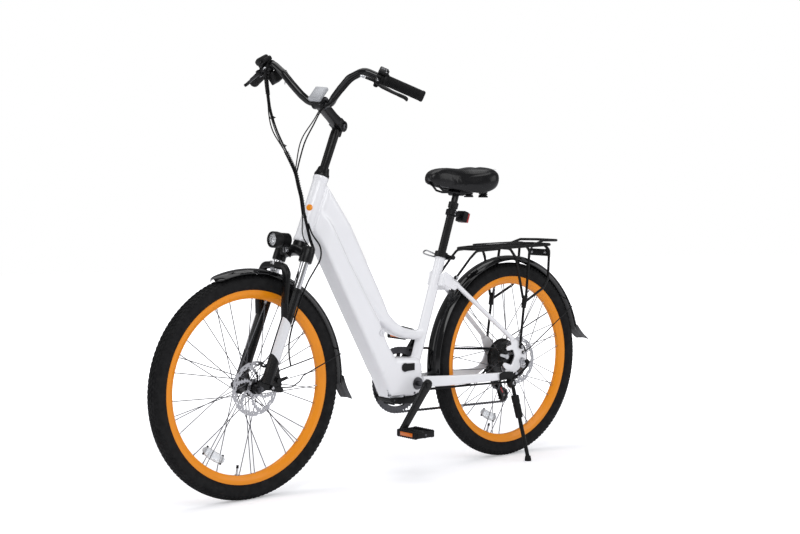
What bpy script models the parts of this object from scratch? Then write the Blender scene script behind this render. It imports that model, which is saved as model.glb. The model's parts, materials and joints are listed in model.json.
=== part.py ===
"""An electric city bicycle with a low frame, 26-inch wheels and a rear hub motor.

It is modelled upright with +X to its left, -Y to its front and +Z up, and it is then leant on
its stand. Sizes are in metres.
"""
import math

import bmesh
import bpy
from mathutils import Matrix, Vector

NAME = "Electric bicycle"

# Overall sizes
WHEELBASE = 1.088
TYRE_R = 0.331
LEAN_DEG = 3.0
GAP = 0.0003

# Steering line: its slope from the ground and how far the axle sits in front of it
HEAD_ANGLE_DEG = 68.5
FORK_RAKE = 0.028

# Bottom bracket, seen from the rear axle and the ground, and the seat tube's slope
CHAINSTAY_RUN = 0.445
BRACKET_Z = 0.2895
SEAT_ANGLE_DEG = 72.0

# Head tube, measured along the steering line from the point beside the front axle
HEAD_LOW = 0.4603
HEAD_TOP = 0.672
HEAD_R = 0.022
HEAD_BORE_R = 0.017
HEADSET_R = 0.0245
HEADSET_HIGH = 0.012
STEERER_R = 0.0143
QUILL_R = 0.0127
QUILL_GAP = 0.0004
QUILL_LOW = 0.55
CONE_HIGH = 0.028
CONE_TOP_R = 0.0165
CONE_R = 0.0235

# Main frame
HOUSING_HALF = 0.037
HOUSING_WALL = 0.0055
HOUSING_ROUND = 0.016
BOOM_HALF = 0.030
BOOM_ROUND = 0.015
HEAD_END_HALF = 0.0235
SEAT_TUBE_R = 0.017
SEAT_TUBE_TOP = 0.432
BRACKET_R = 0.0215
BRACKET_BORE_R = 0.0172
CUP_FLANGE_R = 0.0195
CUP_FLANGE_WIDE = 0.0032
SPINDLE_R = 0.0082

# Seat post and saddle, measured up the seat tube from the bottom bracket
POST_R = 0.0136
POST_GAP = 0.0003
POST_LOW = 0.285
POST_BORE_LOW = 0.155
POST_TOP = 0.600
POST_BORE_R = 0.0115
COLLAR_R = 0.0165
COLLAR_LOW = 0.588
COLLAR_TOP = 0.606
PLUNGER_GAP = 0.0003
PLUNGER_LOW = 0.500
PLUNGER_TOP = 0.645
CLAMP_LOW = 0.418
CLAMP_TOP = 0.436
CLAMP_THICK = 0.0042
SADDLE_Y = 0.318
SADDLE_Z = 0.903
SADDLE_HALF = 0.100

# Front fork, measured along the steering line
LEG_X = 0.064
LEG_FORWARD = 0.011
LEG_R = 0.0175
LEG_LOW = 0.022
LEG_TOP = 0.312
LEG_BORE_LOW = 0.060
STANCHION_R = 0.0127
STANCHION_GAP = 0.0004
STANCHION_LOW = 0.150
CROWN_LOW = 0.395
CROWN_TOP = 0.447

# Wheels
TYRE_HALF = 0.025
TYRE_IN_R = 0.2858
RIM_HALF = 0.0145
RIM_OUT_R = 0.2854
RIM_IN_R = 0.2585
SPOKES = 28
SPOKE_R = 0.0012
AXLE_R = 0.0050
AXLE_GAP = 0.0003
FRONT_HUB_HALF = 0.0527
REAR_DROP_X = 0.0705
REAR_AXLE_HALF = 0.092
REAR_DROP_HALF = 0.003
FRONT_ROTOR_X = 0.0400
FRONT_ROTOR_R = 0.080
REAR_ROTOR_X = 0.0540
REAR_ROTOR_R = 0.080
ROTOR_HALF = 0.0009
ROTOR_BORE_R = 0.0165
WHEEL_STEPS = 32
MOTOR_R = 0.060

# Chain drive
CHAIN_X = -0.058
LINK = 0.0127
TOOTH_TIP = 0.0026
TOOTH_ROOT = 0.0040
RING_TEETH = 52
COG_TEETH = (14, 16, 18, 20, 22, 24, 28)
COG_PITCH = 0.0045
PULLEY_TEETH = 11
PULLEY_PIN_R = 0.0030
CRANK_LENGTH = 0.170
CRANK_DEG = 52.0
CRANK_X = 0.083
CRANK_HALF = 0.007
PEDAL_SPINDLE_R = 0.006
PEDAL_GAP = 0.0005
PEDAL_WIDE = 0.095
PEDAL_LONG = 0.078
PEDAL_HIGH = 0.024
GUIDE_PULLEY = (0.016, -0.088)
TENSION_PULLEY = (0.046, -0.136)

# Handlebar
BAR_R = 0.0115
BAR_GAP = 0.0006
BAR_HALF_WIDTH = 0.317
BAR_RISE = 0.1045
GRIP_LENGTH = 0.115
GRIP_R = 0.016
STEM_PIVOT = 0.842
STEM_PIVOT_BACK = 0.010
STEM_ARM = 0.1247
STEM_ARM_DEG = 31.8
BAR_YAW_DEG = 15.3
STEM_DRUM_R = 0.017
STEM_DRUM_HALF = 0.010
STEM_CHEEK = 0.0085
CONTROL_TILT_DEG = 32.0

# Brakes, headlight, fork arch and saddle fittings
CALIPER_REACH = 0.075
CALIPER_EAR = 0.028
CALIPER_BARREL = 0.0160
FRONT_CALIPER_DEG = 14.0
REAR_CALIPER_DEG = 165.0
DROP_X = 0.0575
DROP_HALF = 0.0045
LAMP_UP = 0.4188
LAMP_FORWARD = 0.0425
ARCH_UP = 0.368
ARCH_FORWARD = 0.066
ARCH_R = 0.008
THROTTLE_DEG = 252.0
SHIFT_DEG = 232.0
KEY_BOX = (0.006, -0.046, -0.0345)
KEY_BOX_SIZE = (0.030, 0.036, 0.030)
SADDLE_UP = 0.642
SADDLE_CLAMP_R = 0.0115
RAIL_X = 0.022
RAIL_R = 0.0035

# Fenders, rack and stand
REAR_FENDER_R = 0.356
FRONT_FENDER_R = 0.348
FENDER_HALF = 0.030
FENDER_THICK = 0.0022
RACK_TUBE_R = 0.005
STAND_PIVOT = (0.094, -0.066, -0.069)
STAND_FOOT_X = 0.160
STAND_FOOT_Y = -0.054
STAND_R = 0.008

UP = Vector((0, 0, 1))
LEFT = Vector((1, 0, 0))
BACK = Vector((0, 1, 0))

REAR_Y = WHEELBASE / 2
FRONT_Y = -WHEELBASE / 2
BRACKET_Y = REAR_Y - CHAINSTAY_RUN

head_turn = math.radians(HEAD_ANGLE_DEG)
HEAD_DIR = Vector((0, math.cos(head_turn), math.sin(head_turn)))
HEAD_FRONT = Vector((0, -math.sin(head_turn), math.cos(head_turn)))
HEAD_FOOT = Vector((0, FRONT_Y, TYRE_R)) - HEAD_FRONT * FORK_RAKE

seat_turn = math.radians(SEAT_ANGLE_DEG)
SEAT_DIR = Vector((0, math.cos(seat_turn), math.sin(seat_turn)))
SEAT_BACK = Vector((0, math.sin(seat_turn), -math.cos(seat_turn)))

CUTTERS = bpy.data.collections.get("Cutters")
PARTS = bpy.data.collections.get(NAME)


# Places

def steer(s, f=0.0, x=0.0):
    """A point s up the steering line, f in front of it and x to the left."""
    return HEAD_FOOT + HEAD_DIR * s + HEAD_FRONT * f + LEFT * x


def seat(s, n=0.0, x=0.0):
    """A point s up the seat tube from the bottom bracket and n behind its middle."""
    return Vector((x, BRACKET_Y, BRACKET_Z)) + SEAT_DIR * s + SEAT_BACK * n


def bb(y, z, x=0.0):
    """A point from the bottom bracket."""
    return Vector((x, BRACKET_Y + y, BRACKET_Z + z))


def rear(y, z, x=0.0):
    """A point from the rear axle."""
    return Vector((x, REAR_Y + y, TYRE_R + z))


def head(y, z, x=0.0):
    """A point from the middle of the head tube."""
    return steer(0.55, 0.0, x) + Vector((0, y, z))


def polar(centre, radius, degrees, x=0.0):
    """A point at an angle up from +Y round a centre given as (y, z)."""
    turn = math.radians(degrees)
    return Vector((x, centre[0] + radius * math.cos(turn), centre[1] + radius * math.sin(turn)))


# Making meshes

def from_bm(bm):
    mesh = bpy.data.meshes.new("shape")
    bmesh.ops.remove_doubles(bm, verts=bm.verts[:], dist=0.000002)
    bmesh.ops.recalc_face_normals(bm, faces=bm.faces[:])
    bm.to_mesh(mesh)
    bm.free()
    return mesh


def evaluated(ob, weld=0.000002):
    """The object's mesh as the viewport shows it, welded, in world space."""
    bpy.context.view_layer.update()
    graph = bpy.context.evaluated_depsgraph_get()
    mesh = bpy.data.meshes.new_from_object(ob.evaluated_get(graph), depsgraph=graph)
    bm = bmesh.new()
    bm.from_mesh(mesh)
    bm.transform(ob.matrix_world)
    bmesh.ops.remove_doubles(bm, verts=bm.verts[:], dist=weld)
    bmesh.ops.dissolve_degenerate(bm, dist=0.0000005, edges=bm.edges[:])
    bmesh.ops.recalc_face_normals(bm, faces=bm.faces[:])
    bm.to_mesh(mesh)
    bm.free()
    return mesh


def worked(data, name="work"):
    ob = bpy.data.objects.new(name, data)
    ob.hide_render = True
    ob.display_type = 'WIRE'
    CUTTERS.objects.link(ob)
    return ob


def taken(ob):
    """The evaluated mesh of a working object, which is then removed."""
    mesh = evaluated(ob)
    bpy.data.objects.remove(ob, do_unlink=True)
    return mesh


def basis(origin, x_dir, y_dir):
    """A frame with its X and Y along two square directions."""
    x_dir = Vector(x_dir).normalized()
    y_dir = Vector(y_dir).normalized()
    z_dir = x_dir.cross(y_dir)
    turn = Matrix((x_dir, y_dir, z_dir)).transposed().to_4x4()
    return Matrix.Translation(origin) @ turn


def along(origin, z_dir):
    """A frame with its Z along a direction."""
    return Matrix.Translation(origin) @ Vector(z_dir).to_track_quat('Z', 'Y').to_matrix().to_4x4()


SIDE = basis((0, 0, 0), BACK, UP)


def moved(mesh, matrix):
    copy = mesh.copy()
    copy.transform(matrix)
    if matrix.determinant() < 0:
        copy.flip_normals()
    return copy


def mirrored(mesh):
    return moved(mesh, Matrix.Scale(-1, 4, LEFT))


def both(mesh):
    return [mesh, mirrored(mesh)]


def joined(meshes):
    bm = bmesh.new()
    for mesh in meshes:
        bm.from_mesh(mesh)
    out = bpy.data.meshes.new("joined")
    bm.to_mesh(out)
    bm.free()
    return out


def boolean(base, others, operation):
    """The union with other closed shapes, or what is left without them."""
    if not others:
        return base
    tool = worked(joined(others))
    ob = worked(base)
    mod = ob.modifiers.new("Boolean", 'BOOLEAN')
    mod.operation = operation
    mod.use_self = True
    mod.object = tool
    mesh = taken(ob)
    bpy.data.objects.remove(tool, do_unlink=True)
    return mesh


def fuse(shapes, cuts=()):
    return boolean(boolean(shapes[0], list(shapes[1:]), 'UNION'), list(cuts), 'DIFFERENCE')


def box(centre, size, frame=None, bevel=0.0, segments=1):
    """A box on its centre, in a frame's own directions if one is given."""
    bm = bmesh.new()
    bmesh.ops.create_cube(bm, size=1.0)
    bmesh.ops.scale(bm, vec=size, verts=bm.verts[:])
    if bevel > 0:
        bmesh.ops.bevel(bm, geom=bm.edges[:], offset=bevel, segments=segments, profile=0.5,
                        affect='EDGES')
    bmesh.ops.translate(bm, vec=centre, verts=bm.verts[:])
    if frame is not None:
        bm.transform(frame)
    return from_bm(bm)


def rod(start, end, radius, sides=8, end_radius=None, turn=0.0):
    """A straight round bar or cone between two points."""
    start = Vector(start)
    end = Vector(end)
    span = end - start
    bm = bmesh.new()
    top = radius if end_radius is None else end_radius
    bmesh.ops.create_cone(bm, cap_ends=True, segments=sides, radius1=radius, radius2=top,
                          depth=span.length)
    bm.transform(along((start + end) / 2, span) @ Matrix.Rotation(math.radians(turn), 4, 'Z'))
    return from_bm(bm)


def clear(radius, sides):
    """The corner radius of a hole whose flat sides stand off by the radius."""
    return radius / math.cos(math.pi / sides)


def turned(profile, frame, steps=16, ring=False):
    """A profile of (radius, height) turned round the frame's Z."""
    mesh = bpy.data.meshes.new("profile")
    count = len(profile)
    edges = [(i, i + 1) for i in range(count - 1)]
    if ring:
        edges.append((count - 1, 0))
    mesh.from_pydata([(r, 0, z) for r, z in profile], edges, [])
    ob = worked(mesh)
    mod = ob.modifiers.new("Screw", 'SCREW')
    mod.axis = 'Z'
    mod.steps = steps
    mod.render_steps = steps
    mod.use_merge_vertices = True
    mod.merge_threshold = 0.00001
    return moved(taken(ob), frame)


def tube(points, radius, sides=8, closed=False):
    """A round tube along a line of points, with filled ends."""
    curve = bpy.data.curves.new("tube", 'CURVE')
    curve.dimensions = '3D'
    spline = curve.splines.new('POLY')
    spline.points.add(len(points) - 1)
    for point, place in zip(spline.points, points):
        point.co = (*place, 1.0)
    spline.use_cyclic_u = closed
    curve.bevel_depth = radius
    curve.bevel_resolution = max(0, sides // 2 - 2)
    curve.use_fill_caps = not closed
    return taken(worked(curve))


def slab(outline, half, frame=SIDE, holes=(), bevel=0.0, segments=2, half_at=None):
    """A flat outline made thick both ways from the frame's XY plane, with rounded rims."""
    curve = bpy.data.curves.new("outline", 'CURVE')
    curve.dimensions = '2D'
    curve.fill_mode = 'BOTH'
    curve.extrude = half
    for loop in (outline, *holes):
        spline = curve.splines.new('POLY')
        spline.points.add(len(loop) - 1)
        for point, place in zip(spline.points, loop):
            point.co = (place[0], place[1], 0.0, 1.0)
        spline.use_cyclic_u = True
    mesh = taken(worked(curve))
    bm = bmesh.new()
    bm.from_mesh(mesh)
    bmesh.ops.dissolve_limit(bm, angle_limit=math.radians(0.5), verts=bm.verts[:],
                             edges=bm.edges[:])
    rims = [e for e in bm.edges if abs(abs(e.verts[0].co.z) - half) < 1e-6
            and abs(e.verts[0].co.z - e.verts[1].co.z) < 1e-6
            and len(e.link_faces) == 2 and e.calc_face_angle(0.0) > 1.0]
    if half_at is not None:
        for vert in bm.verts:
            vert.co.z = math.copysign(half_at(vert.co.x, vert.co.y), vert.co.z)
    if bevel > 0:
        bmesh.ops.bevel(bm, geom=rims, offset=bevel, segments=segments, profile=0.5,
                        affect='EDGES', clamp_overlap=True)
    bm.transform(frame)
    return from_bm(bm)


def yz(points):
    return [(p.y, p.z) for p in points]


def loft(sections, closed=False):
    """A skin through rings of the same count of points, with flat ends."""
    bm = bmesh.new()
    rings = [[bm.verts.new(p) for p in section] for section in sections]
    count = len(rings[0])
    pairs = list(zip(rings, rings[1:]))
    if closed:
        pairs.append((rings[-1], rings[0]))
    for low, high in pairs:
        for i in range(count):
            j = (i + 1) % count
            bm.faces.new((low[i], low[j], high[j], high[i]))
    if not closed:
        bm.faces.new(rings[0][::-1])
        bm.faces.new(rings[-1])
    return from_bm(bm)


def rounded(points, radius, steps=4, closed=False):
    """A line of straight runs with its corners rounded."""
    points = [Vector(p) for p in points]
    count = len(points)
    out = [] if closed else [points[0]]
    inner = range(count) if closed else range(1, count - 1)
    for i in inner:
        here = points[i]
        before = points[i - 1] - here
        after = points[(i + 1) % count] - here
        reach = min(radius, before.length * 0.49, after.length * 0.49)
        first = here + before.normalized() * reach
        last = here + after.normalized() * reach
        for k in range(steps + 1):
            t = k / steps
            out.append(first * (1 - t) ** 2 + here * 2 * t * (1 - t) + last * t ** 2)
    if not closed:
        out.append(points[-1])
    return out


def smooth(points, spacing):
    """Points at even steps along a smooth curve through the given ones."""
    points = [Vector(p) for p in points]
    line = [points[0] * 2 - points[1], *points, points[-1] * 2 - points[-2]]
    fine = []
    for a, b, c, d in zip(line, line[1:], line[2:], line[3:]):
        for k in range(24):
            t = k / 24
            fine.append((b * 2 + (c - a) * t + (a * 2 - b * 5 + c * 4 - d) * t * t
                         + (b * 3 - a - c * 3 + d) * t ** 3) / 2)
    fine.append(points[-1])
    total = sum((b - a).length for a, b in zip(fine, fine[1:]))
    count = max(2, round(total / spacing))
    step = total / count
    out = [fine[0]]
    run = 0.0
    for a, b in zip(fine, fine[1:]):
        length = (b - a).length
        while run + length >= step * len(out) - 1e-9 and len(out) < count:
            out.append(a.lerp(b, (step * len(out) - run) / length))
        run += length
    out.append(fine[-1])
    return out


def between(table, t):
    """A value read from a table of (place, value) pairs."""
    if t <= table[0][0]:
        return table[0][1]
    for (t0, v0), (t1, v1) in zip(table, table[1:]):
        if t <= t1:
            return v0 + (v1 - v0) * (t - t0) / (t1 - t0)
    return table[-1][1]


def bent(mesh, shift):
    """The mesh with each point moved sideways by a value of its place."""
    copy = mesh.copy()
    for vert in copy.vertices:
        vert.co.x += shift(vert.co.y, vert.co.z)
    return copy


# Joint places: each is an empty that the moving pieces hang from

JOINTS = {}
STEM_PLACES = ("stem_turn", "stem_hinge", "left_lever_axis", "right_lever_axis", "throttle_axis",
               "shift_axis", "key_axis")


def stem_yaw():
    """The handlebar's turn to the rider's left, about the steering line."""
    turn = Matrix.Rotation(math.radians(BAR_YAW_DEG), 4, HEAD_DIR)
    return Matrix.Translation(HEAD_FOOT) @ turn @ Matrix.Translation(-HEAD_FOOT)


def joint(name, place, parent="root"):
    empty = bpy.data.objects.new(name, None)
    empty.empty_display_size = 0.03
    PARTS.objects.link(empty)
    place = Vector(place)
    if name in STEM_PLACES:
        place = stem_yaw() @ place
    if parent is not None:
        above, at = JOINTS[parent]
        empty.parent = above
        empty.location = place - at
    else:
        empty.location = place
    JOINTS[name] = (empty, place)


LOOKS = {
    "white paint": ((0.80, 0.80, 0.82), 0.28, 0.0),
    "orange": ((0.82, 0.26, 0.02), 0.35, 0.2),
    "black": ((0.012, 0.012, 0.013), 0.35, 0.0),
    "matt black": ((0.02, 0.02, 0.021), 0.6, 0.0),
    "rubber": ((0.014, 0.014, 0.015), 0.8, 0.0),
    "grey rubber": ((0.09, 0.09, 0.10), 0.75, 0.0),
    "chrome": ((0.78, 0.78, 0.80), 0.12, 1.0),
    "steel": ((0.55, 0.55, 0.57), 0.35, 1.0),
    "dark steel": ((0.10, 0.10, 0.11), 0.4, 0.9),
    "silver": ((0.62, 0.63, 0.65), 0.4, 0.6),
    "leather": ((0.018, 0.018, 0.019), 0.5, 0.0),
    "lens": ((0.75, 0.78, 0.80), 0.1, 0.0),
    "red": ((0.35, 0.01, 0.01), 0.25, 0.0),
}


def node(name, mesh, look, place="root", sharp=35):
    """A finished piece: named, painted and hung from its joint."""
    colour, roughness, metallic = LOOKS[look]
    paint = bpy.data.materials.new(name + " " + look)
    paint.use_nodes = True
    shader = paint.node_tree.nodes["Principled BSDF"]
    shader.inputs["Base Color"].default_value = (*colour, 1.0)
    shader.inputs["Roughness"].default_value = roughness
    shader.inputs["Metallic"].default_value = metallic
    paint.diffuse_color = (*colour, 1.0)
    mesh.materials.clear()
    mesh.materials.append(paint)
    mesh.name = name
    for face in mesh.polygons:
        face.use_smooth = True
    mesh.set_sharp_from_angle(angle=math.radians(sharp))
    ob = bpy.data.objects.new(name, mesh)
    PARTS.objects.link(ob)
    above, at = JOINTS[place]
    if place in STEM_PLACES:
        mesh.transform(stem_yaw())
    mesh.transform(Matrix.Translation(-at))
    ob.parent = above
    return ob


def start():
    global CUTTERS, PARTS
    for ob in list(bpy.data.objects):
        bpy.data.objects.remove(ob, do_unlink=True)
    PARTS = bpy.data.collections.new(NAME)
    CUTTERS = bpy.data.collections.new("Cutters")
    bpy.context.scene.collection.children.link(PARTS)
    bpy.context.scene.collection.children.link(CUTTERS)


# Main frame

def housing_outline():
    """The lower housing from the side: head end, front edge, bottom, bracket, window, top edge."""
    return [
        steer(0.505, -0.0195), head(0.0387, -0.1135), head(0.1254, -0.2655),
        bb(-0.188, 0.1015), bb(-0.129, -0.0015), bb(-0.113, -0.0395), bb(-0.011, -0.0425),
        bb(0.027, -0.030), bb(0.027, 0.058), bb(0.014, 0.0795), bb(-0.086, 0.0885),
        bb(-0.125, 0.1405), bb(-0.154, 0.2055), head(0.2114, -0.2625), head(0.1354, -0.1465),
        head(0.0664, -0.0275), steer(0.585, -0.0195),
    ]


def boom_outline():
    """The upper beam from the side, over the window and down to the seat tube."""
    return [
        steer(0.655, -0.0195), head(0.1444, -0.0315), bb(-0.135, 0.2765), bb(-0.112, 0.2305),
        bb(-0.080, 0.2005), bb(-0.047, 0.1825), bb(0.009, 0.1685), seat(0.176), seat(0.142),
        bb(0.002, 0.1375), bb(-0.035, 0.1435), bb(-0.075, 0.1565), bb(-0.100, 0.1675),
        bb(-0.149, 0.2005), bb(-0.184, 0.2465), bb(-0.234, 0.2705), steer(0.520, -0.0195),
    ]


def cavity_outline():
    """The battery bay inside the housing, open at the bottom."""
    return [
        head(0.0624, -0.1405), bb(-0.182, 0.105), bb(-0.123, 0.001), bb(-0.107, -0.052),
        bb(-0.049, -0.052), bb(-0.049, 0.0105), bb(-0.089, 0.0725), bb(-0.133, 0.1305),
        bb(-0.162, 0.2005), head(0.2034, -0.2665), head(0.1294, -0.150), head(0.0944, -0.0885),
    ]


def housing_half(y, z):
    behind = -(Vector((0, y, z)) - HEAD_FOOT).dot(HEAD_FRONT)
    return between([(0.0195, HEAD_END_HALF), (0.078, HOUSING_HALF)], behind)


def boom_half(y, z):
    behind = -(Vector((0, y, z)) - HEAD_FOOT).dot(HEAD_FRONT)
    ahead = BRACKET_Y + 0.054 - y
    near = between([(0.0195, HEAD_END_HALF), (0.08, BOOM_HALF)], behind)
    return min(near, between([(0.0, 0.0185), (0.11, BOOM_HALF)], ahead))


PORT = (-0.055, 0.0555)
LOCK = (-0.154, 0.172)


def frame_front():
    housing = slab(yz(housing_outline()), HOUSING_HALF, bevel=HOUSING_ROUND, segments=2,
                   half_at=housing_half)
    boom = slab(yz(boom_outline()), BOOM_HALF, bevel=BOOM_ROUND, segments=2, half_at=boom_half)
    tube_head = rod(steer(HEAD_LOW + 0.006), steer(HEAD_TOP - 0.006), HEAD_R, 16)
    cups = [rod(steer(HEAD_LOW), steer(HEAD_LOW + HEADSET_HIGH), HEADSET_R, 16),
            rod(steer(HEAD_TOP - HEADSET_HIGH), steer(HEAD_TOP), HEADSET_R, 16)]
    tube_seat = rod(seat(0.0), seat(SEAT_TUBE_TOP), SEAT_TUBE_R, 16)
    shell = rod(bb(0, 0, -HOUSING_HALF), bb(0, 0, HOUSING_HALF), BRACKET_R, 16)
    cuts = [
        rod(steer(HEAD_LOW - 0.01), steer(HEAD_TOP + 0.01), HEAD_BORE_R, 16),
        rod(seat(POST_BORE_LOW), seat(SEAT_TUBE_TOP + 0.01), POST_R + POST_GAP, 16),
        rod(bb(0, 0, -0.06), bb(0, 0, 0.06), BRACKET_BORE_R, 16),
        slab(yz(cavity_outline()), HOUSING_HALF - HOUSING_WALL),
        rod(bb(*PORT, HOUSING_HALF - 0.012), bb(*PORT, 0.06), 0.0105, 12),
        rod(bb(*LOCK, HOUSING_HALF - HOUSING_WALL - 0.004), bb(*LOCK, 0.06), 0.0083, 12),
    ]
    return fuse([housing, boom, tube_head, *cups, tube_seat, shell], cuts)


def frame_pieces():
    node("front_frame", frame_front(), "white paint")

    half = HOUSING_HALF - HOUSING_WALL - GAP * 2
    pack = [head(0.0704, -0.1485), bb(-0.1805, 0.107), bb(-0.1255, 0.0125), bb(-0.098, 0.025),
            bb(-0.101, 0.0725), bb(-0.139, 0.1290), bb(-0.168, 0.1975), head(0.1974, -0.2685),
            head(0.1244, -0.154), head(0.0924, -0.098)]
    node("battery_pack", slab(yz(pack), half, bevel=0.004, segments=1), "matt black")
    board = [bb(-0.109, -0.0391), bb(-0.052, -0.0410), bb(-0.052, 0.006), bb(-0.086, 0.016),
             bb(-0.117, 0.004)]
    node("motor_controller", slab(yz(board), half - 0.004), "silver")

    node("battery_lock", fuse([
        rod(bb(*LOCK, half + 0.0006), bb(*LOCK, HOUSING_HALF + GAP + 0.001), 0.008, 12),
        rod(bb(*LOCK, HOUSING_HALF + GAP), bb(*LOCK, HOUSING_HALF + 0.0025), 0.0105, 12),
    ], [box(bb(*LOCK, HOUSING_HALF + 0.003), (0.004, 0.0016, 0.010))]), "chrome")

    low = [bb(-0.113, -0.0395 - GAP), bb(-0.011, -0.0425 - GAP), bb(0.016, -0.0345 - GAP * 2),
           bb(0.010, -0.0565), bb(-0.024, -0.0765), bb(-0.089, -0.0675)]
    node("bottom_cover", slab(yz(low), HOUSING_HALF - 0.003, bevel=0.006, segments=2), "matt black")

    hinge = (PORT[0] + 0.039, PORT[1])
    joint("port_hinge", bb(*hinge, HOUSING_HALF + 0.0032))
    flap = [bb(PORT[0] + 0.014 * math.cos(a), PORT[1] + 0.014 * math.sin(a))
            for a in [math.radians(d) for d in range(60, 301, 30)]]
    flap += [bb(hinge[0], PORT[1] - 0.011), bb(hinge[0], PORT[1] + 0.011)]
    cover = slab(yz(flap), 0.0014, moved_frame(HOUSING_HALF + 0.0018))
    plug = rod(bb(*PORT, HOUSING_HALF - 0.006), bb(*PORT, HOUSING_HALF + 0.0018), 0.009, 8)
    node("charge_port_cover", fuse([cover, plug]), "rubber", "port_hinge")

    top = basis(bb(-0.019, 0.1755 + GAP + 0.0015), LEFT, (bb(-0.047, 0.1825) - bb(0.009, 0.1685)))
    node("top_tube_cover", box((0, 0, 0), (0.022, 0.050, 0.003), top, 0.0008), "matt black")

    flange = [
        rod(bb(0, 0, side * (HOUSING_HALF + GAP)),
            bb(0, 0, side * (HOUSING_HALF + GAP + CUP_FLANGE_WIDE)), CUP_FLANGE_R, 16)
        for side in (-1, 1)]
    core = rod(bb(0, 0, -HOUSING_HALF - 0.002), bb(0, 0, HOUSING_HALF + 0.002),
               BRACKET_BORE_R - GAP, 16)
    bore = rod(bb(0, 0, -0.06), bb(0, 0, 0.06), SPINDLE_R + GAP, 16)
    node("bottom_bracket", fuse([core, *flange], [bore]), "dark steel")


def moved_frame(x):
    """The side frame at a distance to the left."""
    return Matrix.Translation((x, 0, 0)) @ SIDE


def stay_x(y, z):
    """How far out the chainstay's middle is, from the rear tyre's clearance to the dropout."""
    return between([(-0.422, 0.0295), (-0.394, 0.0295), (-0.329, 0.0475), (-0.089, REAR_DROP_X),
                    (0.1, REAR_DROP_X)], y - REAR_Y)


def stay_ring(y, low, high):
    """The chainstay's section at a distance from the rear axle, with its corners cut."""
    x, wide, cut = stay_x(REAR_Y + y, 0), 0.0072, 0.003
    return [rear(y, z, x + dx) for dx, z in (
        (-wide, low + cut), (-wide + cut, low), (wide - cut, low), (wide, low + cut),
        (wide, high - cut), (wide - cut, high), (-wide + cut, high), (-wide, high - cut))]


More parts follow.
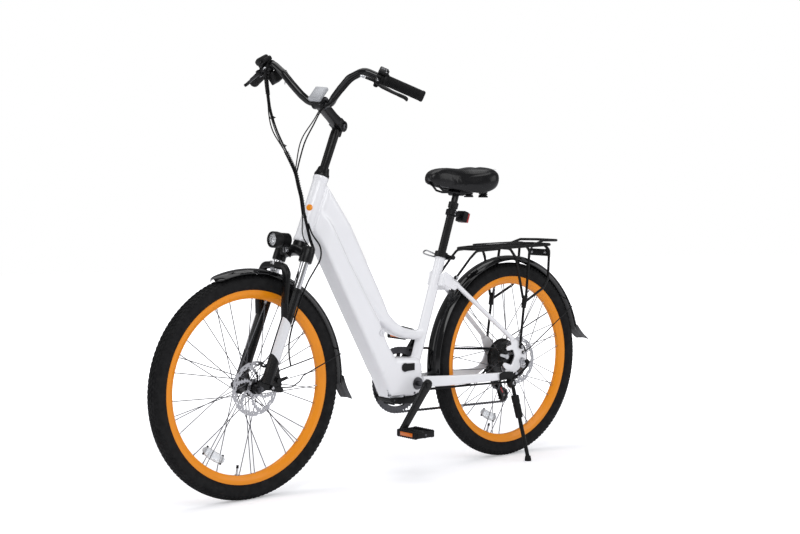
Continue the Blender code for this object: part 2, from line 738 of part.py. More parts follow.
def rear_pieces():
    front_y = BRACKET_Y + 0.027 + GAP - REAR_Y
    chainstay = loft([stay_ring(y, low, high) for y, low, high in (
        (front_y, -0.059, -0.023), (-0.394, -0.059, -0.023), (-0.329, -0.059, -0.025),
        (-0.080, -0.058, -0.033))])
    drop = [
        (-0.039, 0.081), (0.001, 0.061), (0.026, 0.014), (0.022, -0.013), (0.008, -0.019),
        (0.0055, -0.006), (0.0055, 0.0005), (0.004, 0.0045), (0.0, 0.0055), (-0.004, 0.0045),
        (-0.0055, 0.0005), (-0.0055, -0.021), (-0.009, -0.026), (-0.039, -0.041),
        (-0.074, -0.059), (-0.096, -0.057), (-0.096, -0.033), (-0.066, -0.026), (-0.044, -0.006),
        (-0.032, 0.019), (-0.054, 0.074)]
    plate = slab(yz([rear(*p) for p in drop]), REAR_DROP_HALF, moved_frame(REAR_DROP_X))
    upper = tube([rear(-0.290, 0.277, 0.034), rear(-0.272, 0.266, 0.035),
                  rear(-0.040, 0.0745, REAR_DROP_X - 0.001)], 0.0085, 8)
    arm = slab(yz([rear(-0.331, 0.309), rear(-0.322, 0.312), rear(-0.282, 0.289),
                   rear(-0.259, 0.269), rear(-0.282, 0.249), rear(-0.316, 0.262),
                   rear(-0.331, 0.270)]), 0.0038, moved_frame(0.034))
    block = slab(yz([seat(0.345, 0.0), seat(0.367, 0.0), seat(0.364, 0.024), seat(0.340, 0.044),
                     seat(0.318, 0.040), seat(0.326, 0.022), seat(0.325, 0.0)]), 0.034)
    bridge = slab(yz([bb(0.027 + GAP, -0.0175), bb(0.061, -0.0175), bb(0.061, 0.0165),
                      bb(0.027 + GAP, 0.0165)]), 0.0345)
    seat_cut = rod(seat(0.28), seat(0.41), SEAT_TUBE_R + GAP, 16)
    frame = rear_caliper_frame()
    up = 1 if frame.to_3x3().col[1].z > 0 else -1
    tabs = [caliper_lug(frame, up, REAR_DROP_X, REAR_DROP_HALF * 0.98,
                        [rear(-0.020, 0.040), rear(-0.020, 0.062)]),
            caliper_lug(frame, -up, REAR_DROP_X, REAR_DROP_HALF * 0.98,
                        [rear(-0.030, -0.018), rear(-0.060, -0.035)])]
    mesh = fuse([block, bridge, *both(chainstay), *both(plate), *both(upper), *both(arm), *tabs],
                [seat_cut])
    node("rear_triangle", mesh, "white paint")

    nuts = []
    for side in (-1, 1):
        face = REAR_DROP_X + REAR_DROP_HALF + GAP
        nuts.append(rod(rear(0, 0, side * face), rear(0, 0, side * (face + 0.002)), 0.0125, 16))
        nuts.append(rod(rear(0, 0, side * (face + 0.001)), rear(0, 0, side * (face + 0.012)),
                        0.0105, 6))
    shaft = rod(rear(0, 0, -REAR_AXLE_HALF), rear(0, 0, REAR_AXLE_HALF), AXLE_R, 12)
    node("rear_axle", fuse([shaft, *nuts]), "steel")

    inner = SEAT_TUBE_R + GAP
    outer = inner + CLAMP_THICK
    ring = turned([(outer, CLAMP_TOP), (outer, CLAMP_LOW), (inner, CLAMP_LOW), (inner, CLAMP_TOP)],
                  along(seat(0), SEAT_DIR), 16, ring=True)
    mid = (CLAMP_TOP + CLAMP_LOW) / 2
    ears = [box((side * 0.007, 0, 0), (0.008, 0.013, 0.016),
                basis(seat(mid, outer + 0.004), LEFT, SEAT_BACK)) for side in (-1, 1)]
    skewer = rod(seat(mid, outer + 0.005, -0.0117), seat(mid, outer + 0.005, 0.034), 0.0027, 8)
    nut = rod(seat(mid, outer + 0.005, 0.022), seat(mid, outer + 0.005, 0.034), 0.0075, 8)
    node("seat_clamp", fuse([ring, *ears, skewer, nut]), "black")
    cam = seat(mid, outer + 0.005, -0.0185)
    joint("clamp_hinge", cam)
    loop_path = rounded([cam + SEAT_DIR * z + LEFT * x + SEAT_BACK * n for x, n, z in (
        (-0.006, 0.004, 0.0), (-0.020, -0.030, 0.004), (-0.034, -0.052, 0.008),
        (-0.034, -0.060, -0.006), (-0.018, -0.036, -0.008), (-0.006, -0.004, -0.004))], 0.010, 3)
    hub = rod(cam - SEAT_DIR * 0.008, cam + SEAT_DIR * 0.008, 0.0065, 12)
    node("seat_clamp_lever", fuse([hub, tube(loop_path, 0.0026, 6)]), "chrome", "clamp_hinge")


def rim_ring(x, radius, degrees, centre):
    return [polar(centre, radius, d, x) for d in degrees]


def fender_profile(radius):
    """The fender's curved section as (x, radius) pairs, outside then inside."""
    w, t = FENDER_HALF, FENDER_THICK
    return [(-w, radius - 0.013), (-w * 0.55, radius - 0.001), (w * 0.55, radius - 0.001),
            (w, radius - 0.013), (w - t, radius - 0.013), (w * 0.50, radius - 0.001 - t),
            (-w * 0.50, radius - 0.001 - t), (-w + t, radius - 0.013)]


def fender(radius, centre, start_deg, end_deg, steps):
    sections = []
    for k in range(steps + 1):
        d = start_deg + (end_deg - start_deg) * k / steps
        sections.append([polar(centre, r, d, x) for x, r in fender_profile(radius)])
    return loft(sections)


def flap_sheet(start, end, half, flare=0.0, thick=0.0012):
    """A thin sheet across the bicycle from one side point to another."""
    run = (end - start).normalized()
    across = run.cross(LEFT)
    rows = []
    for place, width in ((start, half), (end, half + flare)):
        rows.append([place + across * thick + LEFT * width, place + across * thick - LEFT * width,
                     place - across * thick - LEFT * width, place - across * thick + LEFT * width])
    return loft(rows)


def fender_rear():
    centre = (REAR_Y, TYRE_R)
    shell = fender(REAR_FENDER_R, centre, 187, 13, 15)
    flap = flap_sheet(polar(centre, REAR_FENDER_R - 0.003, 15), rear(0.401, 0.043), 0.027, 0.004)
    bridge_back = bb(0.061, 0).y + GAP
    tab_end = REAR_Y - REAR_FENDER_R + 0.005
    tab = box(Vector((0, (bridge_back + tab_end) / 2, TYRE_R - 0.036)),
              (0.020, tab_end - bridge_back, 0.006))
    wires = []
    for mesh in both(tube(rounded([rear(0.005, 0.029, 0.0755 + 0.0005), rear(0.035, 0.040, 0.0755),
                                   rear(0.303, 0.168, 0.0305)], 0.02, 1), 0.0019, 4)):
        wires.append(mesh)
    eyes = both(rod(rear(0.005, 0.029, 0.0735 + GAP), rear(0.005, 0.029, 0.0785), 0.006, 8))
    bolts = both(rod(rear(0.005, 0.029, 0.0780), rear(0.005, 0.029, 0.0815), 0.0042, 6))
    return fuse([shell, flap, tab, *wires, *eyes, *bolts])


def rack():
    rail = rounded([rear(y, z, x) for x, y, z in (
        (0.060, -0.216, 0.382), (0.060, 0.158, 0.391), (-0.060, 0.158, 0.391),
        (-0.060, -0.216, 0.382))], 0.035, 1, closed=True)
    loop = rounded([rear(y, z, x) for x, y, z in (
        (0.060, 0.060, 0.389), (0.052, 0.120, 0.405), (0.048, 0.221, 0.404),
        (-0.048, 0.221, 0.404), (-0.052, 0.120, 0.405), (-0.060, 0.060, 0.389))], 0.022, 1)
    bars = [rod(rear(y, 0.3885 + (y - 0.1) * 0.021, -0.060), rear(y, 0.3885 + (y - 0.1) * 0.021, 0.060),
                0.0036, 4) for y in (-0.178, -0.030, 0.100)]
    mid = [rod(rear(-0.180, 0.3825, x), rear(0.102, 0.3885, x), 0.0034, 4) for x in (-0.02, 0.02)]
    front = tube([rear(-0.100, 0.384, 0.056), rear(-0.165, 0.378, 0.052), rear(-0.200, 0.353, 0.050),
                  rear(-0.284, 0.292, 0.0430)], 0.004, 6)
    foot = rod(rear(-0.284, 0.292, 0.0378 + GAP), rear(-0.284, 0.292, 0.049), 0.0070, 8)
    strut = tube([rear(-0.100, 0.385, 0.060), rear(-0.058, 0.382, 0.067), rear(-0.036, 0.350, 0.074),
                  rear(-0.003, 0.215, 0.0775)], 0.0045, 6)
    second = tube([rear(0.030, 0.388, 0.060), rear(0.033, 0.372, 0.071), rear(0.012, 0.214, 0.0775)],
                  0.0045, 6)
    hoop = tube([rear(0.120, 0.390, 0.058), rear(0.133, 0.374, 0.070), rear(0.127, 0.276, 0.072),
                 rear(0.104, 0.245, 0.074), rear(0.006, 0.200, 0.0775)], 0.0045, 6)
    sleeve = rod(rear(0.008, 0.222, 0.0775), rear(0.0005, 0.180, 0.0775), 0.0095, 8)
    leg = tube([rear(0.004, 0.200, 0.0775), rear(-0.013, 0.064, 0.0787),
                rear(-0.008, 0.050, 0.0787)], 0.0045, 6)
    eye = rod(rear(-0.008, 0.050, REAR_DROP_X + REAR_DROP_HALF + GAP), rear(-0.008, 0.050, 0.0825),
              0.008, 8)
    bolt = rod(rear(-0.008, 0.050, 0.080), rear(-0.008, 0.050, 0.0865), 0.0048, 6)
    plate = box(rear(0.158, 0.362), (0.088, 0.003, 0.024))
    hangers = [rod(rear(0.158, 0.370, x), rear(0.1585, 0.3915, x), 0.0036, 6) for x in (-0.035, 0.035)]
    shapes = [tube(rail, RACK_TUBE_R, 6, closed=True), tube(loop, 0.0045, 6), *bars, *mid, plate,
              *hangers]
    for shape in (front, foot, strut, second, hoop, sleeve, leg, eye, bolt):
        shapes += both(shape)
    return fuse(shapes)


def hind_extras():
    node("rear_fender", fender_rear(), "black")
    node("rear_rack", rack(), "matt black")

    pivot = rear(STAND_PIVOT[1], STAND_PIVOT[2], STAND_PIVOT[0])
    tilt = math.radians(15)
    axis = Vector((math.cos(tilt), 0, math.sin(tilt)))
    down = Vector((math.sin(tilt), 0, -math.cos(tilt)))
    joint("stand_hinge", pivot)
    side = REAR_DROP_X + 0.0072 + GAP
    pad = slab(yz([rear(-0.110, -0.058), rear(-0.050, -0.050), rear(-0.050, -0.032),
                   rear(-0.090, -0.028), rear(-0.112, -0.034)]), 0.0022,
               moved_frame(side + 0.0022))
    knuckle = rod(pivot - axis * 0.012, pivot - axis * 0.0068, 0.014, 12)
    neck = box(pivot + Vector((-0.0155, 0, 0.011)), (0.008, 0.024, 0.022))
    stub = rod(pivot - axis * 0.010, pivot + axis * 0.0095, 0.0040, 8)
    keep = slab(yz([rear(-0.13, -0.02), rear(-0.02, -0.02), rear(-0.02, -0.075),
                    rear(-0.13, -0.075)]), 0.02, moved_frame(side - 0.02))
    node("kickstand_mount", fuse([pad, knuckle, neck, stub], [keep]), "black")

    foot = Vector((STAND_FOOT_X, REAR_Y + STAND_FOOT_Y, 0.0))
    lean = math.radians(LEAN_DEG)
    foot.z = foot.x * math.tan(lean)
    level = Vector((-math.sin(lean), 0, math.cos(lean)))
    hub = rod(pivot - axis * 0.0065, pivot + axis * 0.0065, 0.0135, 12)
    bore = rod(pivot - axis * 0.02, pivot + axis * 0.02, clear(0.0040 + GAP, 8), 8)
    knee = pivot + down * 0.028 + axis * 0.001
    end = foot + level * 0.012
    run = (end - knee).normalized()
    length = (end - knee).length
    root = rod(pivot + down * 0.006, pivot + down * 0.020, 0.0060, 8)
    leg = rod(pivot + down * 0.0150, knee + run * 0.02, 0.0085, 8)
    shin = rod(knee, end, STAND_R, 8)
    sleeve = rod(knee + run * 0.030, knee + run * (length * 0.48), 0.0112, 8)
    pad_foot = rod(foot, foot + level * 0.020, 0.0155, 10, end_radius=0.0115)
    node("kickstand_leg", fuse([root, leg, hub, shin, sleeve, pad_foot], [bore]), "black", "stand_hinge")


# Chain drive

def pitch_radius(teeth):
    return LINK / (2 * math.sin(math.pi / teeth))


def gear_outline(teeth, turn=0.0):
    """A toothed wheel's outline: one point at each root and one at each tip."""
    pitch = pitch_radius(teeth)
    out = []
    for k in range(teeth * 2):
        radius = pitch + TOOTH_TIP if k % 2 else pitch - TOOTH_ROOT
        a = math.pi * k / teeth + turn
        out.append((radius * math.cos(a), radius * math.sin(a)))
    return out


def circle(radius, count, turn=0.0):
    return [(radius * math.cos(2 * math.pi * k / count + turn),
             radius * math.sin(2 * math.pi * k / count + turn)) for k in range(count)]


def gear_frame(centre, x):
    return Matrix.Translation((x, centre[0], centre[1])) @ SIDE


def wrap(first, second, same_side=1):
    """The touching points of a straight chain run between two circles (y, z, r, side)."""
    y0, z0, r0, s0 = first
    y1, z1, r1, s1 = second
    span = math.hypot(y1 - y0, z1 - z0)
    face = math.atan2(z1 - z0, y1 - y0)
    turn = math.acos(max(-1.0, min(1.0, (s0 * r0 - s1 * r1) / span)))
    a = face + turn
    p = (y0 + s0 * r0 * math.cos(a), z0 + s0 * r0 * math.sin(a))
    q = (y1 + s1 * r1 * math.cos(a), z1 + s1 * r1 * math.sin(a))
    return p, q


def pulley_place(offset):
    return (REAR_Y + offset[0], TYRE_R + offset[1])


def chain_line():
    """The chain's middle line round the ring, the small cog and the two pulleys."""
    ring = (BRACKET_Y, BRACKET_Z, pitch_radius(RING_TEETH), 1)
    cog = (REAR_Y, TYRE_R, pitch_radius(COG_TEETH[0]), 1)
    guide = (*pulley_place(GUIDE_PULLEY), pitch_radius(PULLEY_TEETH), -1)
    tension = (*pulley_place(TENSION_PULLEY), pitch_radius(PULLEY_TEETH), 1)
    wheels = [ring, cog, guide, tension]
    counts = [16, 8, 5, 7]
    runs = [wrap(wheels[i], wheels[(i + 1) % 4]) for i in range(4)]
    out = []
    for i, wheel in enumerate(wheels):
        into = runs[i - 1][1]
        off = runs[i][0]
        a0 = math.atan2(into[1] - wheel[1], into[0] - wheel[0])
        a1 = math.atan2(off[1] - wheel[1], off[0] - wheel[0])
        sweep = (a1 - a0) * -wheel[3]
        sweep = (sweep % (2 * math.pi)) * -wheel[3]
        for k in range(counts[i] + 1):
            a = a0 + sweep * k / counts[i]
            out.append((wheel[0] + wheel[2] * math.cos(a), wheel[1] + wheel[2] * math.sin(a)))
    return out


def chain_mesh():
    """The chain as a closed band with a channel on its inner side for the teeth."""
    line = chain_line()
    count = len(line)
    half, high, wall = 0.0032, 0.0046, 0.0012
    sections = []
    for i in range(count):
        here = Vector((0, *line[i]))
        ahead = Vector((0, *line[(i + 1) % count])) - here
        behind = here - Vector((0, *line[i - 1]))
        run = (ahead.normalized() + behind.normalized()).normalized()
        out = LEFT.cross(run)
        sections.append([here + LEFT * (CHAIN_X + x) + out * n for x, n in (
            (-half, high), (half, high), (half, -high), (half - wall, -high),
            (half - wall, high - 0.0012), (-half + wall, high - 0.0012), (-half + wall, -high),
            (-half, -high))])
    return loft(sections, closed=True)


def drive_pieces():
    node("chain", chain_mesh(), "dark steel")

    guide = pulley_place(GUIDE_PULLEY)
    tension = pulley_place(TENSION_PULLEY)
    for name, centre in (("guide_pulley", guide), ("tension_pulley", tension)):
        joint(name + "_axis", (CHAIN_X, *centre))
        radius = pitch_radius(PULLEY_TEETH) - 0.0062
        wheel = turned([(radius, 0.0009), (radius, -0.0009), (0.009, -0.0009), (0.009, -0.0035),
                        (PULLEY_PIN_R + GAP, -0.0035), (PULLEY_PIN_R + GAP, 0.0035), (0.009, 0.0035),
                        (0.009, 0.0009)], along((CHAIN_X, *centre), LEFT), 14, ring=True)
        node(name, wheel, "matt black", name + "_axis")

    hanger = Vector((0, REAR_Y + 0.010, TYRE_R - 0.034))
    cage = []
    for x in (CHAIN_X - 0.0062, CHAIN_X + 0.0062):
        outline = [guide[0] - 0.012, guide[1] + 0.006], [guide[0] + 0.004, guide[1] + 0.013], \
                  [guide[0] + 0.013, guide[1] + 0.002], [tension[0] + 0.012, tension[1] - 0.002], \
                  [tension[0] + 0.004, tension[1] - 0.013], [tension[0] - 0.012, tension[1] - 0.006]
        cage.append(slab(outline, 0.0009, moved_frame(x)))
    pins = [rod((CHAIN_X - 0.0085, *c), (CHAIN_X + 0.0085, *c), PULLEY_PIN_R, 8)
            for c in (guide, tension)]
    drop_face = -REAR_DROP_X - REAR_DROP_HALF - GAP
    bolt = rod((drop_face, hanger.y, hanger.z + 0.0), (drop_face - 0.010, hanger.y, hanger.z), 0.009, 8)
    hang = slab([(REAR_Y + 0.016, TYRE_R - 0.006), (REAR_Y + 0.0225, TYRE_R - 0.010),
                 (REAR_Y + 0.020, TYRE_R - 0.040), (REAR_Y + 0.004, TYRE_R - 0.044),
                 (REAR_Y + 0.0015, TYRE_R - 0.032), (REAR_Y + 0.0085, TYRE_R - 0.022)], 0.0022,
                moved_frame(drop_face - 0.0022))
    knuckle = box((drop_face - 0.0060, hanger.y - 0.006, hanger.z - 0.010), (0.012, 0.030, 0.026),
                  bevel=0.003)
    link = loft([[Vector((drop_face - 0.012 + dx, hanger.y + dy, hanger.z - 0.012 + dz)) for dx, dy, dz in
                  ((0, -0.020, 0.008), (0, 0.004, 0.008), (0, 0.004, -0.012), (0, -0.020, -0.012))],
                 [Vector((drop_face - 0.0005 + 0.006 + dx, guide[0] - 0.004 + dy, guide[1] + dz)) for dx, dy, dz in
                  ((-0.002, -0.016, 0.016), (-0.002, 0.008, 0.016), (0.0035, 0.008, -0.004),
                   (0.0035, -0.016, -0.004))]])
    node("rear_derailleur", fuse([*cage, *pins, bolt, hang, knuckle, link]), "black")

    joint("freewheel_axis", rear(0, 0, CHAIN_X + COG_PITCH * 3))
    profile = [(AXLE_R + 0.0006, CHAIN_X - 0.0025), (0.0175, CHAIN_X - 0.0025)]
    for i, teeth in enumerate(COG_TEETH):
        x = CHAIN_X + COG_PITCH * i
        outer = pitch_radius(teeth) + 0.0006
        if i > 0:
            profile += [(0.0190, x - 0.0009), (outer, x - 0.0009), (outer, x + 0.0009),
                        (0.0190, x + 0.0009)]
    profile += [(AXLE_R + 0.0006, CHAIN_X + COG_PITCH * 6 + 0.0009)]
    body = turned(profile, along(rear(0, 0), LEFT), 10, ring=True)
    small = slab(gear_outline(COG_TEETH[0]), 0.0009, gear_frame((REAR_Y, TYRE_R), CHAIN_X),
                 holes=[circle(0.012, 8)])
    node("freewheel", fuse([body, small]), "dark steel", "freewheel_axis")


def crank_pieces():
    joint("crank_axis", bb(0, 0))
    turn = math.radians(CRANK_DEG)
    right_dir = Vector((0, math.cos(turn), math.sin(turn)))
    inner = CRANK_X - CRANK_HALF
    shapes = [rod(bb(0, 0, -inner - 0.002), bb(0, 0, inner + 0.002), SPINDLE_R, 12)]
    for side, out in ((-1, right_dir), (1, -right_dir)):
        frame = basis(bb(0, 0, side * CRANK_X), out, LEFT.cross(out) if side > 0 else LEFT.cross(out))
        length = CRANK_LENGTH
        outline = [(-0.015, -0.010), (0.0, -0.019), (0.03, -0.0135), (length + 0.008, -0.0125),
                   (length + 0.015, 0.0), (length + 0.008, 0.0125), (0.03, 0.0135), (0.0, 0.019),
                   (-0.015, 0.010)]
        shapes.append(slab(outline, CRANK_HALF, frame, bevel=0.003, segments=1))
        shapes.append(rod(bb(0, 0, side * (CRANK_X + 0.004)), bb(0, 0, side * (CRANK_X + 0.010)),
                          0.0115, 12))
        tip = bb(0, 0, side * CRANK_X) + out * length
        shapes.append(rod(tip, tip + LEFT * side * (PEDAL_WIDE + 0.014), PEDAL_SPINDLE_R, 8))
    ring = slab(gear_outline(RING_TEETH), 0.0011, gear_frame((BRACKET_Y, BRACKET_Z), CHAIN_X),
                holes=[circle(0.084, 20)])
    shapes.append(ring)
    for k in range(5):
        a = turn + math.radians(36 + 72 * k)
        arm_dir = Vector((0, math.cos(a), math.sin(a)))
        wide = LEFT.cross(arm_dir)
        shapes.append(loft([
            [bb(0, 0, -inner - 0.002) + wide * 0.012, bb(0, 0, -inner - 0.002) - wide * 0.012,
             bb(0, 0, -inner + 0.006) - wide * 0.012, bb(0, 0, -inner + 0.006) + wide * 0.012],
            [bb(0, 0, CHAIN_X - 0.0035) + arm_dir * 0.089 + wide * 0.006,
             bb(0, 0, CHAIN_X - 0.0035) + arm_dir * 0.089 - wide * 0.006,
             bb(0, 0, CHAIN_X + 0.0006) + arm_dir * 0.089 - wide * 0.006,
             bb(0, 0, CHAIN_X + 0.0006) + arm_dir * 0.089 + wide * 0.006]]))
    shapes.append(rod(bb(0, 0, -inner - 0.003), bb(0, 0, -inner + 0.012), 0.020, 12))
    node("crankset", fuse(shapes), "black", "crank_axis")

    for name, side, out in (("left_pedal", 1, -right_dir), ("right_pedal", -1, right_dir)):
        tip = bb(0, 0, side * CRANK_X) + out * CRANK_LENGTH
        joint(name + "_axis", tip + LEFT * side * 0.02, "crank_axis")
        mid = tip + LEFT * side * (CRANK_HALF + 0.006 + PEDAL_WIDE / 2)
        block = box(mid, (PEDAL_WIDE, PEDAL_LONG, PEDAL_HIGH), bevel=0.004)
        bore = rod(mid - LEFT * 0.06, mid + LEFT * 0.06, clear(PEDAL_SPINDLE_R + PEDAL_GAP, 8), 8)
        slots = [box(mid + Vector((x, y, 0)), (PEDAL_WIDE * 0.30, PEDAL_LONG * 0.20, 0.05))
                 for x in (-PEDAL_WIDE * 0.22, PEDAL_WIDE * 0.22)
                 for y in (-PEDAL_LONG * 0.25, PEDAL_LONG * 0.25)]
        node(name, fuse([block], [bore, *slots]), "matt black", name + "_axis")


# Wheels

def rim_mesh(centre):
    profile = [(RIM_OUT_R, RIM_HALF), (RIM_OUT_R, -RIM_HALF), (RIM_OUT_R - 0.014, -RIM_HALF),
               (RIM_IN_R, -0.007), (RIM_IN_R, 0.007), (RIM_OUT_R - 0.014, RIM_HALF)]
    return turned(profile, along((0, *centre), LEFT), WHEEL_STEPS, ring=True)


def tyre_mesh(centre):
    half = TYRE_HALF
    profile = [(TYRE_R, 0.0), (TYRE_R - 0.006, -half * 0.62), (TYRE_R - 0.020, -half),
               (TYRE_IN_R, -RIM_HALF + 0.001), (TYRE_IN_R, RIM_HALF - 0.001),
               (TYRE_R - 0.020, half), (TYRE_R - 0.006, half * 0.62)]
    return turned(profile, along((0, *centre), LEFT), WHEEL_STEPS, ring=True)


def spokes(centre, flanges, cross_deg):
    """Spokes from two flanges given as (x, radius): every second one leans the other way."""
    out = []
    per_side = SPOKES // 2
    for side, (x, radius) in enumerate(flanges):
        for k in range(per_side):
            base = 360 / per_side * (k + side / 2)
            way = 1 if k % 2 else -1
            start = polar(centre, radius, base, x + way * 0.0010)
            end = polar(centre, RIM_IN_R + 0.003, base + way * cross_deg, x * 0.06 + way * 0.0018)
            out.append(rod(start, end, SPOKE_R, 3))
    return out


def rotor(centre, x, radius, name, place, hub_r):
    """A brake disc: an outer track, a middle ring and five slanting arms."""
    frame = gear_frame(centre, x)
    track = slab(circle(radius, 24), ROTOR_HALF, frame, holes=[circle(radius - 0.014, 12)])
    middle = slab(circle(hub_r, 10), ROTOR_HALF, frame, holes=[circle(ROTOR_BORE_R, 10)])
    arms = []
    for k in range(5):
        a = math.radians(72 * k)
        b = a + math.radians(22)
        start = Vector((math.cos(a), math.sin(a))) * (hub_r - 0.003)
        end = Vector((math.cos(b), math.sin(b))) * (radius - 0.011)
        run = (end - start).normalized()
        off = Vector((-run.y, run.x)) * 0.0045
        arms.append(slab([start - off, end - off, end + off, start + off], ROTOR_HALF * 0.98,
                         frame))
    node(name, fuse([track, middle, *arms]), "steel", place)


def wheel_pieces():
    front = (FRONT_Y, TYRE_R)
    back = (REAR_Y, TYRE_R)
    joint("front_wheel_axis", steer(0.0, FORK_RAKE), "fork_slide")
    joint("rear_wheel_axis", rear(0, 0))
    hub = turned([(0.022, FRONT_ROTOR_X - ROTOR_HALF - GAP), (0.022, 0.031), (0.026, 0.030), (0.026, 0.0265), (0.016, 0.024),
                  (0.014, 0.0), (0.016, -0.032), (0.024, -0.034), (0.024, -0.0375), (0.014, -0.040),
                  (0.010, -FRONT_HUB_HALF), (AXLE_R + AXLE_GAP, -FRONT_HUB_HALF),
                  (AXLE_R + AXLE_GAP, FRONT_HUB_HALF), (0.010, FRONT_HUB_HALF),
                  (0.014, FRONT_ROTOR_X + 0.001), (0.014, FRONT_ROTOR_X - ROTOR_HALF - GAP)],
                 along((0, *front), LEFT), 12, ring=True)
    node("front_wheel", fuse([rim_mesh(front), hub,
                              *spokes(front, ((0.0283, 0.023), (-0.0357, 0.021)), 58)]),
         "orange", "front_wheel_axis")
    node("front_tyre", tyre_mesh(front), "rubber", "front_wheel_axis")
    rotor(front, FRONT_ROTOR_X, FRONT_ROTOR_R, "front_rotor", "front_wheel_axis", 0.024)

    seat_face = REAR_ROTOR_X - ROTOR_HALF - GAP
    motor = turned([(0.022, seat_face), (0.036, 0.0500), (0.050, 0.0400), (0.068, 0.0365),
                    (0.068, 0.0335), (MOTOR_R, 0.0325), (MOTOR_R, -0.0190), (0.068, -0.0200),
                    (0.068, -0.0230), (0.040, -0.0262), (0.020, -0.0275),
                    (AXLE_R + AXLE_GAP, -0.0280), (AXLE_R + AXLE_GAP, seat_face)],
                   along((0, *back), LEFT), 16, ring=True)
    node("rear_wheel", fuse([rim_mesh(back), motor,
                             *spokes(back, ((0.0350, 0.065), (-0.0215, 0.065)), 28)]),
         "orange", "rear_wheel_axis")
    node("rear_tyre", tyre_mesh(back), "rubber", "rear_wheel_axis")
    rotor(back, REAR_ROTOR_X, REAR_ROTOR_R, "rear_rotor", "rear_wheel_axis", 0.026)


# Brakes

def caliper_frame(centre, x, radius_deg):
    """Its Y runs along the caliper and its Z towards the axle."""
    turn = math.radians(radius_deg - 90)
    along_dir = Vector((0, math.cos(turn), math.sin(turn)))
    inward = LEFT.cross(along_dir)
    place = polar(centre, CALIPER_REACH, radius_deg, x)
    if inward.dot(polar(centre, 0, 0) - polar(centre, 1, radius_deg)) < 0:
        along_dir = -along_dir
    return basis(place, LEFT, along_dir)


def caliper_lug(frame, way, x, half, root):
    """A flat tab from the frame or fork to one ear of a caliper."""
    ear = frame @ Vector((0, way * CALIPER_EAR, 0))
    end = [(ear.y + 0.0085 * math.cos(a), ear.z + 0.0085 * math.sin(a))
           for a in [math.radians(60 * k) for k in range(6)]]
    points = [Vector((*p, 0)) for p in end + yz(root)]
    return slab(hull(points), half, moved_frame(x))


def hull(points):
    """The outline round a few side points."""
    points = sorted({(round(p.x, 7), round(p.y, 7)) for p in points})
    lower, upper = [], []
    for chain, order in ((lower, points), (upper, points[::-1])):
        for p in order:
            while len(chain) > 1 and ((chain[-1][0] - chain[-2][0]) * (p[1] - chain[-2][1])
                                      - (chain[-1][1] - chain[-2][1]) * (p[0] - chain[-2][0])) <= 0:
                chain.pop()
            chain.append(p)
    return lower[:-1] + upper[:-1]


def caliper(frame, face, name, place, arm_name, rotor_place):
    """A cable-pulled disc caliper round the rotor; its ears end at the tabs' inner face."""
    body = box((0.0005, 0, -0.001), (0.025, 0.044, 0.026), frame, 0.004)
    barrel = rod(frame @ Vector((0.008, 0, 0)), frame @ Vector((CALIPER_BARREL, 0, 0)), 0.0120, 12)
    ears = [box(((face + 0.004) / 2, way * CALIPER_EAR * 0.92, 0.0), (face - 0.004, 0.018, 0.015),
                frame) for way in (-1, 1)]
    slot = box((0, 0, 0.013), (0.0050, 0.09, 0.040), frame)
    node(name, fuse([body, barrel, *ears], [slot]), "black", place)
    pivot = frame @ Vector((CALIPER_BARREL + GAP, 0, 0))
    joint(arm_name + "_axis", pivot, rotor_place)
    out = frame.to_3x3() @ Vector((0, 0, -1))
    side = LEFT.cross(out)
    hub = rod(pivot, pivot + LEFT * 0.0050, 0.0085, 8)
    arm = slab([(-0.006, -0.006), (0.030, -0.0042), (0.033, 0.0), (0.030, 0.0042), (-0.006, 0.006)],
               0.0014, basis(pivot + LEFT * 0.0025, out, side))
    node(arm_name, fuse([hub, arm]), "silver", arm_name + "_axis")


def front_caliper_frame():
    return caliper_frame((FRONT_Y, TYRE_R), FRONT_ROTOR_X, FRONT_CALIPER_DEG)


def rear_caliper_frame():
    return caliper_frame((REAR_Y, TYRE_R), REAR_ROTOR_X, REAR_CALIPER_DEG)


# Fork and steering

def along_steer(x=0.0, f=0.0):
    """A frame across the bicycle: X to the left, Y up the steering line, Z forward."""
    return basis(steer(0, f, x), LEFT, HEAD_DIR)


def leg_frame(x):
    """A frame in the fork leg's own plane: X forward, Y up the steering line."""
    return basis(steer(0, 0, x), HEAD_FRONT, HEAD_DIR)


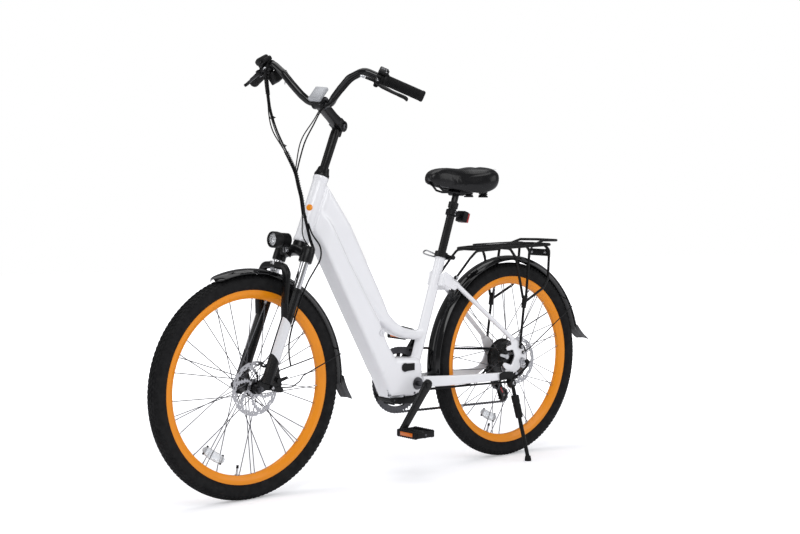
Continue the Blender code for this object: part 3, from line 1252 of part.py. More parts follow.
def fork_pieces():
    joint("steering", steer(0.56))
    joint("fork_slide", steer(0.0, FORK_RAKE), "steering")
    crown = slab([(-0.083, CROWN_LOW), (-0.043, CROWN_LOW), (-0.028, CROWN_LOW + 0.012),
                  (0.028, CROWN_LOW + 0.012), (0.043, CROWN_LOW), (0.083, CROWN_LOW),
                  (0.083, CROWN_TOP - 0.028), (0.028, CROWN_TOP), (-0.028, CROWN_TOP),
                  (-0.083, CROWN_TOP - 0.028)], 0.021, along_steer(0, 0.008), bevel=0.004,
                 segments=1)
    race = rod(steer(CROWN_TOP - 0.010), steer(HEAD_LOW - GAP), 0.0215, 16)
    steerer = rod(steer(CROWN_TOP - 0.012), steer(HEAD_TOP - 0.004), STEERER_R, 16)
    stanchions = both(rod(steer(STANCHION_LOW, LEG_FORWARD, LEG_X),
                          steer(CROWN_LOW + 0.012, LEG_FORWARD, LEG_X), STANCHION_R, 12))
    lamp = steer(LAMP_UP, LAMP_FORWARD)
    tongue = slab([(0.020, LAMP_UP + 0.010), (0.020, LAMP_UP - 0.014),
                   (LAMP_FORWARD + 0.002, LAMP_UP - 0.006), (LAMP_FORWARD + 0.006, LAMP_UP),
                   (LAMP_FORWARD + 0.002, LAMP_UP + 0.006)], 0.003, leg_frame(0))
    pin = rod(lamp - LEFT * 0.0085, lamp + LEFT * 0.0085, 0.0022, 8)
    bore = rod(steer(QUILL_LOW - 0.03), steer(HEAD_TOP + 0.01), QUILL_R + QUILL_GAP, 16)
    node("upper_fork", fuse([crown, race, steerer, *stanchions, tongue, pin], [bore]), "black",
         "steering")

    joint("lamp_hinge", lamp, "steering")
    aim = Vector((0, -1, 0.07)).normalized()
    back = lamp + Vector((0, 0.011, 0.0295))
    shell = turned([(0, 0.065), (0.0215, 0.0645), (0.0242, 0.062), (0.0245, 0.049), (0.022, 0.020),
                    (0.017, 0.002), (0, 0)], along(back, aim), 12)
    ears = both(slab(yz([lamp + Vector((0, y, z)) for y, z in (
        (-0.008, 0.018), (0.008, 0.018), (0.006, -0.004), (0.0, -0.0065), (-0.006, -0.004))]),
        0.0015, moved_frame(0.003 + GAP + 0.0015)))
    hole = rod(lamp - LEFT * 0.02, lamp + LEFT * 0.02, 0.0022 + GAP, 8)
    node("headlight", fuse([shell, *ears], [hole]), "black", "lamp_hinge")

    pivot = stem_pivot()
    joint("stem_turn", steer(HEAD_TOP), "steering")
    post = rod(steer(QUILL_LOW), steer(STEM_PIVOT - 0.022), QUILL_R, 16)
    cone = rod(steer(HEAD_TOP + 0.0005), steer(HEAD_TOP + CONE_HIGH), CONE_R, 16,
               end_radius=CONE_TOP_R)
    drum = rod(pivot - LEFT * STEM_DRUM_HALF, pivot + LEFT * STEM_DRUM_HALF, STEM_DRUM_R, 16)
    web = box((0, -0.018, 0), (STEM_DRUM_HALF * 2, 0.032, 0.025), basis(pivot, LEFT, HEAD_DIR))
    bolt_hole = rod(pivot - LEFT * 0.03, pivot + LEFT * 0.03, clear(0.0042 + GAP, 8), 8)
    node("stem_post", fuse([post, cone, drum, web], [bolt_hole]), "black", "stem_turn")
    arm_pieces(pivot)
    lower_pieces()


def stem_pivot():
    return steer(STEM_PIVOT, -STEM_PIVOT_BACK)


def clamp_place():
    turn = math.radians(STEM_ARM_DEG)
    return stem_pivot() + Vector((0, -math.cos(turn), math.sin(turn))) * STEM_ARM


BAR_OUT = Vector((0.796, 0.512, -0.322)).normalized()
BAR_TURN = Vector((0.170, -0.025, BAR_RISE))


def bar_end():
    return clamp_place() + BAR_TURN + BAR_OUT * ((BAR_HALF_WIDTH - BAR_TURN.x) / BAR_OUT.x)


def control_frame():
    """At the left grip's inner end: X forward and down, Y out along the bar."""
    origin = bar_end() - BAR_OUT * GRIP_LENGTH
    up = (UP - BAR_OUT * UP.dot(BAR_OUT)).normalized()
    forward = BAR_OUT.cross(up)
    tilt = math.radians(CONTROL_TILT_DEG)
    return basis(origin, forward * math.cos(tilt) - up * math.sin(tilt), BAR_OUT)


def local_rod(frame, start, end, radius, sides=8, end_radius=None):
    return rod(frame @ Vector(start), frame @ Vector(end), radius, sides, end_radius)


LEVER_PIVOT = (0.034, -0.022, 0.0)


def perch(frame):
    """The lever's clamp, its two ears with a pin, and the bridge over the thumb ring."""
    px, py, _ = LEVER_PIVOT
    ring = local_rod(frame, (0, -0.031, 0), (0, -0.0160, 0), 0.0165, 10)
    arm = box((0.019, -0.0235, 0), (0.018, 0.015, 0.018), frame)
    ears = [slab([(0.022, py - 0.0085), (px + 0.002, py - 0.0075), (px + 0.0065, py),
                  (px + 0.002, py + 0.0065), (0.022, py + 0.006)], 0.0016,
                 frame @ Matrix.Translation((0, 0, z))) for z in (-0.0080, 0.0080)]
    pin = local_rod(frame, (px, py, -0.011), (px, py, 0.011), 0.0022, 8)
    barrel = local_rod(frame, (0.026, -0.028, 0), (0.030, -0.060, 0), 0.0038, 8)
    bridge = box((0, -0.0155, 0.0245), (0.020, 0.029, 0.009), frame, 0.002)
    saddle = box((0, -0.0238, 0.0175), (0.016, 0.0124, 0.012), frame)
    cap = local_rod(frame, (0, -0.0075, 0), (0, -GAP, 0), 0.0215, 10)
    return [ring, arm, *ears, pin, barrel, bridge, saddle, cap]


def lever(frame):
    px, py, _ = LEVER_PIVOT
    hub = local_rod(frame, (px, py, -0.0060), (px, py, 0.0060), 0.0058, 8)
    blade = slab([(px - 0.004, py), (px + 0.001, py - 0.005), (px + 0.010, py + 0.018),
                  (0.047, 0.030), (0.047, 0.068), (0.053, 0.076), (0.050, 0.080), (0.0405, 0.072),
                  (0.0400, 0.030), (0.033, py + 0.018)], 0.0045, frame, bevel=0.0012, segments=1)
    bore = local_rod(frame, (px, py, -0.02), (px, py, 0.02), 0.0022 + GAP, 8)
    return fuse([hub, blade], [bore])


def thumb_ring(frame, degrees, length):
    """A ring on the bar between the clamp and its outer cap, with a thumb paddle."""
    ring = local_rod(frame, (0, -0.0157, 0), (0, -0.0078, 0), 0.0185, 10)
    turn = math.radians(degrees)
    out = Vector((math.cos(turn), 0, math.sin(turn)))
    side = Vector((-math.sin(turn), 0, math.cos(turn)))
    place = frame @ Matrix((out, Vector((0, 1, 0)), out.cross(Vector((0, 1, 0))))).transposed().to_4x4()
    root = box((0.016, -0.01175, 0.0), (0.015, 0.0070, 0.0050), place)
    paddle = box((0.023 + length / 2, -0.006, 0.0), (length, 0.0185, 0.0050), place, 0.0012)
    return fuse([ring, root, paddle])


def arm_pieces(pivot):
    joint("stem_hinge", pivot, "stem_turn")
    turn = math.radians(STEM_ARM_DEG)
    ahead = Vector((0, -math.cos(turn), math.sin(turn)))
    frame = basis(pivot, LEFT, ahead)
    cheek_in = STEM_DRUM_HALF + GAP
    cheek_out = cheek_in + STEM_CHEEK
    clamp = clamp_place()
    shapes = []
    for side in (-1, 1):
        shapes.append(rod(pivot + LEFT * side * cheek_in, pivot + LEFT * side * cheek_out,
                          STEM_DRUM_R, 16))
        shapes.append(box((side * (cheek_in + cheek_out) / 2, 0.017, 0), (STEM_CHEEK, 0.034, 0.030),
                          frame))
    shapes.append(box((0, (STEM_ARM + 0.0185) / 2 + 0.0015, 0),
                      (cheek_out * 2, STEM_ARM - 0.0245, 0.030), frame))
    shapes.append(rod(clamp - LEFT * 0.0205, clamp + LEFT * 0.0205, 0.0195, 16))
    shapes.append(rod(pivot - LEFT * (cheek_out + 0.003), pivot + LEFT * (cheek_out + 0.003), 0.0042,
                      8))
    for side in (-1, 1):
        shapes.append(rod(pivot + LEFT * side * (cheek_out - 0.001),
                          pivot + LEFT * side * (cheek_out + 0.004), 0.0075, 8))
    hole = rod(clamp - LEFT * 0.05, clamp + LEFT * 0.05, BAR_R + BAR_GAP, 16)
    node("stem_arm", fuse(shapes, [hole]), "black", "stem_hinge")

    half_bar = [clamp + Vector(p) for p in ((0.040, 0, 0), (0.062, -0.015, 0.020),
                                            (0.091, -0.025, 0.048), (0.123, -0.0315, 0.079))]
    half_bar += [clamp + BAR_TURN, bar_end()]
    points = [Vector((-p.x, p.y, p.z)) for p in half_bar[::-1]] + half_bar
    node("handlebar", tube(rounded(points, 0.026, 2), BAR_R, 8), "black", "stem_hinge")

    grip_frame = along(bar_end() - BAR_OUT * GRIP_LENGTH, BAR_OUT)
    bore = BAR_R + BAR_GAP
    grip = turned([(0, GRIP_LENGTH + 0.004), (GRIP_R - 0.002, GRIP_LENGTH + 0.004),
                   (GRIP_R, GRIP_LENGTH + 0.001), (GRIP_R, 0), (bore, 0), (bore, GRIP_LENGTH + GAP),
                   (0, GRIP_LENGTH + GAP)], grip_frame, 12)
    node("left_grip", grip.copy(), "rubber", "stem_hinge")
    node("right_grip", mirrored(grip), "rubber", "stem_hinge")

    frame = control_frame()
    tunnel = local_rod(frame, (0, -0.12, 0), (0, 0.05, 0), bore, 12)
    pivot_left = frame @ Vector(LEVER_PIVOT)
    pod = box((-0.004, -0.0175, 0.032), (0.024, 0.026, 0.012), frame, 0.003)
    node("left_perch", fuse([*perch(frame), pod], [tunnel]), "black", "stem_hinge")
    shifter = box((0.004, -0.0184, 0.0362), (0.040, 0.0336, 0.020), frame, 0.005)
    switch = box(KEY_BOX, KEY_BOX_SIZE, frame, 0.003)
    arm = box((0.0065, -0.036, -0.0115), (0.012, 0.0145, 0.027), frame)
    key_frame = mirror_frame(frame)
    key_face = Vector((KEY_BOX[0] - KEY_BOX_SIZE[0] / 2, KEY_BOX[1], KEY_BOX[2]))
    key_hole = local_rod(frame, key_face + Vector((-0.01, 0, 0)), key_face + Vector((0.012, 0, 0)),
                         0.0030 + GAP, 8)
    node("right_perch", mirrored(fuse([*perch(frame), shifter, arm, switch], [tunnel, key_hole])),
         "black", "stem_hinge")

    joint("left_lever_axis", pivot_left, "stem_hinge")
    joint("right_lever_axis", Vector((-pivot_left.x, pivot_left.y, pivot_left.z)), "stem_hinge")
    blade = lever(frame)
    node("left_lever", blade.copy(), "silver", "left_lever_axis")
    node("right_lever", mirrored(blade), "silver", "right_lever_axis")

    ring_place = frame @ Vector((0, -0.0118, 0))
    joint("throttle_axis", ring_place, "stem_hinge")
    joint("shift_axis", Vector((-ring_place.x, ring_place.y, ring_place.z)), "stem_hinge")
    ring_bore = local_rod(frame, (0, -0.05, 0), (0, 0.03, 0), bore, 12)
    node("throttle_lever", fuse([thumb_ring(frame, THROTTLE_DEG, 0.014)], [ring_bore]), "matt black",
         "throttle_axis")
    node("shift_lever", mirrored(fuse([thumb_ring(frame, SHIFT_DEG, 0.012)], [ring_bore])),
         "matt black", "shift_axis")

    key_origin = frame @ key_face
    joint("key_axis", Vector((-key_origin.x, key_origin.y, key_origin.z)), "stem_hinge")
    shank = local_rod(frame, key_face + Vector((0.010, 0, 0)), key_face + Vector((-0.010, 0, 0)),
                      0.0030, 8)
    bow = slab([(x * 0.011, y * 0.0075) for x, y in circle(1, 8)], 0.0016,
               basis(frame @ (key_face + Vector((-0.019, 0, 0))), frame.to_3x3() @ Vector((-1, 0, 0)),
                     frame.to_3x3() @ Vector((0, 1, 0))))
    node("ignition_key", mirrored(fuse([shank, bow])), "black", "key_axis")

    normal = Vector((0, 0.502, 0.865)).normalized()
    length = LEFT.cross(normal)
    screen = basis(clamp + normal * (0.0195 + GAP + 0.0065) - length * -0.009, LEFT, length)
    node("display", box((0, 0, 0), (0.044, 0.062, 0.013), screen, 0.004), "silver", "stem_hinge")


def mirror_frame(frame):
    return Matrix.Scale(-1, 4, LEFT) @ frame


def lower_pieces():
    place = "fork_slide"
    leg = rod(steer(LEG_LOW, LEG_FORWARD, LEG_X), steer(LEG_TOP, LEG_FORWARD, LEG_X), LEG_R, 12)
    seal = rod(steer(LEG_TOP - 0.012, LEG_FORWARD, LEG_X), steer(LEG_TOP, LEG_FORWARD, LEG_X),
               LEG_R + 0.0015, 12)
    bore = rod(steer(LEG_BORE_LOW, LEG_FORWARD, LEG_X), steer(LEG_TOP + 0.02, LEG_FORWARD, LEG_X),
               STANCHION_R + STANCHION_GAP, 12)
    drop = slab([(-0.004, 0.045), (0.024, 0.045), (FORK_RAKE + 0.011, 0.004),
                 (FORK_RAKE + 0.009, -0.010), (FORK_RAKE - 0.004, -0.014), (0.004, 0.004),
                 (-0.020, 0.010), (-0.020, 0.024)], DROP_HALF, leg_frame(DROP_X))
    axle_hole = rod(steer(0, FORK_RAKE, -0.1), steer(0, FORK_RAKE, 0.1), AXLE_R + AXLE_GAP, 12)
    frame = front_caliper_frame()
    lug_half = 0.0030
    lug_x = DROP_X - DROP_HALF + lug_half + 0.0015
    lugs = [caliper_lug(frame, -1 if frame.to_3x3().col[1].z > 0 else 1, lug_x, lug_half,
                        [steer(0.010, 0.0), steer(0.034, 0.0)]),
            caliper_lug(frame, 1 if frame.to_3x3().col[1].z > 0 else -1, lug_x, lug_half,
                        [steer(0.070, 0.0), steer(0.100, 0.0)])]
    arch_half = [steer(0.225, 0.014, 0.062), steer(0.275, 0.038, 0.058), steer(0.345, 0.060, 0.055),
                 steer(ARCH_UP, ARCH_FORWARD, 0.038)]
    arch = [Vector((-p.x, p.y, p.z)) for p in arch_half] + arch_half[::-1]
    node("fork_lowers", fuse([tube(rounded(arch, 0.02, 1), ARCH_R, 8), *both(leg), *both(seal),
                              *both(drop), *lugs], [*both(bore), axle_hole]), "black", place)

    centre = (FRONT_Y, TYRE_R)
    shell = fender(FRONT_FENDER_R, centre, 111, -3.5, 10)
    flap = flap_sheet(polar(centre, FRONT_FENDER_R - 0.003, 0), Vector((0, FRONT_Y + 0.378,
                                                                       TYRE_R - 0.068)), 0.027, 0.004)
    arch_top = steer(ARCH_UP, ARCH_FORWARD)
    front_face = arch_top.y - ARCH_R - GAP - 0.0012
    strap = box((0, front_face, arch_top.z - 0.008), (0.018, 0.0024, 0.036))
    eye_at = steer(0.017, -0.013)
    face = DROP_X + DROP_HALF + GAP
    wire = tube(rounded([Vector((face + 0.0025, eye_at.y, eye_at.z)),
                         Vector((0.0650, FRONT_Y + 0.116, TYRE_R - 0.003)),
                         Vector((0.0640, FRONT_Y + 0.145, TYRE_R + 0.011)),
                         Vector((0.0625, FRONT_Y + 0.159, TYRE_R + 0.027)),
                         Vector((0.0300, FRONT_Y + 0.329, TYRE_R + 0.076))], 0.012, 1), 0.0019, 4)
    eye = rod((face, eye_at.y, eye_at.z), (face + 0.005, eye_at.y, eye_at.z), 0.0055, 8)
    bolt = rod((face + 0.004, eye_at.y, eye_at.z), (face + 0.008, eye_at.y, eye_at.z), 0.0040, 6)
    node("front_fender", fuse([shell, flap, strap, *both(wire), *both(eye), *both(bolt)]), "black",
         place)

    caliper(frame, lug_x - lug_half - GAP - FRONT_ROTOR_X, "front_caliper", place,
            "front_caliper_arm", place)

    shaft = rod(steer(0, FORK_RAKE, -0.075), steer(0, FORK_RAKE, 0.075), AXLE_R, 12)
    nuts = []
    for side in (-1, 1):
        nuts.append(rod(steer(0, FORK_RAKE, side * face), steer(0, FORK_RAKE, side * (face + 0.0020)),
                        0.0100, 12))
        nuts.append(rod(steer(0, FORK_RAKE, side * (face + 0.001)),
                        steer(0, FORK_RAKE, side * (face + 0.0095)), 0.0090, 6))
    node("front_axle", fuse([shaft, *nuts]), "steel", place)


# Seat post and saddle

SADDLE_ROWS = (
    (-0.134, 0.016, 0.057, 0.036), (-0.112, 0.027, 0.072, 0.027), (-0.066, 0.033, 0.079, 0.017),
    (-0.012, 0.048, 0.077, 0.008), (0.045, 0.084, 0.079, 0.004), (0.096, 0.102, 0.083, 0.014),
    (0.126, 0.086, 0.078, 0.028), (0.139, 0.054, 0.063, 0.040),
)
SADDLE_SECTION = ((0.0, 0.30), (0.50, 0.27), (0.68, 0.02), (0.96, 0.10), (1.0, 0.55), (0.76, 0.97),
                  (0.28, 1.02))


def saddle_place():
    return seat(SADDLE_UP)


def saddle_rings():
    """Rings from nose to tail: hollow below, with a shallow channel along the crown."""
    at = saddle_place()
    rings = []
    for y, half, top, bottom in SADDLE_ROWS:
        right = [at + Vector((half * u, y, bottom + (top - bottom) * v)) for u, v in SADDLE_SECTION]
        left = [Vector((-p.x, p.y, p.z)) for p in right[:0:-1]]
        rings.append([*right, at + Vector((0, y, bottom + (top - bottom) * 0.955)), *left])
    return rings


def pan_rings():
    """The hard pan that fills the hollow under the cushion."""
    at = saddle_place()
    rings = []
    for y, half, top, bottom in SADDLE_ROWS[1:-1]:
        wide = half * 0.46
        low = bottom + (top - bottom) * 0.28 - 0.0105
        high = low + 0.020
        rings.append([at + Vector((x, y * 0.94, z)) for x, z in (
            (-wide, low), (wide, low), (wide * 0.95, high), (-wide * 0.95, high))])
    return rings


def seat_pieces():
    joint("post_slide", seat(SEAT_TUBE_TOP))
    post = rod(seat(POST_LOW), seat(POST_TOP), POST_R, 16)
    collar = rod(seat(COLLAR_LOW), seat(COLLAR_TOP), COLLAR_R, 16)
    bore = rod(seat(PLUNGER_LOW - 0.035), seat(COLLAR_TOP + 0.01), POST_BORE_R, 16)
    node("seatpost", fuse([post, collar], [bore]), "black", "post_slide")

    lamp_low, lamp_top = COLLAR_LOW - 0.026, COLLAR_LOW - 0.008
    ring = rod(seat(lamp_low), seat(lamp_top), 0.0190, 12)
    lamp_frame = basis(seat((lamp_low + lamp_top) / 2), LEFT, SEAT_BACK)
    neck = box((0, 0.030, 0.001), (0.012, 0.032, 0.012), lamp_frame)
    body = box((0, 0.0545, 0.003), (0.038, 0.030, 0.036), lamp_frame, 0.004)
    post_hole = rod(seat(0.5), seat(0.65), POST_R + POST_GAP, 16)
    node("rear_light", fuse([ring, neck, body], [post_hole]), "red", "post_slide")

    joint("seat_spring", seat(COLLAR_TOP), "post_slide")
    at = saddle_place()
    plunger = rod(seat(PLUNGER_LOW), seat(SADDLE_UP - 0.004), POST_BORE_R - PLUNGER_GAP, 12)
    clamp = rod(at - LEFT * 0.030, at + LEFT * 0.030, SADDLE_CLAMP_R, 12)
    rails_hole = both(rod(at + Vector((RAIL_X, -0.05, 0)), at + Vector((RAIL_X, 0.05, 0)),
                          RAIL_R + GAP * 2, 6))
    node("seat_head", fuse([plunger, clamp], rails_hole), "black", "seat_spring")

    ob = worked(loft(saddle_rings()))
    sub = ob.modifiers.new("Subdivision", 'SUBSURF')
    sub.levels = 1
    sub.render_levels = 1
    cushion = taken(ob)
    node("saddle_cushion", cushion.copy(), "leather", "seat_spring", sharp=60)

    rail = tube([at + Vector(p) for p in (
        (0.013, -0.098, 0.024), (0.016, -0.076, 0.006), (RAIL_X, -0.045, 0.0), (RAIL_X, 0.035, 0.0),
        (0.030, 0.060, 0.004), (0.034, 0.082, 0.026))], RAIL_R, 6)
    spring = rod(at + Vector((0.030, 0.078, -0.008)), at + Vector((0.030, 0.078, 0.026)), 0.012, 8)
    base = fuse([loft(pan_rings()), *both(rail), *both(spring)])
    below = moved(cushion, Matrix.Translation((0, 0, -GAP * 1.3)))
    node("saddle_base", boolean(base, [below], 'DIFFERENCE'), "matt black", "seat_spring")


# Cables

def cable_pieces():
    clamp = clamp_place()
    frame = control_frame()
    plug = local_rod(frame, (0.0302, -0.0605, 0.0), (0.0316, -0.0740, 0.0), 0.0036, 6)
    yaw = stem_yaw()
    start_left = frame @ Vector((0.0316, -0.0735, 0.0))
    start_right = yaw @ Vector((-start_left.x, start_left.y, start_left.z))
    start_left = yaw @ start_left
    plugs = [moved(mesh, yaw) for mesh in both(plug)]
    right = smooth([start_right,
                    steer(0.872, 0.146, -0.185), steer(0.828, 0.139, -0.160),
                    steer(0.775, 0.126, -0.123), steer(0.727, 0.112, -0.080),
                    steer(0.684, 0.100, -0.038),
                    steer(0.648, 0.090, -0.006), steer(0.611, 0.076, 0.010),
                    steer(0.578, 0.059, 0.020), steer(0.540, 0.0475, 0.033),
                    steer(0.506, 0.0280, 0.040), steer(0.474, 0.0060, 0.043),
                    steer(0.452, -0.0230, 0.036), steer(0.433, -0.0616, 0.014),
                    steer(0.426, -0.0960, 0.0), steer(0.412, -0.1300, 0.0)], 0.028)
    left = smooth([start_left,
                   *[yaw @ (clamp + Vector(p)) for p in (
                       (0.140, -0.048, 0.070), (0.105, -0.044, 0.038), (0.070, -0.038, 0.006),
                       (0.036, -0.040, -0.018))],
                   steer(0.800, 0.1000, 0.016), steer(0.745, 0.1050, 0.008),
                   steer(0.695, 0.1000, 0.002), steer(0.648, 0.0900, -0.006)], 0.028)
    bundle = fuse([tube(right, 0.0050, 6), tube(left, 0.0036, 6), *plugs])
    housing = slab(yz(housing_outline()), HOUSING_HALF, half_at=housing_half)
    down = Vector((0, -0.866, -0.5))
    bundle = boolean(bundle, [moved(housing, Matrix.Translation(down * GAP * 1.2))], 'DIFFERENCE')
    node("control_cables", largest(bundle), "rubber", "steering")

    drop = smooth([steer(0.512, 0.0275, 0.0455), steer(0.486, 0.0080, 0.0530),
                   steer(0.452, -0.0050, 0.0600) + LEFT * 0.032, steer(0.420, -0.0220, 0.0880),
                   steer(0.385, -0.0260, 0.0720), steer(0.344, -0.0200, 0.0660),
                   steer(0.287, -0.0150, 0.0660), steer(0.226, -0.0135, 0.0660),
                   steer(0.166, -0.0190, 0.0660), steer(0.125, -0.0360, 0.0640),
                   steer(0.096, -0.0560, 0.0615)], 0.024)
    node("front_brake_cable", tube(drop, 0.0025, 6), "rubber", "fork_slide")

    low = -0.0240
    motor = smooth([bb(0.0275, low, 0.024), bb(0.050, low - 0.001, 0.029), bb(0.116, low, 0.041),
                    bb(0.243, low + 0.0005, 0.057), bb(0.330, low, 0.0675),
                    rear(-0.066, -0.0665, 0.0690), rear(-0.046, -0.0600, 0.0725),
                    rear(-0.030, -0.0460, 0.0830), rear(-0.020, -0.0340, 0.0930),
                    rear(-0.008, -0.0160, 0.1035), rear(-0.001, -0.0030, 0.1045),
                    rear(0.0, 0.0, 0.1020)], 0.014)
    plug = rod(rear(0, 0, 0.1030), rear(0, 0, REAR_AXLE_HALF + GAP), 0.0044, 8)
    shift = smooth([bb(0.0275, low, -0.024), bb(0.050, low, -0.028), bb(0.116, low + 0.0005, -0.040),
                    bb(0.243, low + 0.001, -0.056), bb(0.340, low - 0.001, -0.069),
                    rear(-0.040, -0.0600, -0.0800), rear(-0.0125, -0.0480, -0.0800)], 0.040)
    brake = smooth([bb(0.0275, low, 0.010), bb(0.050, low - 0.0005, 0.014), bb(0.116, low, 0.030),
                    bb(0.180, low, 0.036), bb(0.235, low + 0.004, 0.0400),
                    bb(0.275, low + 0.030, 0.0475), bb(0.305, low + 0.060, 0.0600),
                    bb(0.322, low + 0.078, 0.0690)], 0.030)
    clip = box(bb(0.036, low, 0.0), (0.058, 0.007, 0.0042))
    node("rear_cables", fuse([tube(motor, 0.0036, 6), tube(shift, 0.0022, 4), tube(brake, 0.0022, 4),
                              clip, plug]), "rubber")


def largest(mesh):
    """Only the biggest separate body of a cut shape."""
    bm = bmesh.new()
    bm.from_mesh(mesh)
    seen = set()
    groups = []
    for face in bm.faces:
        if face in seen:
            continue
        stack, group = [face], []
        seen.add(face)
        while stack:
            here = stack.pop()
            group.append(here)
            for edge in here.edges:
                for near in edge.link_faces:
                    if near not in seen:
                        seen.add(near)
                        stack.append(near)
        groups.append(group)
    groups.sort(key=lambda g: sum(f.calc_area() for f in g))
    drop = [face for group in groups[:-1] for face in group]
    bmesh.ops.delete(bm, geom=drop, context='FACES')
    out = bpy.data.meshes.new("body")
    bm.to_mesh(out)
    bm.free()
    return out


def settle():
    """Lean the bicycle on its stand and put the middle of its footprint on the origin."""
    root = JOINTS["root"][0]
    root.rotation_euler = (0, math.radians(LEAN_DEG), 0)
    bpy.context.view_layer.update()
    low = Vector((1e9, 1e9, 1e9))
    high = -low
    for ob in PARTS.objects:
        if ob.type != 'MESH':
            continue
        for vert in ob.data.vertices:
            place = ob.matrix_world @ vert.co
            low = Vector(map(min, low, place))
            high = Vector(map(max, high, place))
    middle = (low + high) / 2
    root.location = (-middle.x, -middle.y, -low.z)
    bpy.context.view_layer.update()


def everything():
    start()
    joint("root", (0, 0, 0), None)
    frame_pieces()
    rear_pieces()
    hind_extras()
    drive_pieces()
    crank_pieces()
    fork_pieces()
    wheel_pieces()
    caliper(rear_caliper_frame(), REAR_DROP_X - REAR_DROP_HALF - GAP - REAR_ROTOR_X, "rear_caliper",
            "root", "rear_caliper_arm", "root")
    seat_pieces()
    cable_pieces()
    settle()


everything()
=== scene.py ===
"""The electric bicycle's looks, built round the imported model, with a camera and a white studio."""

import json
import math

import bmesh
import bpy
from mathutils import Matrix, Vector


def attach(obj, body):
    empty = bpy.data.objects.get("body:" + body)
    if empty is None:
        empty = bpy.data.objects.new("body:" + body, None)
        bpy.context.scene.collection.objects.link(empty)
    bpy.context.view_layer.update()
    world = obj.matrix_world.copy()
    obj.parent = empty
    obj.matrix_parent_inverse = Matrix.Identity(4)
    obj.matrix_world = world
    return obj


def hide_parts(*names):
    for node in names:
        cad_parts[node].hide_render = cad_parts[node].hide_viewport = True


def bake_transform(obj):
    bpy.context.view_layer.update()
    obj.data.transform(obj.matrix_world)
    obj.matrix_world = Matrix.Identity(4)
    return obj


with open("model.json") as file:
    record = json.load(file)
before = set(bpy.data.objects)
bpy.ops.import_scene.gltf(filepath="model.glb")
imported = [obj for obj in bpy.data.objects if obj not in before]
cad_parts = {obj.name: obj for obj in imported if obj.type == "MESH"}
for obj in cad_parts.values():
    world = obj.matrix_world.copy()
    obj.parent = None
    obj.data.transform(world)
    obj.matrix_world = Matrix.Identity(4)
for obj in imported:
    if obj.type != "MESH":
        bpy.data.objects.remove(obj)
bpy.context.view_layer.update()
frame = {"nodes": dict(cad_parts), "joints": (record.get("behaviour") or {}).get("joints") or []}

# Sizes shared with the bicycle's frame, in metres
WHEELBASE = 1.088
TYRE_R = 0.331
BRACKET = (0.099, 0.2895)
HEAD_ANGLE_DEG = 68.5
FORK_RAKE = 0.028
SEAT_ANGLE_DEG = 72.0
HOUSING_HALF = 0.037
LEG_X = 0.064
LEG_FORWARD = 0.011
LEG_R = 0.0175
STANCHION_R = 0.0127
TYRE_HALF = 0.025
RIM_OUT_R = 0.2854
RIM_IN_R = 0.2585
RIM_HALF = 0.0145
FRONT_ROTOR_X = 0.04
REAR_ROTOR_X = 0.054
ROTOR_R = 0.08
CHAIN_X = -0.058
LINK = 0.0127
RING_TEETH = 52
COG_TEETH = (14, 16, 18, 20, 22, 24, 28)
COG_PITCH = 0.0045
PULLEY_TEETH = 11
GUIDE_PULLEY = (0.016, -0.088)
TENSION_PULLEY = (0.046, -0.136)
CRANK_DEG = 52.0
CRANK_LENGTH = 0.17
CRANK_X = 0.083
BAR_R = 0.0115
BAR_HALF_WIDTH = 0.317
BAR_YAW_DEG = 15.3
GRIP_LENGTH = 0.115
GRIP_R = 0.016
STEM_ARM_DEG = 31.8
STEM_ARM = 0.1247
REAR_FENDER_R = 0.356
FRONT_FENDER_R = 0.348
FENDER_HALF = 0.03
REAR_DROP_X = 0.0705
SADDLE_UP = 0.642
LEAN_DEG = 3.0
SPOKES = 36
TREAD_BLOCKS = 132
SHOULDER_X = 0.0205
SHOULDER_LEAN = 42
CONTROL_TILT_DEG = 32
PEDAL_REACH = 0.0605
COG_THICK = 0.0018
BUNDLE_CUT = 0.705
CABLE_LEVEL = -0.024
REAR_LIGHT_UP = 0.571
FLAP_HALF = 0.0265
FLAP_FLARE = 0.004
FLAP_INSET = 0.0035
STAY_R = 0.0019
ROTOR_THICK = 0.0018
ROTOR_STEPS = 120
MOTOR_SCREWS = 9
STRUT_R = 0.0045
SEAT_BORE_R = 0.0144
BEAM_TOP_HALF = 0.0235
COVER_VOXEL = 0.0042
COVER_SWELL = 0.0045
STAND_TILT_DEG = 15

# The photo's camera, in degrees, metres and pixels
CAMERA_AZ_DEG, CAMERA_EL_DEG, CAMERA_ROLL_DEG = 48.18, 1.22, 1.42
CAMERA_AIM = (0, 0.0823, 0.6602)
CAMERA_AWAY = 4.54
FOCAL_PX = 1411.5
PHOTO_WIDTH_PX = 800
SENSOR_MM = 36

LEFT = Vector((1, 0, 0))
UP = Vector((0, 0, 1))
REAR_Y = WHEELBASE / 2
FRONT_Y = -WHEELBASE / 2
FRONT_AXLE = (FRONT_Y, TYRE_R)
REAR_AXLE = (REAR_Y, TYRE_R)
SIDES = (("left", 1), ("right", -1))
BRACKET_Y, BRACKET_Z = BRACKET
head_turn = math.radians(HEAD_ANGLE_DEG)
HEAD_DIR = Vector((0, math.cos(head_turn), math.sin(head_turn)))
HEAD_FRONT = Vector((0, -math.sin(head_turn), math.cos(head_turn)))
HEAD_FOOT = Vector((0, FRONT_Y, TYRE_R)) - HEAD_FRONT * FORK_RAKE
seat_turn = math.radians(SEAT_ANGLE_DEG)
SEAT_DIR = Vector((0, math.cos(seat_turn), math.sin(seat_turn)))
SEAT_BACK = Vector((0, math.sin(seat_turn), -math.cos(seat_turn)))


def joint_place(name):
    """Where the model has a joint."""
    return Vector(next(j["pos_m"] for j in frame["joints"] if j["name"] == name))


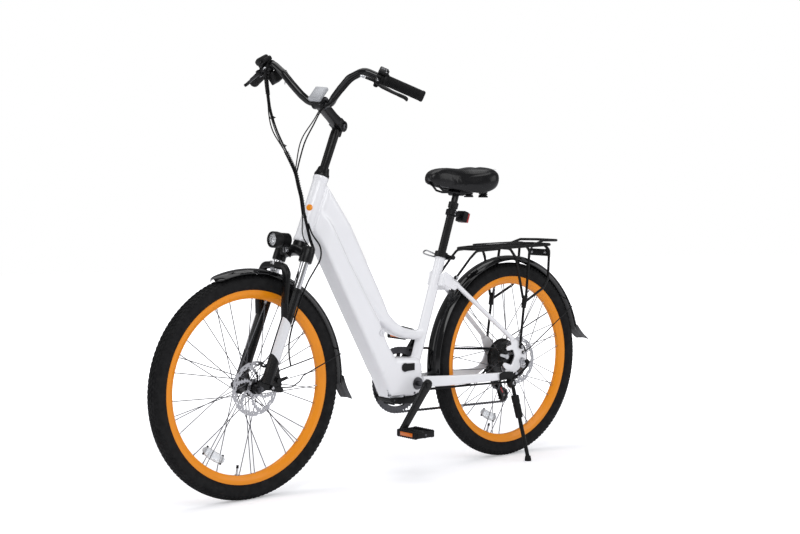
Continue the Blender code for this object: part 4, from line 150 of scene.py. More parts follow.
def bike_place():
    """From the upright bicycle, with its wheels on the middle plane, to the leaning one."""
    lean = Matrix.Rotation(math.radians(LEAN_DEG), 4, 'Y')
    shift = joint_place("front_wheel_spin") - lean @ Vector((0, FRONT_Y, TYRE_R))
    return Matrix.Translation(shift) @ lean


BIKE = bike_place()


def steer(s, f=0.0, x=0.0):
    """A place on the fork: up the head tube's line, in front of it and out to the left."""
    return HEAD_FOOT + HEAD_DIR * s + HEAD_FRONT * f + LEFT * x


def seat(s, n=0.0, x=0.0):
    """A place on the seat tube: up its line from the bracket, behind it and out to the left."""
    return Vector((x, BRACKET_Y, BRACKET_Z)) + SEAT_DIR * s + SEAT_BACK * n


def bb(y, z, x=0.0):
    """A place by the bottom bracket."""
    return Vector((x, BRACKET_Y + y, BRACKET_Z + z))


def rear(y, z, x=0.0):
    """A place by the rear axle."""
    return Vector((x, REAR_Y + y, TYRE_R + z))


def fore(y, z, x=0.0):
    """A place by the front axle."""
    return Vector((x, FRONT_Y + y, TYRE_R + z))


def polar(centre, radius, degrees, x=0.0):
    """A place round an axle, at an angle up from the back."""
    turn = math.radians(degrees)
    return Vector((x, centre[0] + radius * math.cos(turn), centre[1] + radius * math.sin(turn)))


def ray(degrees):
    return polar((0, 0), 1, degrees)


def stem_yaw():
    """The small turn of the bars against the wheel that the photo shows."""
    turn = Matrix.Rotation(math.radians(BAR_YAW_DEG), 4, HEAD_DIR)
    return Matrix.Translation(HEAD_FOOT) @ turn @ Matrix.Translation(-HEAD_FOOT)


YAW = stem_yaw()
STEM_PIVOT = steer(0.842, -0.01)
arm_turn = math.radians(STEM_ARM_DEG)
CLAMP = STEM_PIVOT + Vector((0, -math.cos(arm_turn), math.sin(arm_turn))) * STEM_ARM
BAR_OUT = Vector((0.796, 0.512, -0.322)).normalized()
BAR_TURN = Vector((0.17, -0.025, 0.1045))
BAR_END = CLAMP + BAR_TURN + BAR_OUT * ((BAR_HALF_WIDTH - BAR_TURN.x) / BAR_OUT.x)


def basis(origin, x_dir, y_dir):
    """A frame at a place, from its X and Y."""
    x_dir = Vector(x_dir).normalized()
    y_dir = Vector(y_dir).normalized()
    turn = Matrix((x_dir, y_dir, x_dir.cross(y_dir))).transposed().to_4x4()
    return Matrix.Translation(origin) @ turn


def along(origin, z_dir):
    """A frame at a place, with its Z along a line."""
    return Matrix.Translation(origin) @ Vector(z_dir).to_track_quat('Z', 'Y').to_matrix().to_4x4()


def control_frame():
    """At the left grip's inner end: X forward and down, Y out along the bar."""
    origin = BAR_END - BAR_OUT * GRIP_LENGTH
    up = (UP - BAR_OUT * UP.dot(BAR_OUT)).normalized()
    forward = BAR_OUT.cross(up)
    tilt = math.radians(CONTROL_TILT_DEG)
    return basis(origin, forward * math.cos(tilt) - up * math.sin(tilt), BAR_OUT)


CONTROL = control_frame()
FLIP = Matrix.Scale(-1, 4, LEFT)


def on_bar(x, y, z):
    """A place in the controls' own frame."""
    return CONTROL @ Vector((x, y, z))


def mirrored(points):
    return [Vector((-p.x, p.y, p.z)) for p in points]


# Shapes

def length_of(points):
    return sum((b - a).length for a, b in zip(points, points[1:]))


def rounded(points, radius, steps=4, closed=False):
    """The corners of a line of points turned into short arcs."""
    points = [Vector(p) for p in points]
    count = len(points)
    out = []
    for i, here in enumerate(points):
        if not closed and i in (0, count - 1):
            out.append(here)
            continue
        before = points[i - 1] - here
        after = points[(i + 1) % count] - here
        angle = before.angle(after)
        reach = min(radius / max(math.tan(angle / 2), 0.05), before.length * 0.48, after.length * 0.48)
        a = here + before.normalized() * reach
        b = here + after.normalized() * reach
        for k in range(steps + 1):
            t = k / steps
            out.append(a * (1 - t) ** 2 + here * 2 * t * (1 - t) + b * t ** 2)
    return out


def smooth(points, step=0.006):
    """One even curve through a line of points."""
    points = [Vector(p) for p in points]
    ends = [points[0] * 2 - points[1], *points, points[-1] * 2 - points[-2]]
    fine = []
    for i in range(1, len(ends) - 2):
        a, b, c, d = ends[i - 1:i + 3]
        for k in range(16):
            t = k / 16
            fine.append(0.5 * (2 * b + (c - a) * t + (2 * a - 5 * b + 4 * c - d) * t ** 2
                               + (3 * b - a - 3 * c + d) * t ** 3))
    fine.append(points[-1])
    total = length_of(fine)
    count = max(8, int(total / step))
    out, gone, want = [fine[0]], 0.0, total / count
    for p, q in zip(fine, fine[1:]):
        run = (q - p).length
        while run > 0 and gone + run >= want * len(out) and len(out) < count:
            out.append(p.lerp(q, (want * len(out) - gone) / run))
        gone += run
    out.append(fine[-1])
    return out


def edges_of(verts):
    return list({edge for vert in verts for edge in vert.link_edges})


def soften(bm, verts, width, segments=2, angle=25):
    """Rounds the hard edges among some points."""
    edges = [e for e in edges_of(verts) if len(e.link_faces) == 2
             and e.calc_face_angle(0) > math.radians(angle)]
    if edges and width > 0:
        bmesh.ops.bevel(bm, geom=edges, offset=width, offset_type='OFFSET', segments=segments,
                        profile=0.5, affect='EDGES', clamp_overlap=True, material=-1)


def rod(bm, start, end, radius, sides=16, end_radius=None, bevel=0.0):
    start, end = Vector(start), Vector(end)
    place = along((start + end) / 2, end - start)
    made = bmesh.ops.create_cone(bm, cap_ends=True, segments=sides, radius1=radius,
                                 radius2=radius if end_radius is None else end_radius,
                                 depth=(end - start).length, matrix=place)
    soften(bm, made["verts"], bevel)


def pin(bm, place, start, end, radius, sides, bevel=0.0, end_radius=None):
    """A rod straight across the bicycle, between two distances to the left of a place."""
    place = Vector(place)
    rod(bm, place + LEFT * start, place + LEFT * end, radius, sides, end_radius, bevel)


def block(bm, centre, size, place=None, bevel=0.0, segments=2):
    matrix = (place or Matrix.Identity(4)) @ Matrix.Translation(centre) @ Matrix.Diagonal((*size, 1))
    made = bmesh.ops.create_cube(bm, size=1, matrix=matrix)
    soften(bm, made["verts"], bevel, segments)


def turned(bm, profile, place, steps=48, ring=False):
    """A profile of (radius, height) pairs spun about a frame's Z."""
    verts = [bm.verts.new(place @ Vector((r, 0, z))) for r, z in profile]
    pairs = list(zip(verts, verts[1:]))
    if ring:
        pairs.append((verts[-1], verts[0]))
    edges = [bm.edges.new(pair) for pair in pairs]
    bmesh.ops.spin(bm, geom=verts + edges, cent=place.translation, axis=place.to_3x3().col[2],
                   angle=math.tau, steps=steps, use_merge=True)


def collar(bm, place, bore, radius, low, high, steps, cut, slope=None):
    """A ring round a frame's Z between two heights, with its two outer edges cut."""
    slope = cut if slope is None else slope
    turned(bm, [(bore, low), (radius - cut, low), (radius, low + slope), (radius, high - slope),
                (radius - cut, high), (bore, high)], place, steps, ring=True)


def washer(bm, place, bore, radius, half, steps):
    turned(bm, [(bore, -half), (radius, -half), (radius, half), (bore, half)], place, steps, ring=True)


def oval(centre, wide, high, sides, wide_power, high_power):
    """A ring of points between an ellipse and a box, from its two half sizes as vectors."""
    ring = []
    for k in range(sides):
        c, d = math.cos(math.tau * k / sides), math.sin(math.tau * k / sides)
        ring.append(centre + wide * math.copysign(abs(c) ** wide_power, c)
                    + high * math.copysign(abs(d) ** high_power, d))
    return ring


def coil(centre, x_dir, y_dir, radius, climb, turns, sides):
    """A line of points that winds round and climbs along a vector."""
    points = []
    for k in range(turns * sides + 1):
        a = math.tau * k / sides
        points.append(centre + (x_dir * math.cos(a) + y_dir * math.sin(a)) * radius
                      + climb * (k / (turns * sides)))
    return points


def plate(bm, outline, thick, place, bevel=0.0, segments=1):
    """A flat outline in a frame's X and Y, as thick as given to both sides of it."""
    verts = [bm.verts.new(place @ Vector((x, y, -thick / 2))) for x, y in outline]
    face = bm.faces.new(verts)
    made = bmesh.ops.extrude_face_region(bm, geom=[face])
    top = [v for v in made["geom"] if isinstance(v, bmesh.types.BMVert)]
    bmesh.ops.translate(bm, verts=top, vec=place.to_3x3() @ Vector((0, 0, thick)))
    soften(bm, verts + top, bevel, segments, 40)


def loft(bm, rings, closed=False, caps=True):
    """Closed rings of points bridged one to the next."""
    loops = []
    for ring in rings:
        verts = [bm.verts.new(p) for p in ring]
        loops.append([bm.edges.new((verts[i - 1], verts[i])) for i in range(len(verts))])
    pairs = list(zip(loops, loops[1:]))
    if closed:
        pairs.append((loops[-1], loops[0]))
    for a, b in pairs:
        bmesh.ops.bridge_loops(bm, edges=a + b)
    if caps and not closed:
        for loop in (loops[0], loops[-1]):
            bmesh.ops.contextual_create(bm, geom=loop)


def linked(name, data):
    ob = bpy.data.objects.new(name, data)
    bpy.context.scene.collection.objects.link(ob)
    return ob


def evaluated(ob):
    """An object's mesh with its modifiers applied."""
    return bpy.data.meshes.new_from_object(ob.evaluated_get(bpy.context.evaluated_depsgraph_get()))


def line_curve(name, points, radius, resolution, closed=False):
    """A curve with a round section along a line of points."""
    curve = bpy.data.curves.new(name, 'CURVE')
    curve.dimensions = '3D'
    curve.bevel_depth = radius
    curve.bevel_resolution = resolution
    curve.use_fill_caps = not closed
    spline = curve.splines.new('POLY')
    spline.points.add(len(points) - 1)
    for point, place in zip(spline.points, points):
        point.co = (*place, 1.0)
    spline.use_cyclic_u = closed
    return curve


def tube(bm, points, radius, sides=12, closed=False):
    """A round tube along a line of points, with filled ends."""
    ob = linked("tube", line_curve("tube", points, radius, max(0, sides // 2 - 2), closed))
    bpy.context.view_layer.update()
    mesh = evaluated(ob)
    bm.from_mesh(mesh)
    bpy.data.objects.remove(ob, do_unlink=True)
    bpy.data.meshes.remove(mesh)


def bent(bm, points, corner, radius, sides=12, steps=4):
    """A tube with rounded bends."""
    tube(bm, rounded(points, corner, steps), radius, sides)


def both_sides(bm):
    """Adds the mirror image of everything made so far."""
    copy = bmesh.ops.duplicate(bm, geom=bm.verts[:] + bm.edges[:] + bm.faces[:])["geom"]
    verts = [v for v in copy if isinstance(v, bmesh.types.BMVert)]
    bmesh.ops.transform(bm, matrix=FLIP, verts=verts)
    bmesh.ops.reverse_faces(bm, faces=[f for f in copy if isinstance(f, bmesh.types.BMFace)])


def subdivide(ob, levels):
    sub = ob.modifiers.new("Subdivision", 'SUBSURF')
    sub.levels = levels
    sub.render_levels = levels
    return sub


def piece(name, bm, look, body, stands_for=(), sharp=35, levels=0, yawed=False, flip=False):
    """A finished piece, in its place on the leaning bicycle and hung from its body."""
    bmesh.ops.remove_doubles(bm, verts=bm.verts[:], dist=0.00001)
    bmesh.ops.recalc_face_normals(bm, faces=bm.faces[:])
    if flip:
        bm.transform(FLIP)
        bmesh.ops.reverse_faces(bm, faces=bm.faces[:])
    if yawed:
        bm.transform(YAW)
    bm.transform(BIKE)
    mesh = bpy.data.meshes.new(name)
    bm.to_mesh(mesh)
    bm.free()
    for face in mesh.polygons:
        face.use_smooth = True
    mesh.set_sharp_from_angle(angle=math.radians(sharp))
    mesh.materials.append(LOOKS[look])
    ob = linked(name, mesh)
    if levels:
        subdivide(ob, levels)
    if body:
        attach(ob, body)
    if stands_for:
        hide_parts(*stands_for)
    return ob


def spun(name, profile, place, steps, look, body, stands_for=(), ring=False, sharp=35):
    """A piece that is one turned profile."""
    bm = bmesh.new()
    turned(bm, profile, place, steps, ring)
    piece(name, bm, look, body, stands_for, sharp)


def bar_piece(name, bm, look, stands_for=(), side=1, body="handlebars"):
    """A piece on the turned bars, made for the left side and mirrored for the right one."""
    piece(name, bm, look, body, stands_for, yawed=True, flip=side < 0)


# Finishes

def preset(node, values):
    for socket, value in values.items():
        node.inputs[socket].default_value = value


def maths(tree, operation, *values):
    """A sum node whose inputs are numbers or other nodes' outputs."""
    node = tree.nodes.new("ShaderNodeMath")
    node.operation = operation
    for socket, value in zip(node.inputs, values):
        if isinstance(value, float):
            socket.default_value = value
        else:
            tree.links.new(value, socket)
    return node.outputs[0]


def shader(name, colour, roughness, metallic=0.0, coat=0.0):
    """A material with its own shader, and a place reader for its patterns."""
    look = bpy.data.materials.new(name)
    look.use_nodes = True
    tree = look.node_tree
    skin = tree.nodes["Principled BSDF"]
    preset(skin, {"Base Color": (*colour, 1), "Roughness": roughness, "Metallic": metallic,
                  "Coat Weight": coat, "Coat Roughness": 0.06})
    where = tree.nodes.new("ShaderNodeTexCoord")
    return look, tree, skin, where.outputs["Object"]


def noise(tree, where, scale, detail=2.0):
    node = tree.nodes.new("ShaderNodeTexNoise")
    preset(node, {"Scale": scale, "Detail": detail})
    tree.links.new(where, node.inputs["Vector"])
    return node.outputs["Fac"]


def between(tree, value, low, high, a=0.3, b=0.7):
    """A value's range laid onto another range."""
    node = tree.nodes.new("ShaderNodeMapRange")
    preset(node, {"From Min": a, "From Max": b, "To Min": low, "To Max": high})
    tree.links.new(value, node.inputs["Value"])
    return node.outputs["Result"]


def tinted(tree, value, low, high):
    """A colour that wanders between two with a pattern."""
    node = tree.nodes.new("ShaderNodeMix")
    node.data_type = 'RGBA'
    node.inputs[6].default_value = (*low, 1)
    node.inputs[7].default_value = (*high, 1)
    tree.links.new(value, node.inputs["Factor"])
    return node.outputs[2]


def bumped(tree, skin, value, depth, strength=1.0, below=None):
    node = tree.nodes.new("ShaderNodeBump")
    preset(node, {"Distance": depth, "Strength": strength})
    tree.links.new(value, node.inputs["Height"])
    if below is not None:
        tree.links.new(below, node.inputs["Normal"])
    tree.links.new(node.outputs["Normal"], skin.inputs["Normal"])
    return node.outputs["Normal"]


def finish(name, colour, roughness, metallic=0.0, coat=0.0, shade=0.92, spread=0.05, grain=900,
           depth=0.00001, patch=18, shine=0.5):
    """A finish whose tone and gloss wander a little, over a fine grain."""
    look, tree, skin, where = shader(name, colour, roughness, metallic, coat)
    skin.inputs["Specular IOR Level"].default_value = shine
    broad = noise(tree, where, patch, 3)
    low = tuple(c * shade for c in colour)
    tree.links.new(tinted(tree, broad, low, colour), skin.inputs["Base Color"])
    rough = between(tree, noise(tree, where, patch * 6, 3), max(0.02, roughness - spread),
                    roughness + spread)
    tree.links.new(rough, skin.inputs["Roughness"])
    bumped(tree, skin, noise(tree, where, grain, 1), depth)
    return look


def tyre_look():
    """Black tyre rubber with a fine moulded grain and a little dust."""
    look, tree, skin, where = shader("tyre rubber", (0.008, 0.008, 0.0085), 0.66)
    skin.inputs["Specular IOR Level"].default_value = 0.16
    fine = bumped(tree, skin, noise(tree, where, 1400, 2), 0.00006)
    bumped(tree, skin, noise(tree, where, 240, 2), 0.0001, 0.6, fine)
    dust = tinted(tree, between(tree, noise(tree, where, 60, 4), 0, 1), (0.005, 0.005, 0.0055),
                  (0.012, 0.012, 0.0125))
    tree.links.new(dust, skin.inputs["Base Color"])
    tree.links.new(between(tree, noise(tree, where, 35, 3), 0.56, 0.76), skin.inputs["Roughness"])
    return look


def leather_look():
    """Soft black cover with a pebble grain."""
    look, tree, skin, where = shader("saddle cover", (0.005, 0.005, 0.0055), 0.26)
    skin.inputs["Specular IOR Level"].default_value = 0.32
    cells = tree.nodes.new("ShaderNodeTexVoronoi")
    cells.inputs["Scale"].default_value = 520
    tree.links.new(where, cells.inputs["Vector"])
    first = bumped(tree, skin, cells.outputs["Distance"], 0.0001, 0.6)
    bumped(tree, skin, noise(tree, where, 60, 2), 0.0002, 0.3, first)
    tree.links.new(between(tree, noise(tree, where, 40, 3), 0.2, 0.3), skin.inputs["Roughness"])
    tree.links.new(tinted(tree, noise(tree, where, 26, 2), (0.0045, 0.0045, 0.005),
                          (0.008, 0.008, 0.009)), skin.inputs["Base Color"])
    return look


def brushed_look(name, colour, roughness, stretch=(1, 40, 1)):
    """Bare metal with fine lines from the brush or the lathe."""
    look, tree, skin, where = shader(name, colour, roughness, 1.0)
    lines = tree.nodes.new("ShaderNodeMapping")
    lines.inputs["Scale"].default_value = stretch
    tree.links.new(where, lines.inputs["Vector"])
    fine = noise(tree, lines.outputs["Vector"], 120, 4)
    bumped(tree, skin, fine, 0.00002)
    tree.links.new(between(tree, fine, roughness * 0.75, roughness * 1.3), skin.inputs["Roughness"])
    tree.links.new(tinted(tree, noise(tree, where, 30, 3), tuple(c * 0.85 for c in colour), colour),
                   skin.inputs["Base Color"])
    return look


def clear_look(name, colour, roughness, through):
    look, tree, skin, where = shader(name, colour, roughness)
    preset(skin, {"Transmission Weight": through, "IOR": 1.46})
    facets = tree.nodes.new("ShaderNodeTexVoronoi")
    facets.inputs["Scale"].default_value = 330
    tree.links.new(where, facets.inputs["Vector"])
    bumped(tree, skin, facets.outputs["Distance"], 0.0004, 0.6)
    return look


LOOKS = {
    "white": finish("gloss white paint", (0.88, 0.88, 0.9), 0.24, coat=0.6, shade=0.985,
                    spread=0.03, grain=700, depth=0.000006),
    "orange": finish("orange rim paint", (0.9, 0.29, 0.003), 0.34, coat=0.15, shade=0.95,
                     grain=600, depth=0.000008, shine=0.35),
    "gloss black": finish("gloss black fender", (0.004, 0.004, 0.0045), 0.1, coat=0.25, shade=0.9,
                          spread=0.04, grain=300, shine=0.3),
    "satin black": finish("satin black paint", (0.006, 0.006, 0.0065), 0.3, shade=0.85, spread=0.07,
                          depth=0.00002, shine=0.28),
    "powder black": finish("powder coated black", (0.006, 0.006, 0.0065), 0.4, shade=0.8,
                           spread=0.06, grain=1600, depth=0.00005, shine=0.22),
    "plastic": finish("moulded black plastic", (0.007, 0.007, 0.0075), 0.46, shade=0.8, spread=0.08,
                      grain=1300, depth=0.00005, shine=0.2),
    "cover": finish("cable outer skin", (0.005, 0.005, 0.0055), 0.4, shade=0.8, spread=0.08,
                    grain=700, depth=0.00002, shine=0.18),
    "chrome": finish("chrome", (0.75, 0.75, 0.77), 0.1, 1.0, shade=0.97, spread=0.03, grain=400,
                     depth=0.000004),
    "zinc": finish("zinc plated bolts", (0.62, 0.62, 0.64), 0.28, 1.0, shade=0.8, spread=0.08,
                   depth=0.00003),
    "alloy": brushed_look("machined aluminium", (0.66, 0.67, 0.69), 0.3, (40, 1, 1)),
    "disc": brushed_look("ground brake disc", (0.52, 0.52, 0.54), 0.3, (1, 30, 30)),
    "spoke": finish("stainless spokes", (0.14, 0.14, 0.15), 0.34, 1.0, shade=0.9, spread=0.06,
                    grain=500, depth=0.000005),
    "dark steel": finish("oiled steel", (0.13, 0.13, 0.14), 0.36, 0.95, shade=0.6, spread=0.1,
                         grain=500, depth=0.00003, patch=60),
    "grey": finish("grey moulded plastic", (0.17, 0.17, 0.18), 0.55, shade=0.85, spread=0.08,
                   grain=1200, depth=0.00005),
    "flap": finish("dark flap plastic", (0.045, 0.045, 0.048), 0.42, shade=0.85, spread=0.08,
                   grain=1200, depth=0.00005, shine=0.3),
    "silver plastic": finish("silver display case", (0.42, 0.43, 0.45), 0.42, 0.25, shade=0.93,
                             spread=0.06, grain=1400, depth=0.00003),
    "red": finish("red lens", (0.42, 0.006, 0.008), 0.16, coat=0.6, shade=0.8, grain=330,
                  depth=0.00012),
    "amber": finish("amber reflector", (0.78, 0.17, 0.006), 0.2, coat=0.6, shade=0.8, grain=330,
                    depth=0.0002),
    "clear": clear_look("clear reflector", (0.86, 0.88, 0.9), 0.1, 0.55),
    "lens": clear_look("lamp lens", (0.93, 0.94, 0.95), 0.04, 0.85),
    "silver skin": finish("bright reflector bowl", (0.34, 0.34, 0.35), 0.16, 1.0, shade=0.95,
                          spread=0.03, grain=200),
    "screen": finish("dark display glass", (0.05, 0.055, 0.058), 0.12, coat=0.6, shade=0.9,
                     spread=0.03, grain=200, depth=0.000004),
    "lcd": finish("grey display glass", (0.3, 0.31, 0.32), 0.1, coat=0.6, shade=0.93, spread=0.03,
                  grain=200, depth=0.000004, patch=40),
    "amber chip": finish("lamp emitter", (0.75, 0.62, 0.28), 0.35, shade=0.85, grain=1500,
                         depth=0.00003),
    "band": finish("white fork band", (0.8, 0.8, 0.82), 0.3, coat=0.3),
    "tyre": tyre_look(),
    "leather": leather_look(),
    "grip": finish("grip rubber", (0.008, 0.008, 0.0085), 0.62, shade=0.75, spread=0.08, grain=1800,
                   depth=0.00008, shine=0.18),
}

# The nodes of the model by finish; every other one is moulded plastic
CAD_FINISHES = {
    "white": ("front_frame", "rear_triangle", "battery_pack"),
    "chrome": ("battery_lock", "seat_clamp_lever"),
    "alloy": ("motor_controller", "rear_caliper_arm", "left_lever", "right_lever"),
    "zinc": ("rear_axle",),
    "dark steel": ("bottom_bracket", "front_axle", "freewheel", "chain"),
    "powder black": ("kickstand_mount", "kickstand_leg"),
    "satin black": ("seat_clamp", "rear_caliper", "front_caliper", "front_caliper_arm", "seatpost",
                    "seat_head", "upper_fork", "stem_post", "stem_arm", "fork_lowers",
                    "rear_derailleur", "crankset"),
    "silver plastic": ("display",),
}


def dress_cad():
    finishes = {node: look for look, nodes in CAD_FINISHES.items() for node in nodes}
    for name, ob in frame["nodes"].items():
        look = LOOKS[finishes.get(name, "plastic")]
        if not ob.material_slots:
            ob.data.materials.append(look)
            continue
        for slot in ob.material_slots:
            slot.link = 'OBJECT'
            slot.material = look


# Camera and stage

def camera():
    az, el, roll = [math.radians(d) for d in (CAMERA_AZ_DEG, CAMERA_EL_DEG, CAMERA_ROLL_DEG)]
    back = Vector((math.sin(az) * math.cos(el), -math.cos(az) * math.cos(el), math.sin(el)))
    target = Vector(CAMERA_AIM) + BIKE.translation
    right = (-back).cross(UP).normalized()
    up = right.cross(-back)
    x_dir = right * math.cos(roll) - up * math.sin(roll)
    y_dir = up * math.cos(roll) + right * math.sin(roll)
    data = bpy.data.cameras.new("camera")
    data.sensor_width = SENSOR_MM
    data.lens = FOCAL_PX / PHOTO_WIDTH_PX * SENSOR_MM
    data.clip_start = 0.1
    data.clip_end = 60
    ob = linked("camera", data)
    ob.matrix_world = basis(target + back * CAMERA_AWAY, x_dir, y_dir)
    bpy.context.scene.camera = ob


def lamp(name, place, aim, size, power):
    data = bpy.data.lights.new(name, 'AREA')
    data.shape = 'RECTANGLE'
    data.size, data.size_y = size
    data.energy = power
    linked(name, data).matrix_world = along(Vector(place), Vector(place) - Vector(aim))


def seen_directly(tree):
    """Whether a ray is the camera's own, also through clear plastic, and whether it is a reflection."""
    rays = tree.nodes.new("ShaderNodeLightPath").outputs
    return maths(tree, 'MAXIMUM', rays["Is Camera Ray"], rays["Is Transmission Ray"]), rays["Is Glossy Ray"]


def white_room():
    """A world that the camera sees white and that lights softly, dimmer in reflections."""
    world = bpy.data.worlds.new("white room")
    bpy.context.scene.world = world
    world.use_nodes = True
    tree = world.node_tree
    tree.nodes.clear()
    soft = tree.nodes.new("ShaderNodeBackground")
    soft.inputs["Color"].default_value = (0.95, 0.96, 1.0, 1)
    white = tree.nodes.new("ShaderNodeBackground")
    preset(white, {"Color": (1, 1, 1, 1), "Strength": 1.0})
    seen, glossy = seen_directly(tree)
    tree.links.new(maths(tree, 'MULTIPLY_ADD', glossy, -0.4, 0.5), soft.inputs["Strength"])
    part_white = maths(tree, 'MAXIMUM', seen, maths(tree, 'MULTIPLY', glossy, 0.15))
    mix = tree.nodes.new("ShaderNodeMixShader")
    out = tree.nodes.new("ShaderNodeOutputWorld")
    for source, socket in ((part_white, mix.inputs["Fac"]), (soft.outputs[0], mix.inputs[1]),
                           (white.outputs[0], mix.inputs[2]), (mix.outputs[0], out.inputs["Surface"])):
        tree.links.new(source, socket)


def floor_look():
    """A white floor that takes the shadow near the wheels and glows white further out."""
    look = bpy.data.materials.new("white floor")
    look.use_nodes = True
    tree = look.node_tree
    skin = tree.nodes["Principled BSDF"]
    preset(skin, {"Base Color": (0.9, 0.9, 0.92, 1), "Roughness": 0.9, "Specular IOR Level": 0.0,
                  "Emission Color": (1, 1, 1, 1)})
    seen = seen_directly(tree)[0]
    where = tree.nodes.new("ShaderNodeTexCoord")
    away = tree.nodes.new("ShaderNodeVectorMath")
    away.operation = 'LENGTH'
    tree.links.new(where.outputs["Object"], away.inputs[0])
    glow = between(tree, away.outputs["Value"], 0.3, 1.0, 1.3, 3.0)
    tree.links.new(maths(tree, 'MULTIPLY', seen, glow), skin.inputs["Emission Strength"])
    return look


def studio():
    bpy.context.scene.view_settings.view_transform = 'Standard'
    white_room()
    bpy.ops.mesh.primitive_plane_add(size=60)
    floor = bpy.context.object
    floor.name = "floor"
    floor.data.materials.append(floor_look())
    lamp("key softbox", (3.4, -2.6, 3.6), (0, 0, 0.6), (2.6, 2.6), 78)
    lamp("left fill", (3.4, 2.6, 2.0), (0, 0.2, 0.6), (2.4, 2.4), 30)
    lamp("front fill", (-1.8, -3.8, 2.2), (0, 0, 0.6), (2.4, 2.4), 26)
    lamp("top softbox", (-0.4, 0.2, 4.2), (0, 0, 0.4), (3.4, 3.4), 62)


# Wheels

def wheel_rim(name, centre):
    half = [(RIM_IN_R, 0.0045), (RIM_IN_R + 0.0008, 0.0068), (RIM_IN_R + 0.0035, 0.0085),
            (RIM_OUT_R - 0.0145, RIM_HALF - 0.0008), (RIM_OUT_R - 0.012, RIM_HALF),
            (RIM_OUT_R - 0.0015, RIM_HALF + 0.0004), (RIM_OUT_R, RIM_HALF), (RIM_OUT_R, RIM_HALF - 0.0018),
            (RIM_OUT_R - 0.006, RIM_HALF - 0.0022), (RIM_OUT_R - 0.008, 0.006), (RIM_OUT_R - 0.011, 0.004)]
    spun(name + "_rim", half + [(r, -x) for r, x in half[::-1]], along((0, *centre), LEFT), 160,
         "orange", "wheel_" + name, [name + "_wheel"], ring=True)


def wheel_tyre(name, centre):
    walls = [(0.2835, 0.0125), (0.285, 0.0158), (0.2878, 0.0178), (0.2895, 0.019),
             (0.29, 0.0196), (0.2925, 0.021), (0.2985, 0.0238), (0.3045, 0.0249),
             (0.3105, TYRE_HALF), (0.315, 0.024), (0.3188, 0.0216), (0.3215, 0.0195),
             (0.3245, 0.0165), (0.3268, 0.013), (0.3283, 0.009), (0.3292, 0.0045), (0.3295, 0.0)]
    spun(name + "_tyre_tread", walls + [(r, -x) for r, x in walls[-2::-1]], along((0, *centre), LEFT),
         168, "tyre", "wheel_" + name, [name + "_tyre"], ring=True, sharp=50)
    tread = bmesh.new()
    rows = [(0.0, 0.0013, 0.0118, 0.0052, 0, 0.0)]
    for side in (1, -1):
        rows += [(0.0072 * side, 0.002, 0.01, 0.005, 18 * side, 0.5),
                 (0.014 * side, 0.0048, 0.0092, 0.0056, -14 * side, 0.0),
                 (SHOULDER_X * side, 0.0108, 0.008, 0.0062, 0, 0.5)]
    for k in range(TREAD_BLOCKS):
        for x, sunk, long, wide, turn, shift in rows:
            degrees = 360 / TREAD_BLOCKS * (k + shift)
            turn = math.radians(turn)
            out = (ray(degrees) + LEFT * (x / SHOULDER_X) * abs(x) * SHOULDER_LEAN).normalized()
            run = out.cross(LEFT).normalized()
            run = run * math.cos(turn) + LEFT * math.sin(turn)
            run = (run - out * run.dot(out)).normalized()
            block(tread, (0, 0, 0), (wide, long, 0.0026),
                  basis(polar(centre, TYRE_R - sunk, degrees, x), run.cross(out), run))
    piece(name + "_tyre_tread_blocks", tread, "tyre", "wheel_" + name)


def wheel_spokes(name, centre, flanges, cross):
    bm = bmesh.new()
    nipples = bmesh.new()
    per_side = SPOKES // 2
    for side, (x, radius) in enumerate(flanges):
        for k in range(per_side):
            base = 360 / per_side * (k + side / 2)
            way = 1 if k % 2 else -1
            start = polar(centre, radius, base, x + way * 0.0016)
            end = polar(centre, RIM_IN_R - 0.009, base + way * cross, x * 0.075 + way * 0.001)
            rim = polar(centre, RIM_IN_R + 0.001, base + way * cross, x * 0.05 + way * 0.001)
            rod(bm, start, rim, 0.0013, 6)
            hook = polar(centre, radius - 0.0012, base, x - way * 0.0022)
            rod(bm, hook, start, 0.0014, 6)
            rod(nipples, end, rim, 0.0017, 8, 0.0021)
    piece(name + "_spokes", bm, "spoke", "wheel_" + name)
    piece(name + "_nipples", nipples, "zinc", "wheel_" + name)


def valve(name, centre, degrees):
    bm = bmesh.new()
    inner = polar(centre, RIM_IN_R - 0.03, degrees)
    outer = polar(centre, RIM_IN_R + 0.001, degrees)
    rod(bm, outer, outer.lerp(inner, 0.85), 0.003, 12)
    rod(bm, outer.lerp(inner, 0.03), outer.lerp(inner, 0.12), 0.0062, 6, bevel=0.0004)
    cap = bmesh.new()
    rod(cap, outer.lerp(inner, 0.7), inner, 0.004, 14, 0.0036, bevel=0.0006)
    piece(name + "_valve", bm, "zinc", "wheel_" + name)
    piece(name + "_valve_cap", cap, "plastic", "wheel_" + name)


def spoke_reflector(name, centre, degrees, radius, body):
    """A curved clear bar clipped between two spokes."""
    bm = bmesh.new()
    rings = []
    for k in range(9):
        out = 0.016 * (1 - (abs(k - 4) / 4) ** 6 * 0.55) * 0.9
        section = ((-0.004, -out), (0.004, -out), (0.0062, 0), (0.004, out), (-0.004, out), (-0.0062, 0))
        rings.append([polar(centre, radius + r, degrees - 11 + 22 * k / 8, x) for x, r in section])
    loft(bm, rings)
    piece(name, bm, "clear", body, levels=1)
    clips = bmesh.new()
    for d in (-8.5, 8.5):
        spot = polar(centre, radius, degrees + d)
        block(clips, (0, 0, 0), (0.0035, 0.03, 0.006),
              basis(spot, LEFT, (spot - Vector((0, *centre))).normalized()), 0.0012)
    piece(name + "_clips", clips, "plastic", body)


